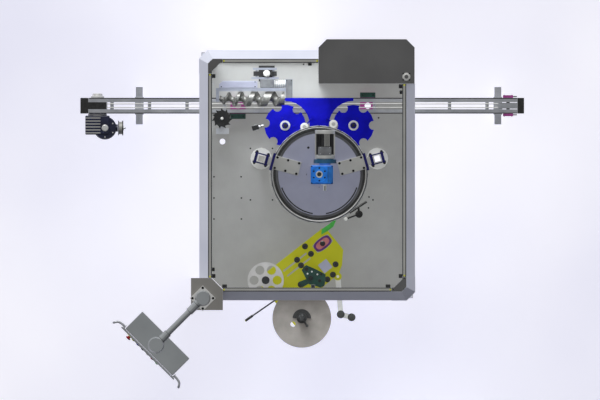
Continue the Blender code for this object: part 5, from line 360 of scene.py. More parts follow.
def surface(
    name, colours, roughness, tone=0.2, skin=0.004, depth=0.0001, stretch=(1, 1, 1), rings=False,
    **sockets,
):
    """A finish whose colour drifts over tone metres, with a skin that varies over skin metres."""
    material = bpy.data.materials.new(name)
    material.use_nodes = True
    tree = material.node_tree
    shader = tree.nodes["Principled BSDF"]
    for socket, value in sockets.items():
        shader.inputs[socket.replace("_", " ")].default_value = value
    place = add_node(tree, "ShaderNodeTexCoord").outputs["Object"]

    wide = add_node(tree, "ShaderNodeMapping", {"Vector": place, "Scale": (1 / tone,) * 3})
    drift = add_node(
        tree, "ShaderNodeTexNoise", {"Vector": wide.outputs["Vector"], "Scale": 1.0, "Detail": 3.0},
    )
    share = add_node(
        tree, "ShaderNodeMapRange",
        {"Value": drift.outputs["Fac"], "From Min": 0.3, "From Max": 0.7},
    )
    first, second = (code if isinstance(code, tuple) else linear(code) for code in colours)
    mix = add_node(
        tree, "ShaderNodeMix", {0: share.outputs["Result"], 6: first, 7: second}, data_type="RGBA",
    )
    tree.links.new(mix.outputs[2], shader.inputs["Base Color"])

    near = add_node(
        tree, "ShaderNodeMapping",
        {"Vector": place, "Scale": tuple(1 / (skin * s) for s in stretch)},
    )
    if rings:
        texture = add_node(
            tree, "ShaderNodeTexWave",
            {"Vector": near.outputs["Vector"], "Scale": 1.0, "Distortion": 6.0},
            wave_type="RINGS", rings_direction="Z",
        )
    else:
        texture = add_node(
            tree, "ShaderNodeTexNoise",
            {"Vector": near.outputs["Vector"], "Scale": 1.0, "Detail": 2.5},
        )
    height = texture.outputs["Fac"]
    low, high = roughness
    spread_over = (0.0, 1.0) if rings else (0.3, 0.7)
    rough = add_node(
        tree, "ShaderNodeMapRange",
        {
            "Value": height, "From Min": spread_over[0], "From Max": spread_over[1], "To Min": low,
            "To Max": high,
        },
    )
    tree.links.new(rough.outputs["Result"], shader.inputs["Roughness"])
    bump = add_node(tree, "ShaderNodeBump", {"Height": height, "Strength": 1.0, "Distance": depth})
    tree.links.new(bump.outputs["Normal"], shader.inputs["Normal"])
    return material


def powder_coat(name, colour, shade, roughness=0.42, peel=0.004):
    """Powder-coated steel: an orange-peel skin a few millimetres across, faintly uneven in tone."""
    return surface(
        name, (colour, shade), (roughness - 0.06, roughness + 0.08), 0.35, peel, 0.00018,
        Coat_Weight=0.15, Coat_Roughness=0.3,
    )


def cast_enamel(name, colour, shade, roughness=0.38, grit=0.006):
    """Enamelled iron or aluminium casting: a coarse skin, darker where the enamel pools."""
    return surface(
        name, (colour, shade), (roughness, roughness + 0.18), 0.05, grit, 0.0005,
        Coat_Weight=0.3, Coat_Roughness=0.2,
    )


def ground_steel(name, colour, shade, roughness=0.34, along=(40, 1, 1), line=0.0012, metallic=0.4):
    """Stainless steel ground one way: fine lines that draw the reflections out across them."""
    return surface(
        name, (colour, shade), (roughness - 0.08, roughness + 0.14), 0.12, line, 0.00005, along,
        Metallic=metallic,
    )


def bead_blasted(name, colour, shade, metallic=1.0, roughness=0.45):
    """Blasted and anodised aluminium: an even, fine matt grain with soft clouds in it."""
    return surface(
        name, (colour, shade), (roughness - 0.05, roughness + 0.1), 0.18, 0.0015, 0.00006,
        Metallic=metallic,
    )


def milled_plastic(name, colour, shade, roughness=0.4, swirl=0.003, sheen=0.5):
    """Dense plastic plate: the cutter's faint swirls, and a dull sheen where bottles rub it."""
    return surface(
        name, (colour, shade), (roughness - 0.04, roughness + 0.08), 0.08, swirl * 12, 0.00003,
        rings=True,
        IOR=1.50, Specular_IOR_Level=sheen,
    )


def soft_rubber(name, colour, shade):
    """Moulded rubber: dull all over, faintly dusty on its high spots."""
    return surface(name, (colour, shade), (0.68, 0.82), 0.02, 0.004, 0.0002, IOR=1.52)


def clear_polycarbonate(name, tint, shade):
    """Extruded polycarbonate sheet: clear, with faint waves that move the reflections."""
    return surface(
        name, (tint, shade), (0.03, 0.06), 0.30, 0.15, 0.0004, (1, 1, 6), IOR=1.58,
        Transmission_Weight=0.95,
    )


def lit_glass(name, colour, shade):
    """The screen's toughened glass over a dark panel: one hard, clear reflection."""
    return surface(
        name, (colour, shade), (0.06, 0.10), 0.09, 0.12, 0.00002, IOR=1.52, Coat_Weight=1.0,
        Coat_Roughness=0.03,
    )


def poured_floor(name, near, far):
    """A pale poured floor: matt, with soft clouds, lit a little from within to soften shadows."""
    material = surface(name, (near, far), (0.86, 0.94), 3.2, 0.02, 0.0001, Emission_Strength=0.42)
    tree = material.node_tree
    shader = tree.nodes["Principled BSDF"]
    tree.links.new(
        shader.inputs["Base Color"].links[0].from_socket, shader.inputs["Emission Color"],
    )
    return material


FINISHES = {}


def make_finishes():
    """Every finish by the name that the pieces ask for."""
    looks = bpy.context.scene.labeller_looks
    guard, cabinet, head, star, deck = (
        (*colour, 1.0)
        for colour in (looks.guard, looks.cabinet, looks.head, looks.star, looks.deck)
    )
    FINISHES.update({
        "frame_coat": powder_coat("powder_coated_guard_steel", guard, "D2D6E4"),
        "grey_coat": powder_coat("powder_coated_grey_steel", "8A8884", "7E7C78", 0.5),
        "cabinet_coat": powder_coat("textured_cabinet_coat", cabinet, "545454", 0.6, 0.003),
        "gusset_coat": powder_coat("powder_coated_gusset", "5C5C5C", "525252", 0.55),
        "carriage_coat": powder_coat("powder_coated_carriage", "8C909C", "7E828E", 0.45),
        "console_coat": powder_coat("powder_coated_console", "9A9EA0", "8C9092", 0.4),
        "deck_coat": powder_coat("powder_coated_yellow_deck", deck, "A8A800", 0.5),
        "table_steel": ground_steel(
            "ground_table_steel", "9E9E9C", "999997", 0.6, (1, 40, 1), 0.0016, 0.1,
        ),
        "steel": ground_steel("ground_stainless_steel", "C8CACE", "A9ACB2"),
        "upright_steel": ground_steel(
            "ground_stainless_uprights", "C8CACE", "A9ACB2", 0.3, (1, 1, 40),
        ),
        "turned_steel": ground_steel("turned_steel", "D0D2D4", "A4A6AA", 0.26, (6, 6, 1), 0.0008),
        "dark_steel": ground_steel("blackened_steel", "1C1C1E", "111113", 0.45, (6, 6, 1)),
        "rotor_steel": ground_steel("dark_rotor_steel", "6E6F72", "505154", 0.4, (6, 6, 1), 0.002),
        "screw_steel": ground_steel(
            "turned_screw_steel", "8E8E8A", "6C6C6A", 0.28, (40, 1, 1), 0.001,
        ),
        "head_alloy": bead_blasted("anodised_head_plate", head, "9395A6", 0.2, 0.45),
        "arm_alloy": bead_blasted("blasted_arm_alloy", "B8B8B4", "A8A8A4", 0.3, 0.5),
        "pale_alloy": bead_blasted("blasted_pale_alloy", "E4E4E2", "CDCDCA", 0.4, 0.42),
        "blue_plate": milled_plastic("milled_blue_plastic", star, "000090", 0.55, sheen=0.15),
        "navy_plate": milled_plastic("milled_navy_plastic", "14145E", "0C0C48", 0.35),
        "white_plastic": milled_plastic("milled_white_plastic", "E4E4E0", "D2D2CC", 0.45),
        "black_plastic": milled_plastic("moulded_black_plastic", "161616", "0C0C0C", 0.55),
        "disc_plastic": milled_plastic("grey_disc_plastic", "86817C", "76716C", 0.5),
        "clear_disc": milled_plastic("frosted_disc_plastic", "C4C3C2", "B2B1B0", 0.35),
        "signal_yellow": milled_plastic("moulded_yellow_plastic", "D8D83C", "C4C42C", 0.45),
        "signal_red": milled_plastic("moulded_red_plastic", "A01226", "860E1E", 0.3),
        "gearbox_enamel": cast_enamel("blue_gearbox_enamel", "1E86EC", "0E66C4"),
        "teal_enamel": cast_enamel("teal_flange_enamel", "2A6286", "1E4C6A"),
        "motor_enamel": cast_enamel("grey_motor_enamel", "77797C", "5A5C60"),
        "dark_enamel": cast_enamel("dark_motor_enamel", "2C2C2E", "1A1A1C"),
        "navy_enamel": cast_enamel("navy_gear_enamel", "20243F", "14172C"),
        "green_enamel": cast_enamel("green_block_enamel", "063A30", "042A22", 0.5),
        "lime_coat": cast_enamel("green_peel_enamel", "4CB04C", "389038", 0.35),
        "magenta_coat": cast_enamel("magenta_bracket_enamel", "A2408C", "843072", 0.4),
        "violet_enamel": cast_enamel("violet_motor_enamel", "5E2A72", "44185A"),
        "salmon_enamel": cast_enamel("salmon_motor_enamel", "B87070", "9C5858"),
        "rubber": soft_rubber("black_rubber", "141514", "2A2B2A"),
        "clear_sheet": clear_polycarbonate("clear_polycarbonate", "E8F0F4", "E0EAF0"),
        "screen_glass": lit_glass("screen_glass", "10181E", "1C2830"),
    })


# Sizes and colours a user would change


class LABELLER_looks(PropertyGroup):
    guard: FloatVectorProperty(
        name="Guard", description="Coat of the guard's headers and covers", subtype="COLOR", min=0,
        max=1,
        default=linear("DFE2EE")[:3],
    )
    cabinet: FloatVectorProperty(
        name="Cabinet", description="Coat of the electrical cabinet", subtype="COLOR", min=0, max=1,
        default=linear("5F5F5F")[:3],
    )
    head: FloatVectorProperty(
        name="Head plate", description="Anodised colour of the head plate", subtype="COLOR", min=0,
        max=1,
        default=linear("9C9EB0")[:3],
    )
    star: FloatVectorProperty(
        name="Star wheels", description="Plastic of the stars and the guide", subtype="COLOR",
        min=0, max=1,
        default=linear("0606AE")[:3],
    )
    deck: FloatVectorProperty(
        name="Label deck", description="Coat of the label unit's deck", subtype="COLOR", min=0,
        max=1,
        default=linear("B2B200")[:3],
    )
    sun: FloatProperty(
        name="Key light", description="Strength of the light over the cabinet side", default=3.1,
    )
    soft: FloatProperty(
        name="Soft light", description="Power of the overhead panel", default=7.0, unit="POWER",
    )
    ambient: FloatProperty(
        name="Ambient", description="Strength of the room's own light", default=0.05,
    )
    room: FloatVectorProperty(
        name="Room", description="Colour of the room's light", subtype="COLOR",
        default=(0.93, 0.94, 1.0)
    )


class LABELLER_sizes(PropertyGroup):
    pane: FloatProperty(
        name="Pane", description="Thickness of the guard's sheets", default=0.006, unit="LENGTH",
    )
    handle: FloatProperty(
        name="Handle", description="Radius of a door's handle bar", default=0.007, unit="LENGTH",
    )
    head_disc: FloatProperty(
        name="Head disc", description="Radius of the head's disc", default=0.310, unit="LENGTH",
    )
    plate: FloatProperty(
        name="Bottle plate", description="Radius of a bottle plate", default=0.0355, unit="LENGTH",
    )
    reel: FloatProperty(
        name="Label reel", description="Radius of the label reel's disc", default=0.222,
        unit="LENGTH",
    )
    fins: IntProperty(
        name="Motor fins", description="Cooling fins on the head's motor", default=28, min=8,
        max=60,
    )
    bristles: IntProperty(
        name="Bristles", description="Rows of bristle on the wiping brush", default=26, min=4,
        max=60,
    )


FLOOR_SIZE = 40
FLOOR_DROP = 0.002
CAMERA_HEIGHT = 9
VIEW_CENTRE = (-0.1457, -0.1933)
VIEW_WIDTH = 4.53
KEY_LIGHT_FROM = (-0.16, 0.83, 0.56)
SOFT_PANEL_SIZE = (5.0, 4.0)
SOFT_PANEL_OVER = 3.2


class LABELLER_OT_stage(Operator):
    """Set the pale floor, the soft lights and the camera that looks straight down"""

    bl_idname = "labeller.stage"
    bl_label = "Stage"

    def execute(self, context):
        looks = context.scene.labeller_looks
        scene = context.scene
        top = CAD_BOX[1][2]
        clear_selection()
        bpy.ops.mesh.primitive_plane_add(size=FLOOR_SIZE, location=(0, 0, -FLOOR_DROP))
        floor = settle(bpy.context.object)
        edit_all(floor)
        bpy.ops.mesh.subdivide(number_cuts=6)
        leave_edit()
        paint(floor, poured_floor("poured_floor", "F4F3FA", "DCDCEC"))
        floor.name = "studio_floor"

        camera = bpy.data.objects.new("camera_over", bpy.data.cameras.new("camera_over"))
        scene.collection.objects.link(camera)
        camera.data.type = "ORTHO"
        camera.data.ortho_scale = VIEW_WIDTH
        camera.data.clip_end = FLOOR_SIZE
        camera.location = (*at(*VIEW_CENTRE).xy, CAMERA_HEIGHT)
        scene.camera = camera

        sun = bpy.data.objects.new("key_sun", bpy.data.lights.new("key_sun", "SUN"))
        scene.collection.objects.link(sun)
        sun.data.energy = looks.sun
        sun.data.angle = math.radians(12)
        sun.data.use_shadow = False
        sun.data.cycles.use_multiple_importance_sampling = False
        sun.rotation_euler = Vector(KEY_LIGHT_FROM).to_track_quat("Z", "Y").to_euler()

        panel = bpy.data.objects.new("soft_panel", bpy.data.lights.new("soft_panel", "AREA"))
        scene.collection.objects.link(panel)
        panel.data.energy = looks.soft
        panel.data.shape = "RECTANGLE"
        panel.data.size, panel.data.size_y = SOFT_PANEL_SIZE
        panel.location = (-0.4, 0.6, top + SOFT_PANEL_OVER)

        world = bpy.data.worlds.new("room")
        world.use_nodes = True
        scene.world = world
        background = world.node_tree.nodes["Background"]
        background.inputs["Color"].default_value = (*looks.room, 1)
        background.inputs["Strength"].default_value = looks.ambient
        scene.view_settings.view_transform = "Standard"
        return {"FINISHED"}


KEPT = {
    "grey_coat": ("base_frame", "console_pillar", "carousel_base"),
    "frame_coat": (
        "front_cover", "rear_cover", "left_cover", "right_cover", "rear_left_frame",
        "front_right_frame",
    ),
    "table_steel": ("table_plate",),
    "clear_sheet": ("infeed_pane", "outfeed_pane"),
    "cabinet_coat": ("electrical_cabinet", "cabinet_door"),
    "steel": ("conveyor_frame", "gate_bracket"),
    "rotor_steel": ("head_rotor",),
    "carriage_coat": ("screw_carriage",),
    "turned_steel": ("carousel_table", "infeed_star_pedestal", "outfeed_star_pedestal"),
    "upright_steel": ("infeed_stand", "outfeed_stand"),
    "pale_alloy": ("left_head_column", "right_head_column", "dancer_arm"),
    "white_plastic": ("front_belt", "rear_belt"),
    "black_plastic": ("screw_slide_base", "gate_star", "drive_pulley", "idler_pulley"),
    "magenta_coat": ("infeed_conveyor_support", "outfeed_conveyor_support"),
    "rubber": ("feed_roller",),
    "blue_plate": ("infeed_star", "outfeed_star", "centre_guide"),
    "head_alloy": ("label_column",),
    "deck_coat": ("label_plate",),
    "clear_disc": ("rewind_disc",),
    "lime_coat": ("peel_plate",),
    "console_coat": ("console_arm",),
}


class LABELLER_OT_frame_finishes(Operator):
    """Give every kept solid of the frame its finish"""

    bl_idname = "labeller.frame_finishes"
    bl_label = "Frame finishes"

    def execute(self, context):
        make_finishes()
        for look, names in KEPT.items():
            for name in names:
                paint(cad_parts[name], FINISHES[look])
        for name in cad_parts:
            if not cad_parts[name].data.materials:
                raise RuntimeError(f"{name} has no finish")
        return {"FINISHED"}


# Each door: hinge, heading, length, bottom, level of its grip, and which side is out
DOORS = {
    "left_door": ((-0.826, -0.770), 90, 1.164, 0.830, 1.361, 1),
    "right_door": ((0.6425, -0.8385), 90, 1.2325, 0.830, 1.361, -1),
    "front_left_door": ((-0.716, -0.8705), 0, 0.6655, 1.300, 1.596, -1),
    "front_right_door": ((0.6105, -0.8705), 180, 0.655, 1.300, 1.596, 1),
    "rear_door": ((-0.794, 0.858), 0, 0.783, 0.830, 1.361, 1),
}


HINGE_GAP = 0.012
EDGE_STRIP = 0.012
GRIP_INSET = 0.045
GRIP_STANDS_OFF = 0.040
GRIP_REACH = 0.110


class LABELLER_OT_doors(Operator):
    """Hang the five clear doors with their edge strips, hinges and bar handles"""

    bl_idname = "labeller.doors"
    bl_label = "Doors"

    def execute(self, context):
        sizes = context.scene.labeller_sizes
        for name, (hinge, heading, length, bottom, grip, out) in DOORS.items():
            turn = math.radians(heading)

            def on_door(along, outward):
                return turned_point(along, outward * out, hinge, turn)

            middle = on_door((HINGE_GAP + length) / 2, 0)
            height = DOOR_TOP - bottom
            pane = block(
                (length - HINGE_GAP, sizes.pane, height), (*middle, bottom + height / 2), turn,
                0.0015
            )
            done(pane, f"{name}_pane", name, "clear_sheet", (name,))
            strips = []
            for low in (bottom, DOOR_TOP - EDGE_STRIP):
                x, y = on_door((0.05 + length) / 2, 0)
                strips.append(block(
                    (length - 0.09, 0.0076, EDGE_STRIP), (x, y, low + EDGE_STRIP / 2), turn, 0.001,
                ))
            edge = block(
                (0.004, 0.009, height - 0.004), (*on_door(length - 0.002, 0), bottom + height / 2),
                turn, 0.001,
            )
            seal = join(edge, *strips)
            done(seal, f"{name}_edge_strips", name, "rubber")
            metal = []
            for share in (0.12, 0.88):
                level = bottom + height * share
                metal.append(drum(0.008, hinge, (level - 0.018, level + 0.018), 24, 0.0015))
                metal.append(drum(0.0045, hinge, (level - 0.0179, level + 0.0195), 20, 0.001))
                for side in (-1, 1):
                    x, y = on_door(0.024, 0.005 * side)
                    metal.append(block((0.036, 0.0035, 0.034), (x, y, level), turn, 0.0012))
                    for along in (0.018, 0.033):
                        start, end = on_door(along, 0.0067 * side), on_door(along, 0.0085 * side)
                        metal.append(bar(0.003, (*start, level), (*end, level), 12, 0.0006))
            root, bend, bow, inside, outside = (
                on_door(length - GRIP_INSET, away)
                for away in (0.003, 0.034, GRIP_STANDS_OFF, -0.006, 0.006)
            )
            foot, head = grip - GRIP_REACH, grip + GRIP_REACH
            path = [
                (*root, foot), (*bend, foot), (*bow, foot + 0.010),
                (*bow, head - 0.010), (*bend, head), (*root, head),
            ]
            metal.append(pipe(path, sizes.handle, False, 4))
            for level in (foot, head):
                metal.append(bar(0.011, (*inside, level), (*outside, level), 24, 0.0015))
            done(metal, f"{name}_hardware", name, "upright_steel")
        return {"FINISHED"}


# Places on the guard's headers, and of the table's screws in the picture's pixels
HEADER_STRIPS = (
    ((-0.8400, -0.8105), (-0.7800, 0.7605)), ((-0.7285, -0.0075), (0.8425, 0.8720)),
    ((0.6270, 0.6565), (-0.7730, 0.6840)), ((-0.7270, 0.5450), (-0.8845, -0.8550)),
)
SWITCHES = ((-0.803, -0.717), (-0.071, 0.835), (0.6195, 0.6205), (-0.0475, -0.8475))
CORNERS = ((-0.906, 0.938, 1, -1), (0.7225, -0.9505, -1, 1))
TABLE_SCREWS = (
    (214, 176.8), (214, 198), (214, 219), (241.1, 176.8), (241.4, 198), (241.4, 219),
    (250.4, 148.4),
    (272.5, 148.4), (250.4, 199.9), (272.5, 199.9), (378.6, 117.8), (369, 197), (373, 199.9),
    (368.5, 207.9),
    (303.6, 64.3), (309.2, 64.3),
)
LATCHES = (
    (-0.8020, 0.7430), (-0.8020, -0.7670), (-0.7150, -0.8460), (0.5190, -0.8460), (0.6180, -0.7670),
    (0.6180, 0.6650),
)
STRIP_TAGS = (
    (-0.8253, 0.7520), (-0.8253, -0.7720), (-0.7200, 0.8572), (-0.0170, 0.8572), (0.6418, 0.6750),
    (0.6418, -0.7640), (-0.7190, -0.8698), (0.5370, -0.8698),
)


PIXEL = 0.00755
PICTURE_AXIS = (319.3, 174.4)


def socket_screw(radius, z, socket, socket_floor, sides=24, past=0.002):
    """A cap screw at the machine's axis, with a hexagon socket cut into its head."""
    head = drum(radius, (0, 0), z, sides, 0.001)
    return cut(head, bar(socket, (0, 0, socket_floor), (0, 0, z[1] + past), 6, 0))


class LABELLER_OT_guard_fittings(Operator):
    """Fit the door switches, latches, header seals and trim, corner gussets and table screws"""

    bl_idname = "labeller.guard_fittings"
    bl_label = "Guard fittings"

    def execute(self, context):
        bodies, faces = [], []
        for x, y in SWITCHES:
            bodies.append(block((0.031, 0.031, 0.0250), (x, y, 1.8902), 0, 0.003))
            bodies.append(drum(0.007, (x, y), (1.866, 1.878), 20, 0.001))
            for side in (-1, 1):
                faces.append(block(
                    (0.012, 0.0008, 0.010), (x, y + side * 0.0158, 1.890), 0, 0.0003, 1,
                ))
                faces.append(block(
                    (0.0008, 0.012, 0.010), (x + side * 0.0158, y, 1.890), 0, 0.0003, 1,
                ))
        for x, y in LATCHES:
            bodies.append(block((0.036, 0.031, 0.0290), (x, y, 1.8872), 0, 0.004, 3))
            bodies.append(drum(0.0090, (x, y), (1.9010, 1.9045), 20, 0.001))
        for x, y in STRIP_TAGS:
            faces.append(block((0.0125, 0.0125, 0.0012), (x, y, GUARD_TOP + 0.0029), 0, 0.0004, 1))
        done(bodies, "door_switches", "machine", "black_plastic")
        done(faces, "door_switch_faces", "machine", "signal_yellow")

        gussets, screws = [], []
        for x, y, x_way, y_way in CORNERS:
            outline = [
                (0.1010, 0.0655), (0.1760, 0.0655), (0.1760, 0.0970), (0.1580, 0.0970),
                (0.0970, 0.1580), (0.0970, 0.1760), (0.0655, 0.1760), (0.0655, 0.1010),
            ]
            plate = sheet(
                [(x + x_way * a, y + y_way * b) for a, b in outline],
                (GUARD_TOP + 0.0022, GUARD_TOP + 0.0037), 0.0006,
            )
            gussets.append(plate)
            for a, b in ((0.085, 0.085), (0.165, 0.081), (0.081, 0.165)):
                head = drum(
                    0.0042, (x + x_way * a, y + y_way * b),
                    (GUARD_TOP + 0.0035, GUARD_TOP + 0.0060), 20, 0.0008,
                )
                screws.append(head)
        edges, trims = [], []
        for x, y in HEADER_STRIPS:
            edges.append(span(x, y, (GUARD_TOP + 0.0002, GUARD_TOP + 0.0014), 0.0004, 1))
            inner = [(low + 0.0065, high - 0.0065) for low, high in (x, y)]
            trims.append(span(*inner, (GUARD_TOP + 0.0012, GUARD_TOP + 0.0024), 0.0004, 1))
        done(edges, "header_seals", "machine", "rubber")
        done(trims, "header_trim_strips", "machine", "arm_alloy")
        corner = sheet(
            [(-0.8115, -0.7812), (-0.7272, -0.7812), (-0.7272, -0.8650)], (TABLE - 0.020, TABLE),
            0.001,
        )
        done(corner, "table_corner_plate", "machine", "table_steel")
        done(gussets, "corner_gussets", "machine", "gusset_coat")
        done(screws, "gusset_screws", "machine", "dark_steel")

        head = socket_screw(0.0062, (TABLE - 0.0005, TABLE + 0.0060), 0.0030, TABLE + 0.0030, 20)
        places = [
            ((x - PICTURE_AXIS[0]) * PIXEL, (PICTURE_AXIS[1] - y) * PIXEL) for x, y in TABLE_SCREWS
        ]
        done(spread(head, places), "table_cap_screws", "machine", "dark_steel")
        return {"FINISHED"}


def lobes(radius, swell, count, centre):
    """The outline of a lobed knob."""
    return [
        polar(radius + swell * math.cos(math.radians(count * a)), a, centre)
        for a in range(0, 360, 6)
    ]


class LABELLER_OT_stars(Operator):
    """Top the star wheels with hub rings, lobed knobs and screws, and the guide with its pads"""

    bl_idname = "labeller.stars"
    bl_label = "Stars and guide"

    def execute(self, context):
        for name, side, phase in (("infeed_star", -1, 53), ("outfeed_star", 1, 0.5)):
            centre = (side * STAR_X, STAR_Y)
            ring = lathe(
                [
                    (0.0240, 1.1763), (0.0365, 1.1763), (0.0385, 1.1783), (0.0385, 1.1855),
                    (0.0365, 1.1878), (0.0250, 1.1878), (0.0240, 1.1868), (0.0240, 1.1763),
                ],
                centre, 72,
            )
            done(ring, f"{name}_hub_ring", name, "pale_alloy")
            knob = sheet(lobes(0.0215, 0.0035, 5, centre), (1.1880, 1.2100), 0.003, 3)
            collar = drum(0.0130, centre, (1.1870, 1.2125), 40, 0.0015)
            done([knob, collar], f"{name}_knob", name, "black_plastic")
            bolts = []
            for level in (1.044, 1.176):
                z = (level - 0.0005, level + 0.0065)
                head = socket_screw(0.0075, z, 0.0036, level + 0.003, past=0.0025)
                places = [polar(0.060, phase + 120 * (i + 0.5), centre) for i in range(3)]
                bolts += spread(head, places)
            done(bolts, f"{name}_screws", name, "dark_steel")
        pads, caps = [], []
        for centre in ((-0.112, 0.358), (0.107, 0.3805)):
            pads.append(lathe(
                [
                    (0.0125, 1.2385), (0.0285, 1.2385), (0.0312, 1.2412), (0.0312, 1.2520),
                    (0.0290, 1.2550), (0.0160, 1.2550), (0.0125, 1.2535), (0.0125, 1.2385),
                ],
                centre, 64,
            ))
            caps.append(drum(0.0145, centre, (1.2380, 1.2570), 40, 0.0015))
            caps.append(drum(0.0040, centre, (1.2560, 1.2600), 6, 0.0008))
        done(pads, "hold_down_pads", "machine", "white_plastic")
        done(caps, "hold_down_pad_caps", "machine", "arm_alloy")
        screws = [
            drum(0.006, p, (1.1755, 1.1815), 24, 0.001) for p in ((-0.058, 0.514), (0.056, 0.514))
        ]
        done(screws, "centre_guide_screws", "machine", "dark_steel")
        return {"FINISHED"}


class LABELLER_OT_carousel(Operator):
    """Fit the bottle plates' ribbed pads, the bells, the rotor's rim and nuts, and a black ring of
    painted shade in the rotor's groove
    """

    bl_idname = "labeller.carousel"
    bl_label = "Carousel"

    def execute(self, context):
        sizes = context.scene.labeller_sizes
        radius = sizes.plate
        profile = [
            (0.0, 0.9990), (radius + 0.0006, 0.9990), (radius + 0.0006, 1.0006),
            (radius - 0.002, 1.0016),
        ]
        for i in range(5):
            edge = radius - 0.006 - 0.005 * i
            profile += [(edge + 0.0012, 1.0016), (edge, 1.0008), (edge - 0.0012, 1.0016)]
        profile.append((0.0, 1.0016))
        places = [polar(0.300, 11 + 30 * i) for i in range(12)]
        pad = lathe(profile, (0, 0), 48)
        done(spread(pad, places), "bottle_plate_pads", "carousel_table", "rubber")
        bell = lathe(
            [
                (0.0195, 1.2335), (0.0275, 1.2335), (0.0290, 1.2350), (0.0290, 1.2410),
                (0.0283, 1.2420), (0.0283, 1.2600), (0.0250, 1.2735), (0.0120, 1.2830),
                (0.0085, 1.2830),
            ],
            (0, 0), 40,
        )
        bell = apply_modifier(bell, "SOLIDIFY", thickness=0.0006, offset=1.0)
        done(spread(bell, places), "centring_bells", "head_rotor", "white_plastic")
        rim = lathe(
            [
                (0.3475, 1.4400), (0.3510, 1.4460), (0.3540, 1.4468), (0.3672, 1.4335),
                (0.3675, 1.4255), (0.3600, 1.4255), (0.3475, 1.4400),
            ],
            (0, 0), 160,
        )
        done(rim, "rotor_rim", "head_rotor", "pale_alloy")
        # Painted shade: a black rubber ring laid flush in the groove inside the rim, dark where the
        # groove lies in shade
        groove = lathe(
            [
                (0.3290, 1.4405), (0.3460, 1.4405), (0.3460, 1.4462), (0.3290, 1.4462),
                (0.3290, 1.4405),
            ],
            (0, 0), 160,
        )
        done(groove, "rotor_groove_shade_ring", "head_rotor", "rubber")
        nut = drum(0.0125, (0, 0), (1.4490, 1.4555), 6, 0.001)
        done(spread(nut, places), "bell_rod_nuts", "head_rotor", "dark_steel")
        return {"FINISHED"}


def arc_points(radius, first, last, count):
    return [polar(radius, first + (last - first) * i / count) for i in range(count + 1)]


HEAD_SLOTS = ((199.3, 260.6), (279.5, 340.7))
HEAD_HOLES = ((-0.083, 0.202, 0.0095), (-0.088, 0, 0.011), (0, -0.086, 0.0115))
COLUMN_RADIUS = 0.454


class LABELLER_OT_head(Operator):
    """Build the head's slotted disc, its two grey arms and the blue clamps on the columns"""

    bl_idname = "labeller.head"
    bl_label = "Head"

    def execute(self, context):
        sizes = context.scene.labeller_sizes
        disc = drum(sizes.head_disc, (0, 0), (1.465, 1.480), 160, 0)
        boss = drum(0.095, (0, 0), (1.480, 1.515), 96, 0)
        disc = apply_modifier(disc, "BOOLEAN", operation="UNION", object=boss, solver="EXACT")
        bpy.data.objects.remove(boss, do_unlink=True)
        tools = [drum(0.045, (0, 0), (1.440, 1.540), 64, 0)]
        for first, last in HEAD_SLOTS:
            outline = arc_points(0.305, first, last, 28) + arc_points(0.295, last, first, 28)
            tools.append(sheet(outline, (1.450, 1.500), 0))
        for x, y, radius in HEAD_HOLES:
            tools.append(drum(radius, (x, y), (1.450, 1.500), 32, 0))
        disc = round_edges(cut(disc, *tools), 0.0015)
        plugs = []
        for first, last in HEAD_SLOTS:
            outline = arc_points(0.3046, first + 0.1, last - 0.1, 28) + arc_points(
                0.2954, last - 0.1, first + 0.1, 28,
            )
            plugs.append(sheet(outline, (1.4665, 1.4780), 0))
        for x, y, radius in HEAD_HOLES:
            plugs.append(drum(
                radius - 0.0003, (x, y), (1.4665, 1.4785 if x else 1.5100), 32, 0.001,
            ))
        done(plugs, "head_slot_seals", "head", "rubber")
        done(disc, "head_disc", "head", "head_alloy", ("head_plate",))

        arms, clamps, screws = [], [], []
        for angle in ARM_ANGLES:
            turn = math.radians(angle)

            def out(along, across=0.0):
                return turned_point(along, across, (0, 0), turn)

            arms.append(block((0.205, 0.107, 0.0298), (*out(0.2545), 1.4952), turn, 0.003))
            arms.append(block((0.030, 0.060, 0.060), (*out(0.387), 1.516), turn, 0.003))
            for along in (0.169, 0.255, 0.338):
                for across in (-0.041, 0.041):
                    screws.append(drum(0.0095, out(along, across), (1.5095, 1.5175), 24, 0.0012))
            for first, last, low, high, width in (
                (0.355, 0.375, 1.483, 1.560, 0.134), (0.4015, 0.4225, 1.425, 1.560, 0.084),
                (0.4855, 0.5065, 1.425, 1.560, 0.084),
            ):
                clamps.append(block(
                    (last - first, width, high - low), (*out((first + last) / 2), (low + high) / 2),
                    turn, 0.0025
                ))
            for across in (-0.0345, 0.0345):
                clamps.append(block(
                    (0.066, 0.010, 0.090), (*out(COLUMN_RADIUS, across), 1.485), turn, 0.0015,
                ))
                for level in (1.450, 1.535):
                    for first, last in ((0.505, 0.5125), (0.4035, 0.3955)):
                        start, end = out(first, across), out(last, across)
                        screws.append(bar(0.0065, (*start, level), (*end, level), 6, 0.001))
        done(arms, "head_arms", "head", "arm_alloy")
        done(clamps, "head_clamps", "head", "navy_plate")
        done(screws, "head_screws", "head", "dark_steel")

        bolts = []
        for angle in ARM_ANGLES:
            centre = polar(COLUMN_RADIUS, angle)
            head = socket_screw(0.0108, (TABLE + 0.0178, TABLE + 0.0330), 0.0048, TABLE + 0.029)
            bolts += spread(head, [polar(0.062, angle + 90 * (i + 0.5), centre) for i in range(4)])
        done(bolts, "column_foot_screws", "machine", "dark_steel")
        return {"FINISHED"}


MOTOR_X = 0.043
MOTOR_Z = 1.6033


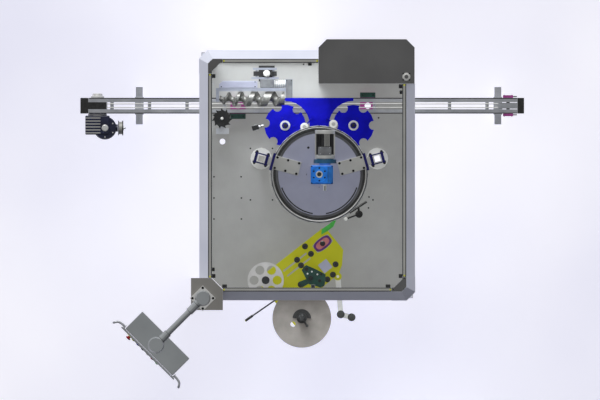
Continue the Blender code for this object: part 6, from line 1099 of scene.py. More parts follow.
class LABELLER_OT_head_drive(Operator):
    """Build the worm gearbox with its hollow shaft and the finned motor beside it"""

    bl_idname = "labeller.head_drive"
    bl_label = "Head drive"

    def execute(self, context):
        sizes = context.scene.labeller_sizes
        box = span((-0.069, 0.108), (-0.078, 0.0725), (1.5153, 1.6653), 0)
        edit_all(box)
        bpy.ops.mesh.select_all(action="DESELECT")
        bpy.ops.object.mode_set(mode="OBJECT")
        for face in box.data.polygons:
            face.select = abs(face.normal.y) > 0.9
        bpy.ops.object.mode_set(mode="EDIT")
        bpy.ops.mesh.inset(thickness=0.014, depth=-0.004)
        leave_edit()
        box = round_edges(box, 0.009, 4)
        flange = lathe(
            [
                (0.0, 1.660), (0.0635, 1.660), (0.0640, 1.6735), (0.0620, 1.6755), (0.0580, 1.6755),
                (0.0565, 1.6735), (0.0300, 1.6735), (0.0, 1.6735),
            ],
            (0, 0), 72,
        )
        mount = bar(0.0430, (MOTOR_X, 0.0725, MOTOR_Z), (MOTOR_X, 0.0822, MOTOR_Z), 48, 0.001)
        done(
            [box, flange, mount], "worm_gearbox", "head", "gearbox_enamel",
            ("head_gearbox",),
        )

        shaft = lathe(
            [
                (0.0165, 1.655), (0.0270, 1.655), (0.0270, 1.6940), (0.0255, 1.6965),
                (0.0185, 1.6965), (0.0165, 1.6945), (0.0165, 1.655),
            ],
            (0, 0), 56,
        )
        stub = lathe(
            [
                (0.0, 0.0), (0.0300, 0.0), (0.0300, 0.004), (0.0200, 0.006), (0.0130, 0.006),
                (0.0130, 0.0465), (0.0118, 0.0480), (0.0, 0.0480),
            ],
            (0.042, -0.0755, MOTOR_Z), 48, (0, -1, 0),
        )
        done([shaft, stub], "gearbox_shafts", "head", "pale_alloy")
        core = drum(0.0164, (0, 0), (1.6600, 1.6900), 40, 0)
        key = span((0.0385, 0.0455), (-0.1220, -0.0860), (1.6140, 1.6172), 0.0008)
        done([core, key], "gearbox_bore_plug", "head", "rubber")
        ribs = [
            span((0.0640 + 0.014 * i, 0.0700 + 0.014 * i), (-0.060, 0.056), (1.6640, 1.6725), 0.001)
            for i in range(3)
        ]
        done(ribs, "gearbox_ribs", "head", "teal_enamel")
        screws = [
            drum(0.0072, polar(0.048, 30 + 60 * i), (1.6730, 1.6790), 6, 0.001) for i in range(6)
        ]
        for x in (-0.057, 0.096):
            for y in (-0.066, 0.060):
                screws.append(drum(0.0050, (x, y), (1.6648, 1.6690), 20, 0.001))
        done(screws, "gearbox_screws", "head", "dark_steel")

        def along(radius, first, last, sides=64, edge=0.0015):
            return bar(radius, (MOTOR_X, first, MOTOR_Z), (MOTOR_X, last, MOTOR_Z), sides, edge)

        plate = along(0.0865, 0.0828, 0.1135, 72, 0.003)
        done(plate, "motor_flange", "head", "teal_enamel", ("head_motor",))
        bands = join(
            along(0.0760, 0.1185, 0.1485, 72, 0.003), along(0.0760, 0.3050, 0.3350, 72, 0.004),
        )
        done(bands, "motor_end_bands", "head", "pale_alloy")
        barrel = [along(0.0640, 0.1135, 0.3340, 56)]
        for i in range(sizes.fins):
            angle = 360 * (i + 0.5) / sizes.fins
            if 68 < angle < 112:
                continue
            x, z = polar(0.0665, angle, (MOTOR_X, MOTOR_Z))
            clear_selection()
            bpy.ops.mesh.primitive_cube_add(
                size=1, location=at(x, 0.2268, z), rotation=(0, -math.radians(angle), 0),
                scale=(0.0130, 0.1562, 0.0028)
            )
            barrel.append(round_edges(settle(bpy.context.object), 0.0008, 1))
        done(barrel, "motor_barrel", "head", "dark_enamel")
        terminal = span((-0.0085, 0.0905), (0.1445, 0.2070), (1.6600, 1.7125), 0.005, 3)
        lid = span((-0.0095, 0.0915), (0.1435, 0.2080), (1.7060, 1.7128), 0.002)
        ribs = [
            span((x, x + 0.0065), (0.2120, 0.3040), (1.6550, 1.6860), 0.001)
            for x in (0.040, 0.055, 0.070)
        ]
        sides = [
            span((x, x + 0.0100), (0.1490, 0.3040), (1.5900, 1.6400), 0.002)
            for x in (-0.0330, 0.1090)
        ]
        done([*ribs, *sides], "motor_top_fins", "head", "arm_alloy")
        done([terminal, lid], "motor_terminal_box", "head", "motor_enamel")
        screws = []
        for x in (0.008, 0.078):
            for y in (0.156, 0.202):
                screws.append(drum(0.0036, (x, y), (1.7120, 1.7132), 16, 0.0004))
        gland = bar(0.0110, (-0.008, 0.179, 1.688), (0.002, 0.179, 1.688), 6, 0.001)
        done([gland, *screws], "terminal_box_screws", "head", "steel")
        return {"FINISHED"}


# Rollers and nip, along and across the label unit from its column
ROLLERS = (
    (-0.028, 0.212), (-0.0276, 0.140), (-0.138, 0.169), (-0.140, 0.118), (0.070, -0.037),
    (0.006, -0.086), (-0.049, -0.088), (-0.103, -0.089), (-0.231, 0.006),
)
NIP_ROLLER = (-0.1255, 0.0689)
NIP_BRIDGE = (
    (-0.158, 0.088), (-0.108, 0.096), (-0.072, 0.030), (-0.035, -0.050), (-0.085, -0.104),
    (-0.125, -0.108), (-0.182, -0.030),
)
NIP_LUG = ((-0.235, -0.020), (-0.170, -0.028), (-0.165, 0.010), (-0.232, 0.030))
NIP_KNOBS = (
    (NIP_ROLLER, 0.0150), ((-0.1423, -0.002), 0.0180), ((-0.100, -0.060), 0.0130),
    ((-0.062, -0.030), 0.0100),
)
NIP_SCREWS = ((-0.105, 0.030), (-0.085, -0.012), (-0.140, 0.038))
BRAKE_LEVEL = 1.0600


def sleeve(centre, radius, z, collar=0.0015):
    """A rubber roller with a collar at each end, turned round its pin."""
    low, high = z
    return lathe(
        [(0.0, low), (radius + collar, low), (radius + collar, low + 0.004), (radius, low + 0.006),
         (radius, high - 0.006), (radius + collar, high - 0.004), (radius + collar, high - 0.0005),
         (radius - 0.003, high + 0.0006), (0.0, high + 0.0006)],
        centre, 40,
    )


class LABELLER_OT_label_unit(Operator):
    """Fit the label unit's rollers, its oval feed motor, the reel chuck and the rewind hub"""

    bl_idname = "labeller.label_unit"
    bl_label = "Label unit"

    def execute(self, context):
        sizes = context.scene.labeller_sizes
        z = (DECK + 0.0003, ROLLER_TOP)
        sleeves = [sleeve(on_label(u, v), 0.0214, z) for u, v in ROLLERS]
        sleeves.append(sleeve(on_label(*NIP_ROLLER), 0.0264, z))
        done(sleeves, "web_guide_rollers", "machine", "rubber")
        pins = []
        for u, v in (*ROLLERS, NIP_ROLLER):
            pins.append(drum(0.0065, on_label(u, v), (ROLLER_TOP, ROLLER_TOP + 0.0022), 20, 0.0006))
        done(pins, "web_guide_pins", "machine", "dark_steel")
        bridge = sheet([on_label(u, v) for u, v in NIP_BRIDGE], (1.1680, 1.1760), 0.002)
        lug = sheet([on_label(u, v) for u, v in NIP_LUG], (1.1676, 1.1720), 0.001)
        done([bridge, lug], "nip_bridge", "machine", "green_enamel")
        knobs = []
        for (u, v), radius in NIP_KNOBS:
            knobs.append(drum(radius, on_label(u, v), (1.1755, 1.1850), 24, 0.002))
        done(knobs, "nip_knobs", "machine", "black_plastic")
        screws = [drum(0.0065, on_label(u, v), (1.1755, 1.1790), 20, 0.001) for u, v in NIP_SCREWS]
        done(screws, "nip_screws", "machine", "pale_alloy")
        start, hold, tip, end = (
            (*on_label(u, v), BRAKE_LEVEL)
            for u, v in ((-0.440, 0.0310), (-0.661, 0.0440), (-0.7294, 0.0480), (-0.7298, 0.0480))
        )
        rod = bar(0.0056, start, tip, 20, 0)
        grip = bar(0.0094, hold, end, 24, 0.003)
        done([rod, grip], "brake_rod_grip", "machine", "black_plastic")

        low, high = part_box("label_feed_motor")
        base, top = low[2], high[2]
        centre = on_label(0.090, 0.147)

        def oval(half_long, half_wide):
            points = []
            for i in range(72):
                turn = 2 * math.pi * i / 72
                a, b = math.cos(turn), math.sin(turn)
                x = half_long * math.copysign(abs(a) ** 0.7, a)
                y = half_wide * math.copysign(abs(b) ** 0.7, b)
                points.append(turned_point(x, y, centre, LABEL_TURN))
            return points

        body = sheet(oval(0.0715, 0.0400), (base, top - 0.012), 0.003)
        lid = sheet(oval(0.0735, 0.0420), (top - 0.040, top - 0.032), 0.002)
        done(
            [body, lid], "feed_motor_case", "machine", "violet_enamel",
            ("label_feed_motor",),
        )
        face = sheet(oval(0.0560, 0.0270), (top - 0.0125, top - 0.008), 0.002)
        done(face, "feed_motor_face", "machine", "salmon_enamel")
        core = lathe(
            [
                (0.0, top - 0.009), (0.0200, top - 0.009), (0.0200, top - 0.005),
                (0.0165, top - 0.003), (0.0165, top - 0.001), (0.0150, top), (0.0, top),
            ],
            centre, 40,
        )
        done(core, "feed_motor_core", "machine", "dark_enamel")

        reel = on_label(-0.3818, -0.2001)
        disc = lathe(
            [
                (0.0, 1.0463), (sizes.reel - 0.001, 1.0463), (sizes.reel, 1.0473),
                (sizes.reel, 1.0503), (sizes.reel - 0.001, 1.0513), (sizes.reel - 0.006, 1.0513),
                (sizes.reel - 0.007, 1.0509), (0.0, 1.0509),
            ],
            reel, 160,
        )
        hole = drum(0.020, polar(0.080, 214, reel), (1.040, 1.060), 40, 0)
        done(
            cut(disc, hole), "reel_disc", "label_reel_disc", "disc_plastic",
            ("label_reel_disc",),
        )
        low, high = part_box("label_reel_disc")
        parts = [lathe(
            [
                (0.0, 1.0315), (0.0380, 1.0315), (0.0392, 1.0510), (0.0392, 1.1600),
                (0.0370, 1.1657), (0.0, 1.1657),
            ],
            reel, 56,
        )]
        jaw = [polar(0.0695, a, reel) for a in range(-2, 183, 6)] + [
            polar(0.0390, a, reel) for a in range(182, -3, -6)
        ]
        parts.append(sheet(jaw, (1.0511, 1.0800), 0.002))
        parts.append(sheet(lobes(0.0245, 0.0020, 6, reel), (1.1650, high[2]), 0.003, 3))
        level = high[2] - 0.0125
        parts.append(pipe(
            [
                (*reel, level), (*polar(0.040, 305, reel), level),
                (*polar(0.068, 305, reel), level - 0.001),
            ],
            0.0075,
        ))
        parts.append(drum(
            0.0115, polar(0.068, 305, reel), (level - 0.013, level + 0.0100), 32, 0.003,
        ))
        done(parts, "reel_chuck", "label_reel_disc", "black_plastic")

        rewind = on_label(-0.4196, 0.1942)
        low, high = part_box("rewind_disc")
        hub = lathe(
            [(0.0, high[2] - 0.004), (0.0300, high[2] - 0.004), (0.0300, high[2] - 0.0005),
             (0.0280, high[2] + 0.0006), (0.0, high[2] + 0.0006)],
            rewind, 48,
        )
        done(hub, "rewind_hub_cap", "rewind_disc", "dark_enamel")

        pivot = on_label(0.0266, -0.1195)
        arms = []
        for dx, dy in ((0.022, -0.286), (0.104, -0.308)):
            arms.append(sleeve((pivot[0] + dx, pivot[1] + dy), 0.0284, (1.0205, ROLLER_TOP)))
        done(arms, "dancer_rollers", "dancer_arm", "rubber")
        return {"FINISHED"}


BRUSH_POST = (0.300, -0.300)
BRUSH_ROLLER = (0.200, -0.336)
BRUSH_LEVEL = 1.100


class LABELLER_OT_brush(Operator):
    """Set the wiping brush with its tufts, its post and the small pressing roller"""

    bl_idname = "labeller.brush"
    bl_label = "Wiping brush"

    def execute(self, context):
        rows = context.scene.labeller_sizes.bristles
        first, last = (0.228, -0.291), (0.358, -0.206)
        run = Vector((last[0] - first[0], last[1] - first[1]))
        turn = math.atan2(run.y, run.x)
        middle = ((first[0] + last[0]) / 2, (first[1] + last[1]) / 2)

        def on_strip(along, across):
            return turned_point(along, across, middle, turn)

        length = run.length
        back = block((length, 0.0065, 0.125), (*on_strip(0, -0.0045), 1.1025), turn, 0.001)
        ribs = [
            block((length, 0.0025, 0.004), (*on_strip(0, 0), level), turn, 0.0006)
            for level in (1.043, 1.162)
        ]
        post = drum(0.010, BRUSH_POST, (TABLE + 0.010, BRUSH_LEVEL + 0.010), 32, 0.001)
        foot = lathe(
            [
                (0.0, TABLE + 0.0004), (0.0280, TABLE + 0.0004), (0.0280, TABLE + 0.010),
                (0.0130, TABLE + 0.016), (0.0130, TABLE + 0.030), (0.0, TABLE + 0.030),
            ],
            BRUSH_POST, 48,
        )
        arm = bar(0.0080, (*BRUSH_POST, BRUSH_LEVEL), (*on_strip(0, -0.006), BRUSH_LEVEL))
        clamp = block((0.036, 0.036, 0.028), (*BRUSH_POST, BRUSH_LEVEL), turn, 0.003)
        carrier = bar(0.0065, (*BRUSH_POST, BRUSH_LEVEL), (*BRUSH_ROLLER, BRUSH_LEVEL))
        case = join(back, *ribs, post, foot, arm, clamp, carrier)
        done(case, "brush_holder", "machine", "black_plastic", ("wiping_brush",))

        start = on_strip(-length / 2 + 0.003, -0.001)
        end = turned_point(0, 0.0105, start, turn)
        tuft = bar(0.0016, (*start, 1.050), (*end, 1.050), 5, 0, 0.0022)
        step = (length - 0.006) / (rows - 1)
        tuft = apply_modifier(
            tuft, "ARRAY", count=rows, use_relative_offset=False, use_constant_offset=True,
            constant_offset_displace=(step * math.cos(turn), step * math.sin(turn), 0),
        )
        tuft = apply_modifier(
            tuft, "ARRAY", count=22, use_relative_offset=False, use_constant_offset=True,
            constant_offset_displace=(0, 0, 0.0050),
        )
        done(tuft, "brush_tufts", "machine", "rubber")
        roller = sleeve(BRUSH_ROLLER, 0.0125, (1.045, 1.160), 0.001)
        done(roller, "pressing_roller", "machine", "white_plastic")
        return {"FINISHED"}


CONSOLE_MIDDLE = 1.665
SCREEN_LEVEL = 1.735
BUTTON_LEVEL = 1.560
STOP = (0.185, 1.540)


class LABELLER_OT_console(Operator):
    """Build the console's box, its panel with screen and buttons, the tube grips and the stop"""

    bl_idname = "labeller.console"
    bl_label = "Console"

    def execute(self, context):
        turn = CONSOLE_TURN
        shell = block((0.195, 0.515, 0.430), (*on_console(0, 0), CONSOLE_MIDDLE), turn, 0)
        for face in shell.data.polygons:
            face.select = face.normal.z > 0.9
        pick(shell)
        bpy.ops.object.mode_set(mode="EDIT")
        bpy.ops.mesh.inset(thickness=0.026, depth=-0.006)
        leave_edit()
        shell = round_edges(shell, 0.004, 3)
        stop_hole = [(*on_console(forward, STOP[0]), STOP[1]) for forward in (0.080, 0.130)]
        gasket = block((0.0035, 0.546, 0.440), (*on_console(0.0962, 0), CONSOLE_MIDDLE), turn, 0)
        gasket = cut(gasket, bar(0.0135, *stop_hole, 48, 0))
        done(gasket, "console_gasket", "console_box", "rubber")
        done(shell, "console_shell", "console_box", "console_coat", ("console_box",))

        panel = block((0.0108, 0.560, 0.454), (*on_console(0.1031, 0), CONSOLE_MIDDLE), turn, 0.003)
        panel = cut(panel, bar(0.0127, *stop_hole, 48, 0))
        neck = lathe(
            [
                (0.0, 1.876), (0.0400, 1.876), (0.0400, 1.884), (0.0280, 1.890), (0.0280, 1.930),
                (0.0, 1.930),
            ],
            on_console(0.016, 0), 48,
        )
        done([panel, neck], "console_front", "console_box", "console_coat")

        bezel = block(
            (0.0030, 0.262, 0.182), (*on_console(0.1095, 0.030), SCREEN_LEVEL), turn, 0.001,
        )
        done(bezel, "screen_bezel", "console_box", "black_plastic")
        glass = block(
            (0.0020, 0.240, 0.160), (*on_console(0.1108, 0.030), SCREEN_LEVEL), turn, 0.0006,
        )
        done(glass, "screen_glass", "console_box", "screen_glass")

        ahead = (math.cos(turn), math.sin(turn), 0)

        def on_panel(right, level, profile, steps=32):
            return lathe(profile, (*on_console(0.1085, right), level), steps, ahead)

        rings = [
            on_panel(
                -0.100 + 0.050 * i, BUTTON_LEVEL,
                [(0.0, 0.0), (0.0155, 0.0), (0.0150, 0.0035), (0.0, 0.0035)],
            )
            for i in range(6)
        ]
        done(rings, "button_rings", "console_box", "turned_steel")
        caps = [
            on_panel(
                -0.100 + 0.050 * i, BUTTON_LEVEL,
                [(0.0, 0.003), (0.0115, 0.003), (0.0115, 0.0065), (0.0100, 0.0078), (0.0, 0.0078)],
            )
            for i in range(6)
        ]
        looks = (
            "lime_coat", "signal_red", "white_plastic", "black_plastic", "blue_plate",
            "signal_yellow",
        )
        for cap, look in zip(caps, looks):
            paint(cap, FINISHES[look])
        done(caps, "button_caps", "console_box")
        ring = on_panel(
            *STOP, [(0.0125, 0.0), (0.0280, 0.0), (0.0280, 0.002), (0.0125, 0.003), (0.0125, 0.0)],
            48,
        )
        done(ring, "stop_ring", "console_box", "signal_yellow")
        head = on_panel(
            *STOP,
            [(0.0, 0.0005), (0.0115, 0.0005), (0.0115, 0.0120), (0.0170, 0.0125), (0.0200, 0.0150),
             (0.0200, 0.0190), (0.0180, 0.0235), (0.0120, 0.0262), (0.0, 0.0270)],
            48,
        )
        done(
            head, "stop_mushroom", "emergency_stop", "signal_red",
            ("emergency_stop",),
        )

        grips = []
        for side in (-1, 1):
            across = 0.3440 * side
            path = []
            for forward, right, level in (
                (0.082, 0.2580 * side, 1.835), (0.084, 0.2950 * side, 1.835),
                (0.093, 0.3250 * side, 1.835),
                (0.117, across, 1.833), (0.1205, across, 1.800), (0.1205, across, 1.665),
                (0.1205, across, 1.530),
                (0.117, across, 1.497), (0.093, 0.3250 * side, 1.495),
                (0.084, 0.2950 * side, 1.495),
                (0.082, 0.2580 * side, 1.495),
            ):
                path.append((*on_console(forward, right), level))
            grips.append(pipe(path, 0.0092, True, 5))
            for level in (1.495, 1.835):
                start, end = on_console(0.0800, 0.2570 * side), on_console(0.0802, 0.2620 * side)
                grips.append(bar(0.0150, (*start, level), (*end, level), 32, 0.001))
        done(grips, "console_grips", "console_box", "steel")
        flange = block(
            (0.1378, 0.1378, 0.0121), (*CONSOLE_PIVOT, 2.01612), math.radians(45), 0.0006,
        )
        done(flange, "pillar_flange", "machine", "pale_alloy")
        rings = []
        for forward in (0.0640, 0.1420, 0.3720, 0.4380):
            start = turned_point(forward, 0, CONSOLE_PIVOT, turn)
            end = turned_point(forward + 0.0028, 0, CONSOLE_PIVOT, turn)
            rings.append(bar(0.0308, (*start, 2.0648), (*end, 2.0648), 48, 0))
        done(rings, "arm_seam_rings", "console_arm", "rubber")
        screws = [
            drum(0.0100, polar(0.078, 270 + 90 * i, CONSOLE_PIVOT), (2.0225, 2.0312), 24, 0.0015)
            for i in range(4)
        ]
        done(screws, "pillar_flange_screws", "machine", "dark_steel")
        return {"FINISHED"}


class LABELLER_OT_conveyor_fittings(Operator):
    """Fit the conveyor's end housings, hoods, strips, take-ups, clamp blocks and bottle sensor"""

    bl_idname = "labeller.conveyor_fittings"
    bl_label = "Conveyor fittings"

    def execute(self, context):
        front, back = 0.4597, 0.5777
        housings = [
            span(x, (front - 0.0006, back + 0.0006), (0.8345, 0.9958), 0.004)
            for x in ((-1.8036, -1.7480), (1.4975, 1.5458))
        ]
        done(housings, "conveyor_end_housings", "machine", "black_plastic")
        strips = [
            span((-1.739, 1.494), y, (0.9850, 0.9982), 0.001)
            for y in ((front - 0.0005, front + 0.0065), (back - 0.0065, back + 0.0005))
        ]
        done(strips, "rail_edge_strips", "machine", "black_plastic")
        ups, screws = [], []
        for face, away in ((front, -1), (back, 1)):
            y = sorted((face + away * 0.0004, face + away * 0.0206))
            ups.append(span((1.3865, 1.4635), y, (PULLEY_Z - 0.0256, PULLEY_Z + 0.0256), 0.002))
            middle = face + away * 0.010
            screws.append(bar(
                0.005, (1.4630, middle, PULLEY_Z), (1.4920, middle, PULLEY_Z), 6, 0.0008,
            ))
            for x in (1.396, 1.454):
                screws.append(bar(
                    0.004, (x, face + away * 0.0200, PULLEY_Z), (x, face + away * 0.0235, PULLEY_Z),
                    6, 0.0006,
                ))
        done(ups, "belt_take_ups", "machine", "magenta_coat")
        cap = lathe(
            [
                (0.0, 0.0), (0.0500, 0.0), (0.0500, 0.0100), (0.0400, 0.0150), (0.0370, 0.0300),
                (0.0300, 0.0350), (0.0, 0.0350),
            ],
            (-1.675, back + 0.0004, PULLEY_Z), 48, (0, 1, 0),
        )
        rim = bar(
            0.0506, (-1.675, back + 0.0050, PULLEY_Z), (-1.675, back + 0.0080, PULLEY_Z), 48, 0,
        )
        done(rim, "drive_bearing_seal", "machine", "rubber")
        wide, narrow = (front + 0.001, back - 0.001), (CONVEYOR_Y - 0.0265, CONVEYOR_Y + 0.0265)
        hoods = [
            span(x, y, (1.0054, 1.0066), 0.0004, 1)
            for x,
            y in (
                ((-1.8036, -1.7450), wide), ((-1.7450, -1.6080), narrow), ((1.4980, 1.5458), wide),
            )
        ]
        done(hoods, "transfer_plate_hoods", "machine", "rubber")
        done(cap, "drive_bearing_cap", "machine", "pale_alloy")

        blocks = []
        for x, y in ((-0.614, (0.4186, 0.4590)), (0.3655, (0.5784, 0.6190))):
            blocks.append(span((x - 0.0582, x + 0.0582), y, (0.8352, 0.9508), 0.003))
            for side in (-0.040, 0.040):
                screws.append(drum(0.0065, (x + side, sum(y) / 2), (0.9500, 0.9560), 6, 0.0008))
        done(blocks, "rail_clamp_blocks", "machine", "green_enamel")
        done(screws, "conveyor_screws", "machine", "dark_steel")

        x, y = -0.478, 0.354
        foot = lathe(
            [
                (0.0, TABLE + 0.0004), (0.0240, TABLE + 0.0004), (0.0240, TABLE + 0.008),
                (0.0110, TABLE + 0.012), (0.0085, TABLE + 0.014), (0.0085, 1.0850), (0.0, 1.0850),
            ],
            (x, y), 40,
        )
        rod = bar(0.0085, (x, y, 1.100), (x + 0.058, y + 0.016, 1.100), 24, 0.001)
        done([foot, rod], "sensor_post", "machine", "turned_steel")
        head = block(
            (0.052, 0.036, 0.040), (x - 0.004, y - 0.001, 1.100), math.radians(16), 0.004, 3,
        )
        eye = bar(
            0.0100, (x + 0.034, y + 0.0095, 1.100), (x + 0.042, y + 0.0118, 1.100), 32, 0.0015,
        )
        done([head, eye], "sensor_head", "machine", "black_plastic")
        return {"FINISHED"}


class LABELLER_OT_conveyor_drive(Operator):
    """Build the gear case, the speed variator, its finned motor and the handwheel"""

    bl_idname = "labeller.conveyor_drive"
    bl_label = "Conveyor drive"

    def execute(self, context):
        x, y = -1.618, 0.350
        case = [span((-1.767, -1.583), (0.300, 0.444), (0.850, 0.992), 0.008, 3)]
        ribs = []
        for i in range(6):
            across = 0.309 + 0.0225 * i
            ribs.append(span(
                (-1.7665, -1.652), (across, across + 0.0075), (0.9900, 0.9992), 0.0012,
            ))
        for i in range(3):
            reach = 0.441 + 0.006 * i
            ribs.append(bar(
                0.0710, (-1.675, reach, PULLEY_Z), (-1.675, reach + 0.0022, PULLEY_Z), 56, 0,
            ))
        done(ribs, "gear_case_ribs", "machine", "arm_alloy")
        case.append(bar(0.0700, (-1.675, 0.440, PULLEY_Z), (-1.675, 0.4590, PULLEY_Z), 56, 0.002))
        profile = [(0.0, 0.690), (0.0830, 0.690), (0.0870, 0.694)]
        for i in range(9):
            level = 0.715 + 0.024 * i
            profile += [
                (0.0870, level), (0.0835, level + 0.003), (0.0835, level + 0.010),
                (0.0870, level + 0.013),
            ]
        profile += [(0.0870, 0.975), (0.0800, 0.985), (0.0, 0.985)]
        case.append(lathe(profile, (x, y), 72))
        case.append(bar(0.0280, (x, y, 0.900), (-1.5205, y, 0.900), 40, 0.002))
        done(case, "gear_case", "machine", "navy_enamel", ("conveyor_gearmotor",))
        profile = [(0.0, 0.480), (0.0640, 0.480), (0.0680, 0.486)]
        for i in range(12):
            level = 0.500 + 0.0145 * i
            profile += [
                (0.0655, level), (0.0715, level + 0.001), (0.0715, level + 0.004),
                (0.0655, level + 0.005),
            ]
        profile += [(0.0680, 0.685), (0.0680, 0.6900), (0.0, 0.6900)]
        done(lathe(profile, (x, y), 72), "conveyor_motor", "machine", "dark_enamel")
        cap = lathe(
            [
                (0.0, 0.984), (0.0300, 0.984), (0.0300, 0.990), (0.0225, 0.993), (0.0225, 0.9990),
                (0.0200, 1.0010), (0.0, 1.0010),
            ],
            (x, y), 48,
        )
        screws = [
            drum(0.0055, polar(0.068, 30 + 60 * i, (x, y)), (0.9800, 0.9890), 6, 0.0008)
            for i in range(6)
        ]
        done([cap, *screws], "variator_cap", "machine", "pale_alloy")

        rims = [
            bar(0.0560, (-1.5188, y, 0.900), (-1.5128, y, 0.900), 72, 0.002),
            bar(0.0560, (-1.4880, y, 0.900), (-1.4800, y, 0.900), 72, 0.0025),
        ]
        done(
            rims, "handwheel_rims", "variator_handwheel", "black_plastic",
            ("variator_handwheel",),
        )
        profile = [(0.0, 0.0), (0.0470, 0.0)]
        for i in range(5):
            reach = 0.0020 + 0.0048 * i
            profile += [
                (0.0480, reach), (0.0466, reach + 0.0016), (0.0466, reach + 0.0030),
                (0.0480, reach + 0.0040),
            ]
        profile += [(0.0470, 0.0255), (0.0, 0.0255)]
        band = lathe(profile, (-1.5132, y, 0.900), 72, (1, 0, 0))
        done(band, "handwheel_band", "variator_handwheel", "arm_alloy")
        boss = lathe(
            [
                (0.0, -0.010), (0.0098, -0.010), (0.0098, 0.000), (0.0180, 0.002), (0.0180, 0.0310),
                (0.0150, 0.0330), (0.0, 0.0330),
            ],
            (-1.508, y, 0.900), 40, (1, 0, 0),
        )
        crank = lathe(
            [
                (0.0, 0.0), (0.0045, 0.0), (0.0045, 0.006), (0.0065, 0.009), (0.0070, 0.018),
                (0.0058, 0.023), (0.0, 0.0248),
            ],
            (-1.4850, y, 0.9385), 32, (1, 0, 0),
        )
        done([boss, crank], "handwheel_hub", "variator_handwheel", "turned_steel")
        return {"FINISHED"}


# The infeed screw: its axis over the table, its taper, and the pocket that winds along it
SCREW_AXIS = (0.5693, 1.105)
SCREW_START = 0.034
SCREW_SWELL = 0.023
SCREW_TAPER = 0.090
SCREW_CORE = 0.016
FIRST_PITCH = 0.072
LAST_PITCH = math.tau * 0.150 / 6
GROWING_TURNS = 5
POCKET_RADIUS = 0.03475
BOTTLE_OFF_AXIS = 0.0506
POCKET_PHASE = 0.35
GATE_STAR = (-0.7346, 0.422)


def groove_radius(x, angle):
    """The infeed screw's radius where a bottle-shaped pocket winds past, x metres along it."""
    radius = SCREW_START + SCREW_SWELL * min(1.0, x / SCREW_TAPER)
    growth = (LAST_PITCH / FIRST_PITCH) ** (1 / GROWING_TURNS)
    for whole in range(-2, 8):
        turns = whole + POCKET_PHASE - angle / math.tau
        away = x - FIRST_PITCH * (growth**turns - 1) / math.log(growth)
        if abs(away) < POCKET_RADIUS:
            radius = min(radius, BOTTLE_OFF_AXIS - math.sqrt(POCKET_RADIUS**2 - away**2))
    return max(radius, SCREW_CORE)


def timing_screw(start, length, stations=220, sides=72):
    """A rod shaped station by station into a bottle-shaped groove of growing pitch."""
    clear_selection()
    bpy.ops.mesh.primitive_grid_add(
        x_subdivisions=stations, y_subdivisions=sides, size=1, location=(0, 0, 0),
    )
    piece = settle(bpy.context.object)
    for vertex in piece.data.vertices:
        along, angle = (vertex.co.x + 0.5) * length, -(vertex.co.y + 0.5) * math.tau
        radius = groove_radius(along, angle)
        place = at(
            start[0] + along, start[1] + radius * math.cos(angle),
            start[2] + radius * math.sin(angle),
        )
        vertex.co = place
    edit_all(piece)
    bpy.ops.mesh.remove_doubles(threshold=0.00001)
    bpy.ops.mesh.select_all(action="DESELECT")
    bpy.ops.mesh.select_non_manifold()
    bpy.ops.mesh.edge_face_add()
    bpy.ops.mesh.select_all(action="SELECT")
    bpy.ops.mesh.normals_make_consistent(inside=False)
    leave_edit()
    return piece


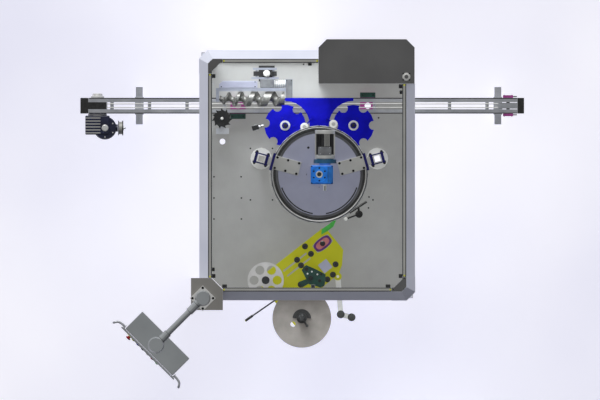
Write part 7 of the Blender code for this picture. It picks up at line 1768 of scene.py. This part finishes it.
class LABELLER_OT_screw_unit(Operator):
    """Wind the infeed screw, cover its motor and coupling, and cap the gate star and the knob"""

    bl_idname = "labeller.screw_unit"
    bl_label = "Screw unit"

    def execute(self, context):
        screw = timing_screw((-0.750, *SCREW_AXIS), 0.488)
        journals = [
            bar(0.0098, (start, *SCREW_AXIS), (end, *SCREW_AXIS), 32, 0.001)
            for start, end in ((-0.770, -0.748), (-0.264, -0.240))
        ]
        done(
            [screw, *journals], "timing_screw", "infeed_screw", "screw_steel",
            ("infeed_screw",), 50,
        )
        outline = [
            (-0.7575, 0.6535), (-0.4665, 0.6535), (-0.4665, 0.7056), (-0.7320, 0.7056),
            (-0.7575, 0.6800),
        ]
        cover = sheet(outline, (1.0515, 1.1618), 0.003, 3)
        done(cover, "screw_motor_cover", "screw_carriage", "head_alloy")
        gear = span((-0.4465, -0.3435), (0.6535, 0.7195), (1.0515, 1.1590), 0.004, 3)
        housing = span((-0.2515, -0.2035), (0.5505, 0.7175), (1.1560, 1.1600), 0.002)
        done([gear, housing], "screw_gear_case", "screw_carriage", "motor_enamel")
        profile = [(0.0, 0.0), (0.0270, 0.0), (0.0296, 0.003)]
        for i in range(5):
            reach = 0.010 + 0.015 * i
            profile += [
                (0.0296, reach), (0.0270, reach + 0.002), (0.0270, reach + 0.005),
                (0.0296, reach + 0.007),
            ]
        profile += [(0.0296, 0.0835), (0.0270, 0.0865), (0.0, 0.0865)]
        coupling = lathe(profile, (-0.3415, 0.684, SCREW_AXIS[1]), 48, (1, 0, 0))
        done(coupling, "screw_coupling", "screw_carriage", "white_plastic")
        screws = []
        for x in (-0.740, -0.485):
            for y in (0.662, 0.698):
                if x < -0.7 and y > 0.68:
                    continue
                screws.append(drum(0.0045, (x, y), (1.1612, 1.1640), 16, 0.0006))
        for x in (-0.2455, -0.2095):
            for y in (0.560, 0.708):
                screws.append(drum(0.0040, (x, y), (1.1595, 1.1630), 16, 0.0006))
        done(screws, "screw_unit_screws", "screw_carriage", "dark_steel")
        cap = lathe(
            [
                (0.0, 1.1000), (0.0110, 1.1000), (0.0110, 1.1020), (0.0090, 1.1035),
                (0.0086, 1.1115), (0.0070, 1.1124), (0.0, 1.1124),
            ],
            GATE_STAR, 40,
        )
        backing = lathe(
            [
                (0.0100, 1.0775), (0.0590, 1.0775), (0.0590, 1.0798), (0.0100, 1.0798),
                (0.0100, 1.0775),
            ],
            GATE_STAR, 64,
        )
        done(backing, "gate_star_backing", "gate_star", "rubber")
        done(cap, "gate_star_cap", "gate_star", "white_plastic")
        knob = lathe(
            [
                (0.0, 1.1590), (0.0265, 1.1590), (0.0266, 1.1700), (0.0240, 1.1790),
                (0.0170, 1.1835), (0.0, 1.1846),
            ],
            (-0.397, 0.7615), 56,
        )
        done(
            knob, "slide_knob", "screw_adjust_knob", "white_plastic",
            ("screw_adjust_knob",),
        )
        return {"FINISHED"}


# Each cover: whether it faces along Y, where its screws seat and end, and their places along it
COVER_SCREWS = (
    (True, -0.9200, -0.9245, (-0.690, -0.018, 0.655)),
    (False, -0.8755, -0.8800, (-0.740, 0.050, 0.850)),
    (False, 0.6920, 0.6965, (-0.860, -0.110, 0.640)),
    (True, 0.9075, 0.9120, (-0.840, -0.440, -0.045)),
)
GLAND = (0.6575, 0.7377)


class LABELLER_OT_cabinet(Operator):
    """Fit the cabinet door's handle and grilles, the gland's ring and the covers' screws"""

    bl_idname = "labeller.cabinet"
    bl_label = "Cabinet and covers"

    def execute(self, context):
        face = 1.0167
        grilles = []
        for level in (0.330, 1.800):
            grilles.append(span(
                (0.285, 0.419), (face, face + 0.0022), (level - 0.067, level + 0.067), 0.001,
            ))
            for i in range(9):
                z = level - 0.052 + 0.013 * i
                grilles.append(span(
                    (0.295, 0.409), (face + 0.0020, face + 0.0038), (z, z + 0.005), 0.0008,
                ))
        handle = span((0.143, 0.169), (face, face + 0.0020), (0.985, 1.165), 0.0010)
        lever = span((0.149, 0.163), (face + 0.0018, face + 0.0039), (1.000, 1.150), 0.0009)
        done(
            [*grilles, handle, lever], "cabinet_grilles_and_handle", "cabinet_door",
            "black_plastic",
        )
        ring = lathe(
            [
                (0.0150, 2.0505), (0.0300, 2.0505), (0.0300, 2.0540), (0.0165, 2.0560),
                (0.0160, 2.0685), (0.0150, 2.0685), (0.0150, 2.0505),
            ],
            GLAND, 48,
        )
        done(ring, "cabinet_gland_ring", "machine", "pale_alloy")
        screws = [
            drum(0.0064, polar(0.033, 45 + 90 * i, GLAND), (2.0503, 2.0568), 16, 0.0008)
            for i in range(4)
        ]
        for faces_y, seat, crown, places in COVER_SCREWS:
            for place in places:
                start, end = (
                    (place, reach) if faces_y else (reach, place) for reach in (seat, crown)
                )
                for z in (0.160, 0.720):
                    screws.append(bar(0.0070, (*start, z), (*end, z), 20, 0.0012))
        done(screws, "cover_screws", "machine", "dark_steel")
        return {"FINISHED"}


class LABELLER_PT_panel(Panel):
    """The machine's sizes, colours and building steps"""

    bl_idname = "LABELLER_PT_panel"
    bl_label = "Rotary labelling machine"
    bl_space_type = "VIEW_3D"
    bl_region_type = "UI"
    bl_category = "Labeller"

    def draw(self, context):
        for group in (context.scene.labeller_sizes, context.scene.labeller_looks):
            box = self.layout.box()
            for name in type(group).__annotations__:
                box.prop(group, name)
        for step in STEPS:
            self.layout.operator(step.bl_idname)


STEPS = (
    LABELLER_OT_stage,
    LABELLER_OT_frame_finishes,
    LABELLER_OT_doors,
    LABELLER_OT_guard_fittings,
    LABELLER_OT_stars,
    LABELLER_OT_carousel,
    LABELLER_OT_head,
    LABELLER_OT_head_drive,
    LABELLER_OT_label_unit,
    LABELLER_OT_brush,
    LABELLER_OT_console,
    LABELLER_OT_conveyor_fittings,
    LABELLER_OT_conveyor_drive,
    LABELLER_OT_screw_unit,
    LABELLER_OT_cabinet,
)
CLASSES = (LABELLER_looks, LABELLER_sizes, *STEPS, LABELLER_PT_panel)


def register():
    for cls in CLASSES:
        bpy.utils.register_class(cls)
    bpy.types.Scene.labeller_looks = PointerProperty(type=LABELLER_looks)
    bpy.types.Scene.labeller_sizes = PointerProperty(type=LABELLER_sizes)


def unregister():
    del bpy.types.Scene.labeller_sizes
    del bpy.types.Scene.labeller_looks
    for cls in reversed(CLASSES):
        bpy.utils.unregister_class(cls)


def main():
    register()
    for step in STEPS:
        getattr(bpy.ops.labeller, step.bl_idname.split(".")[1])()


if __name__ == "__main__":
    main()
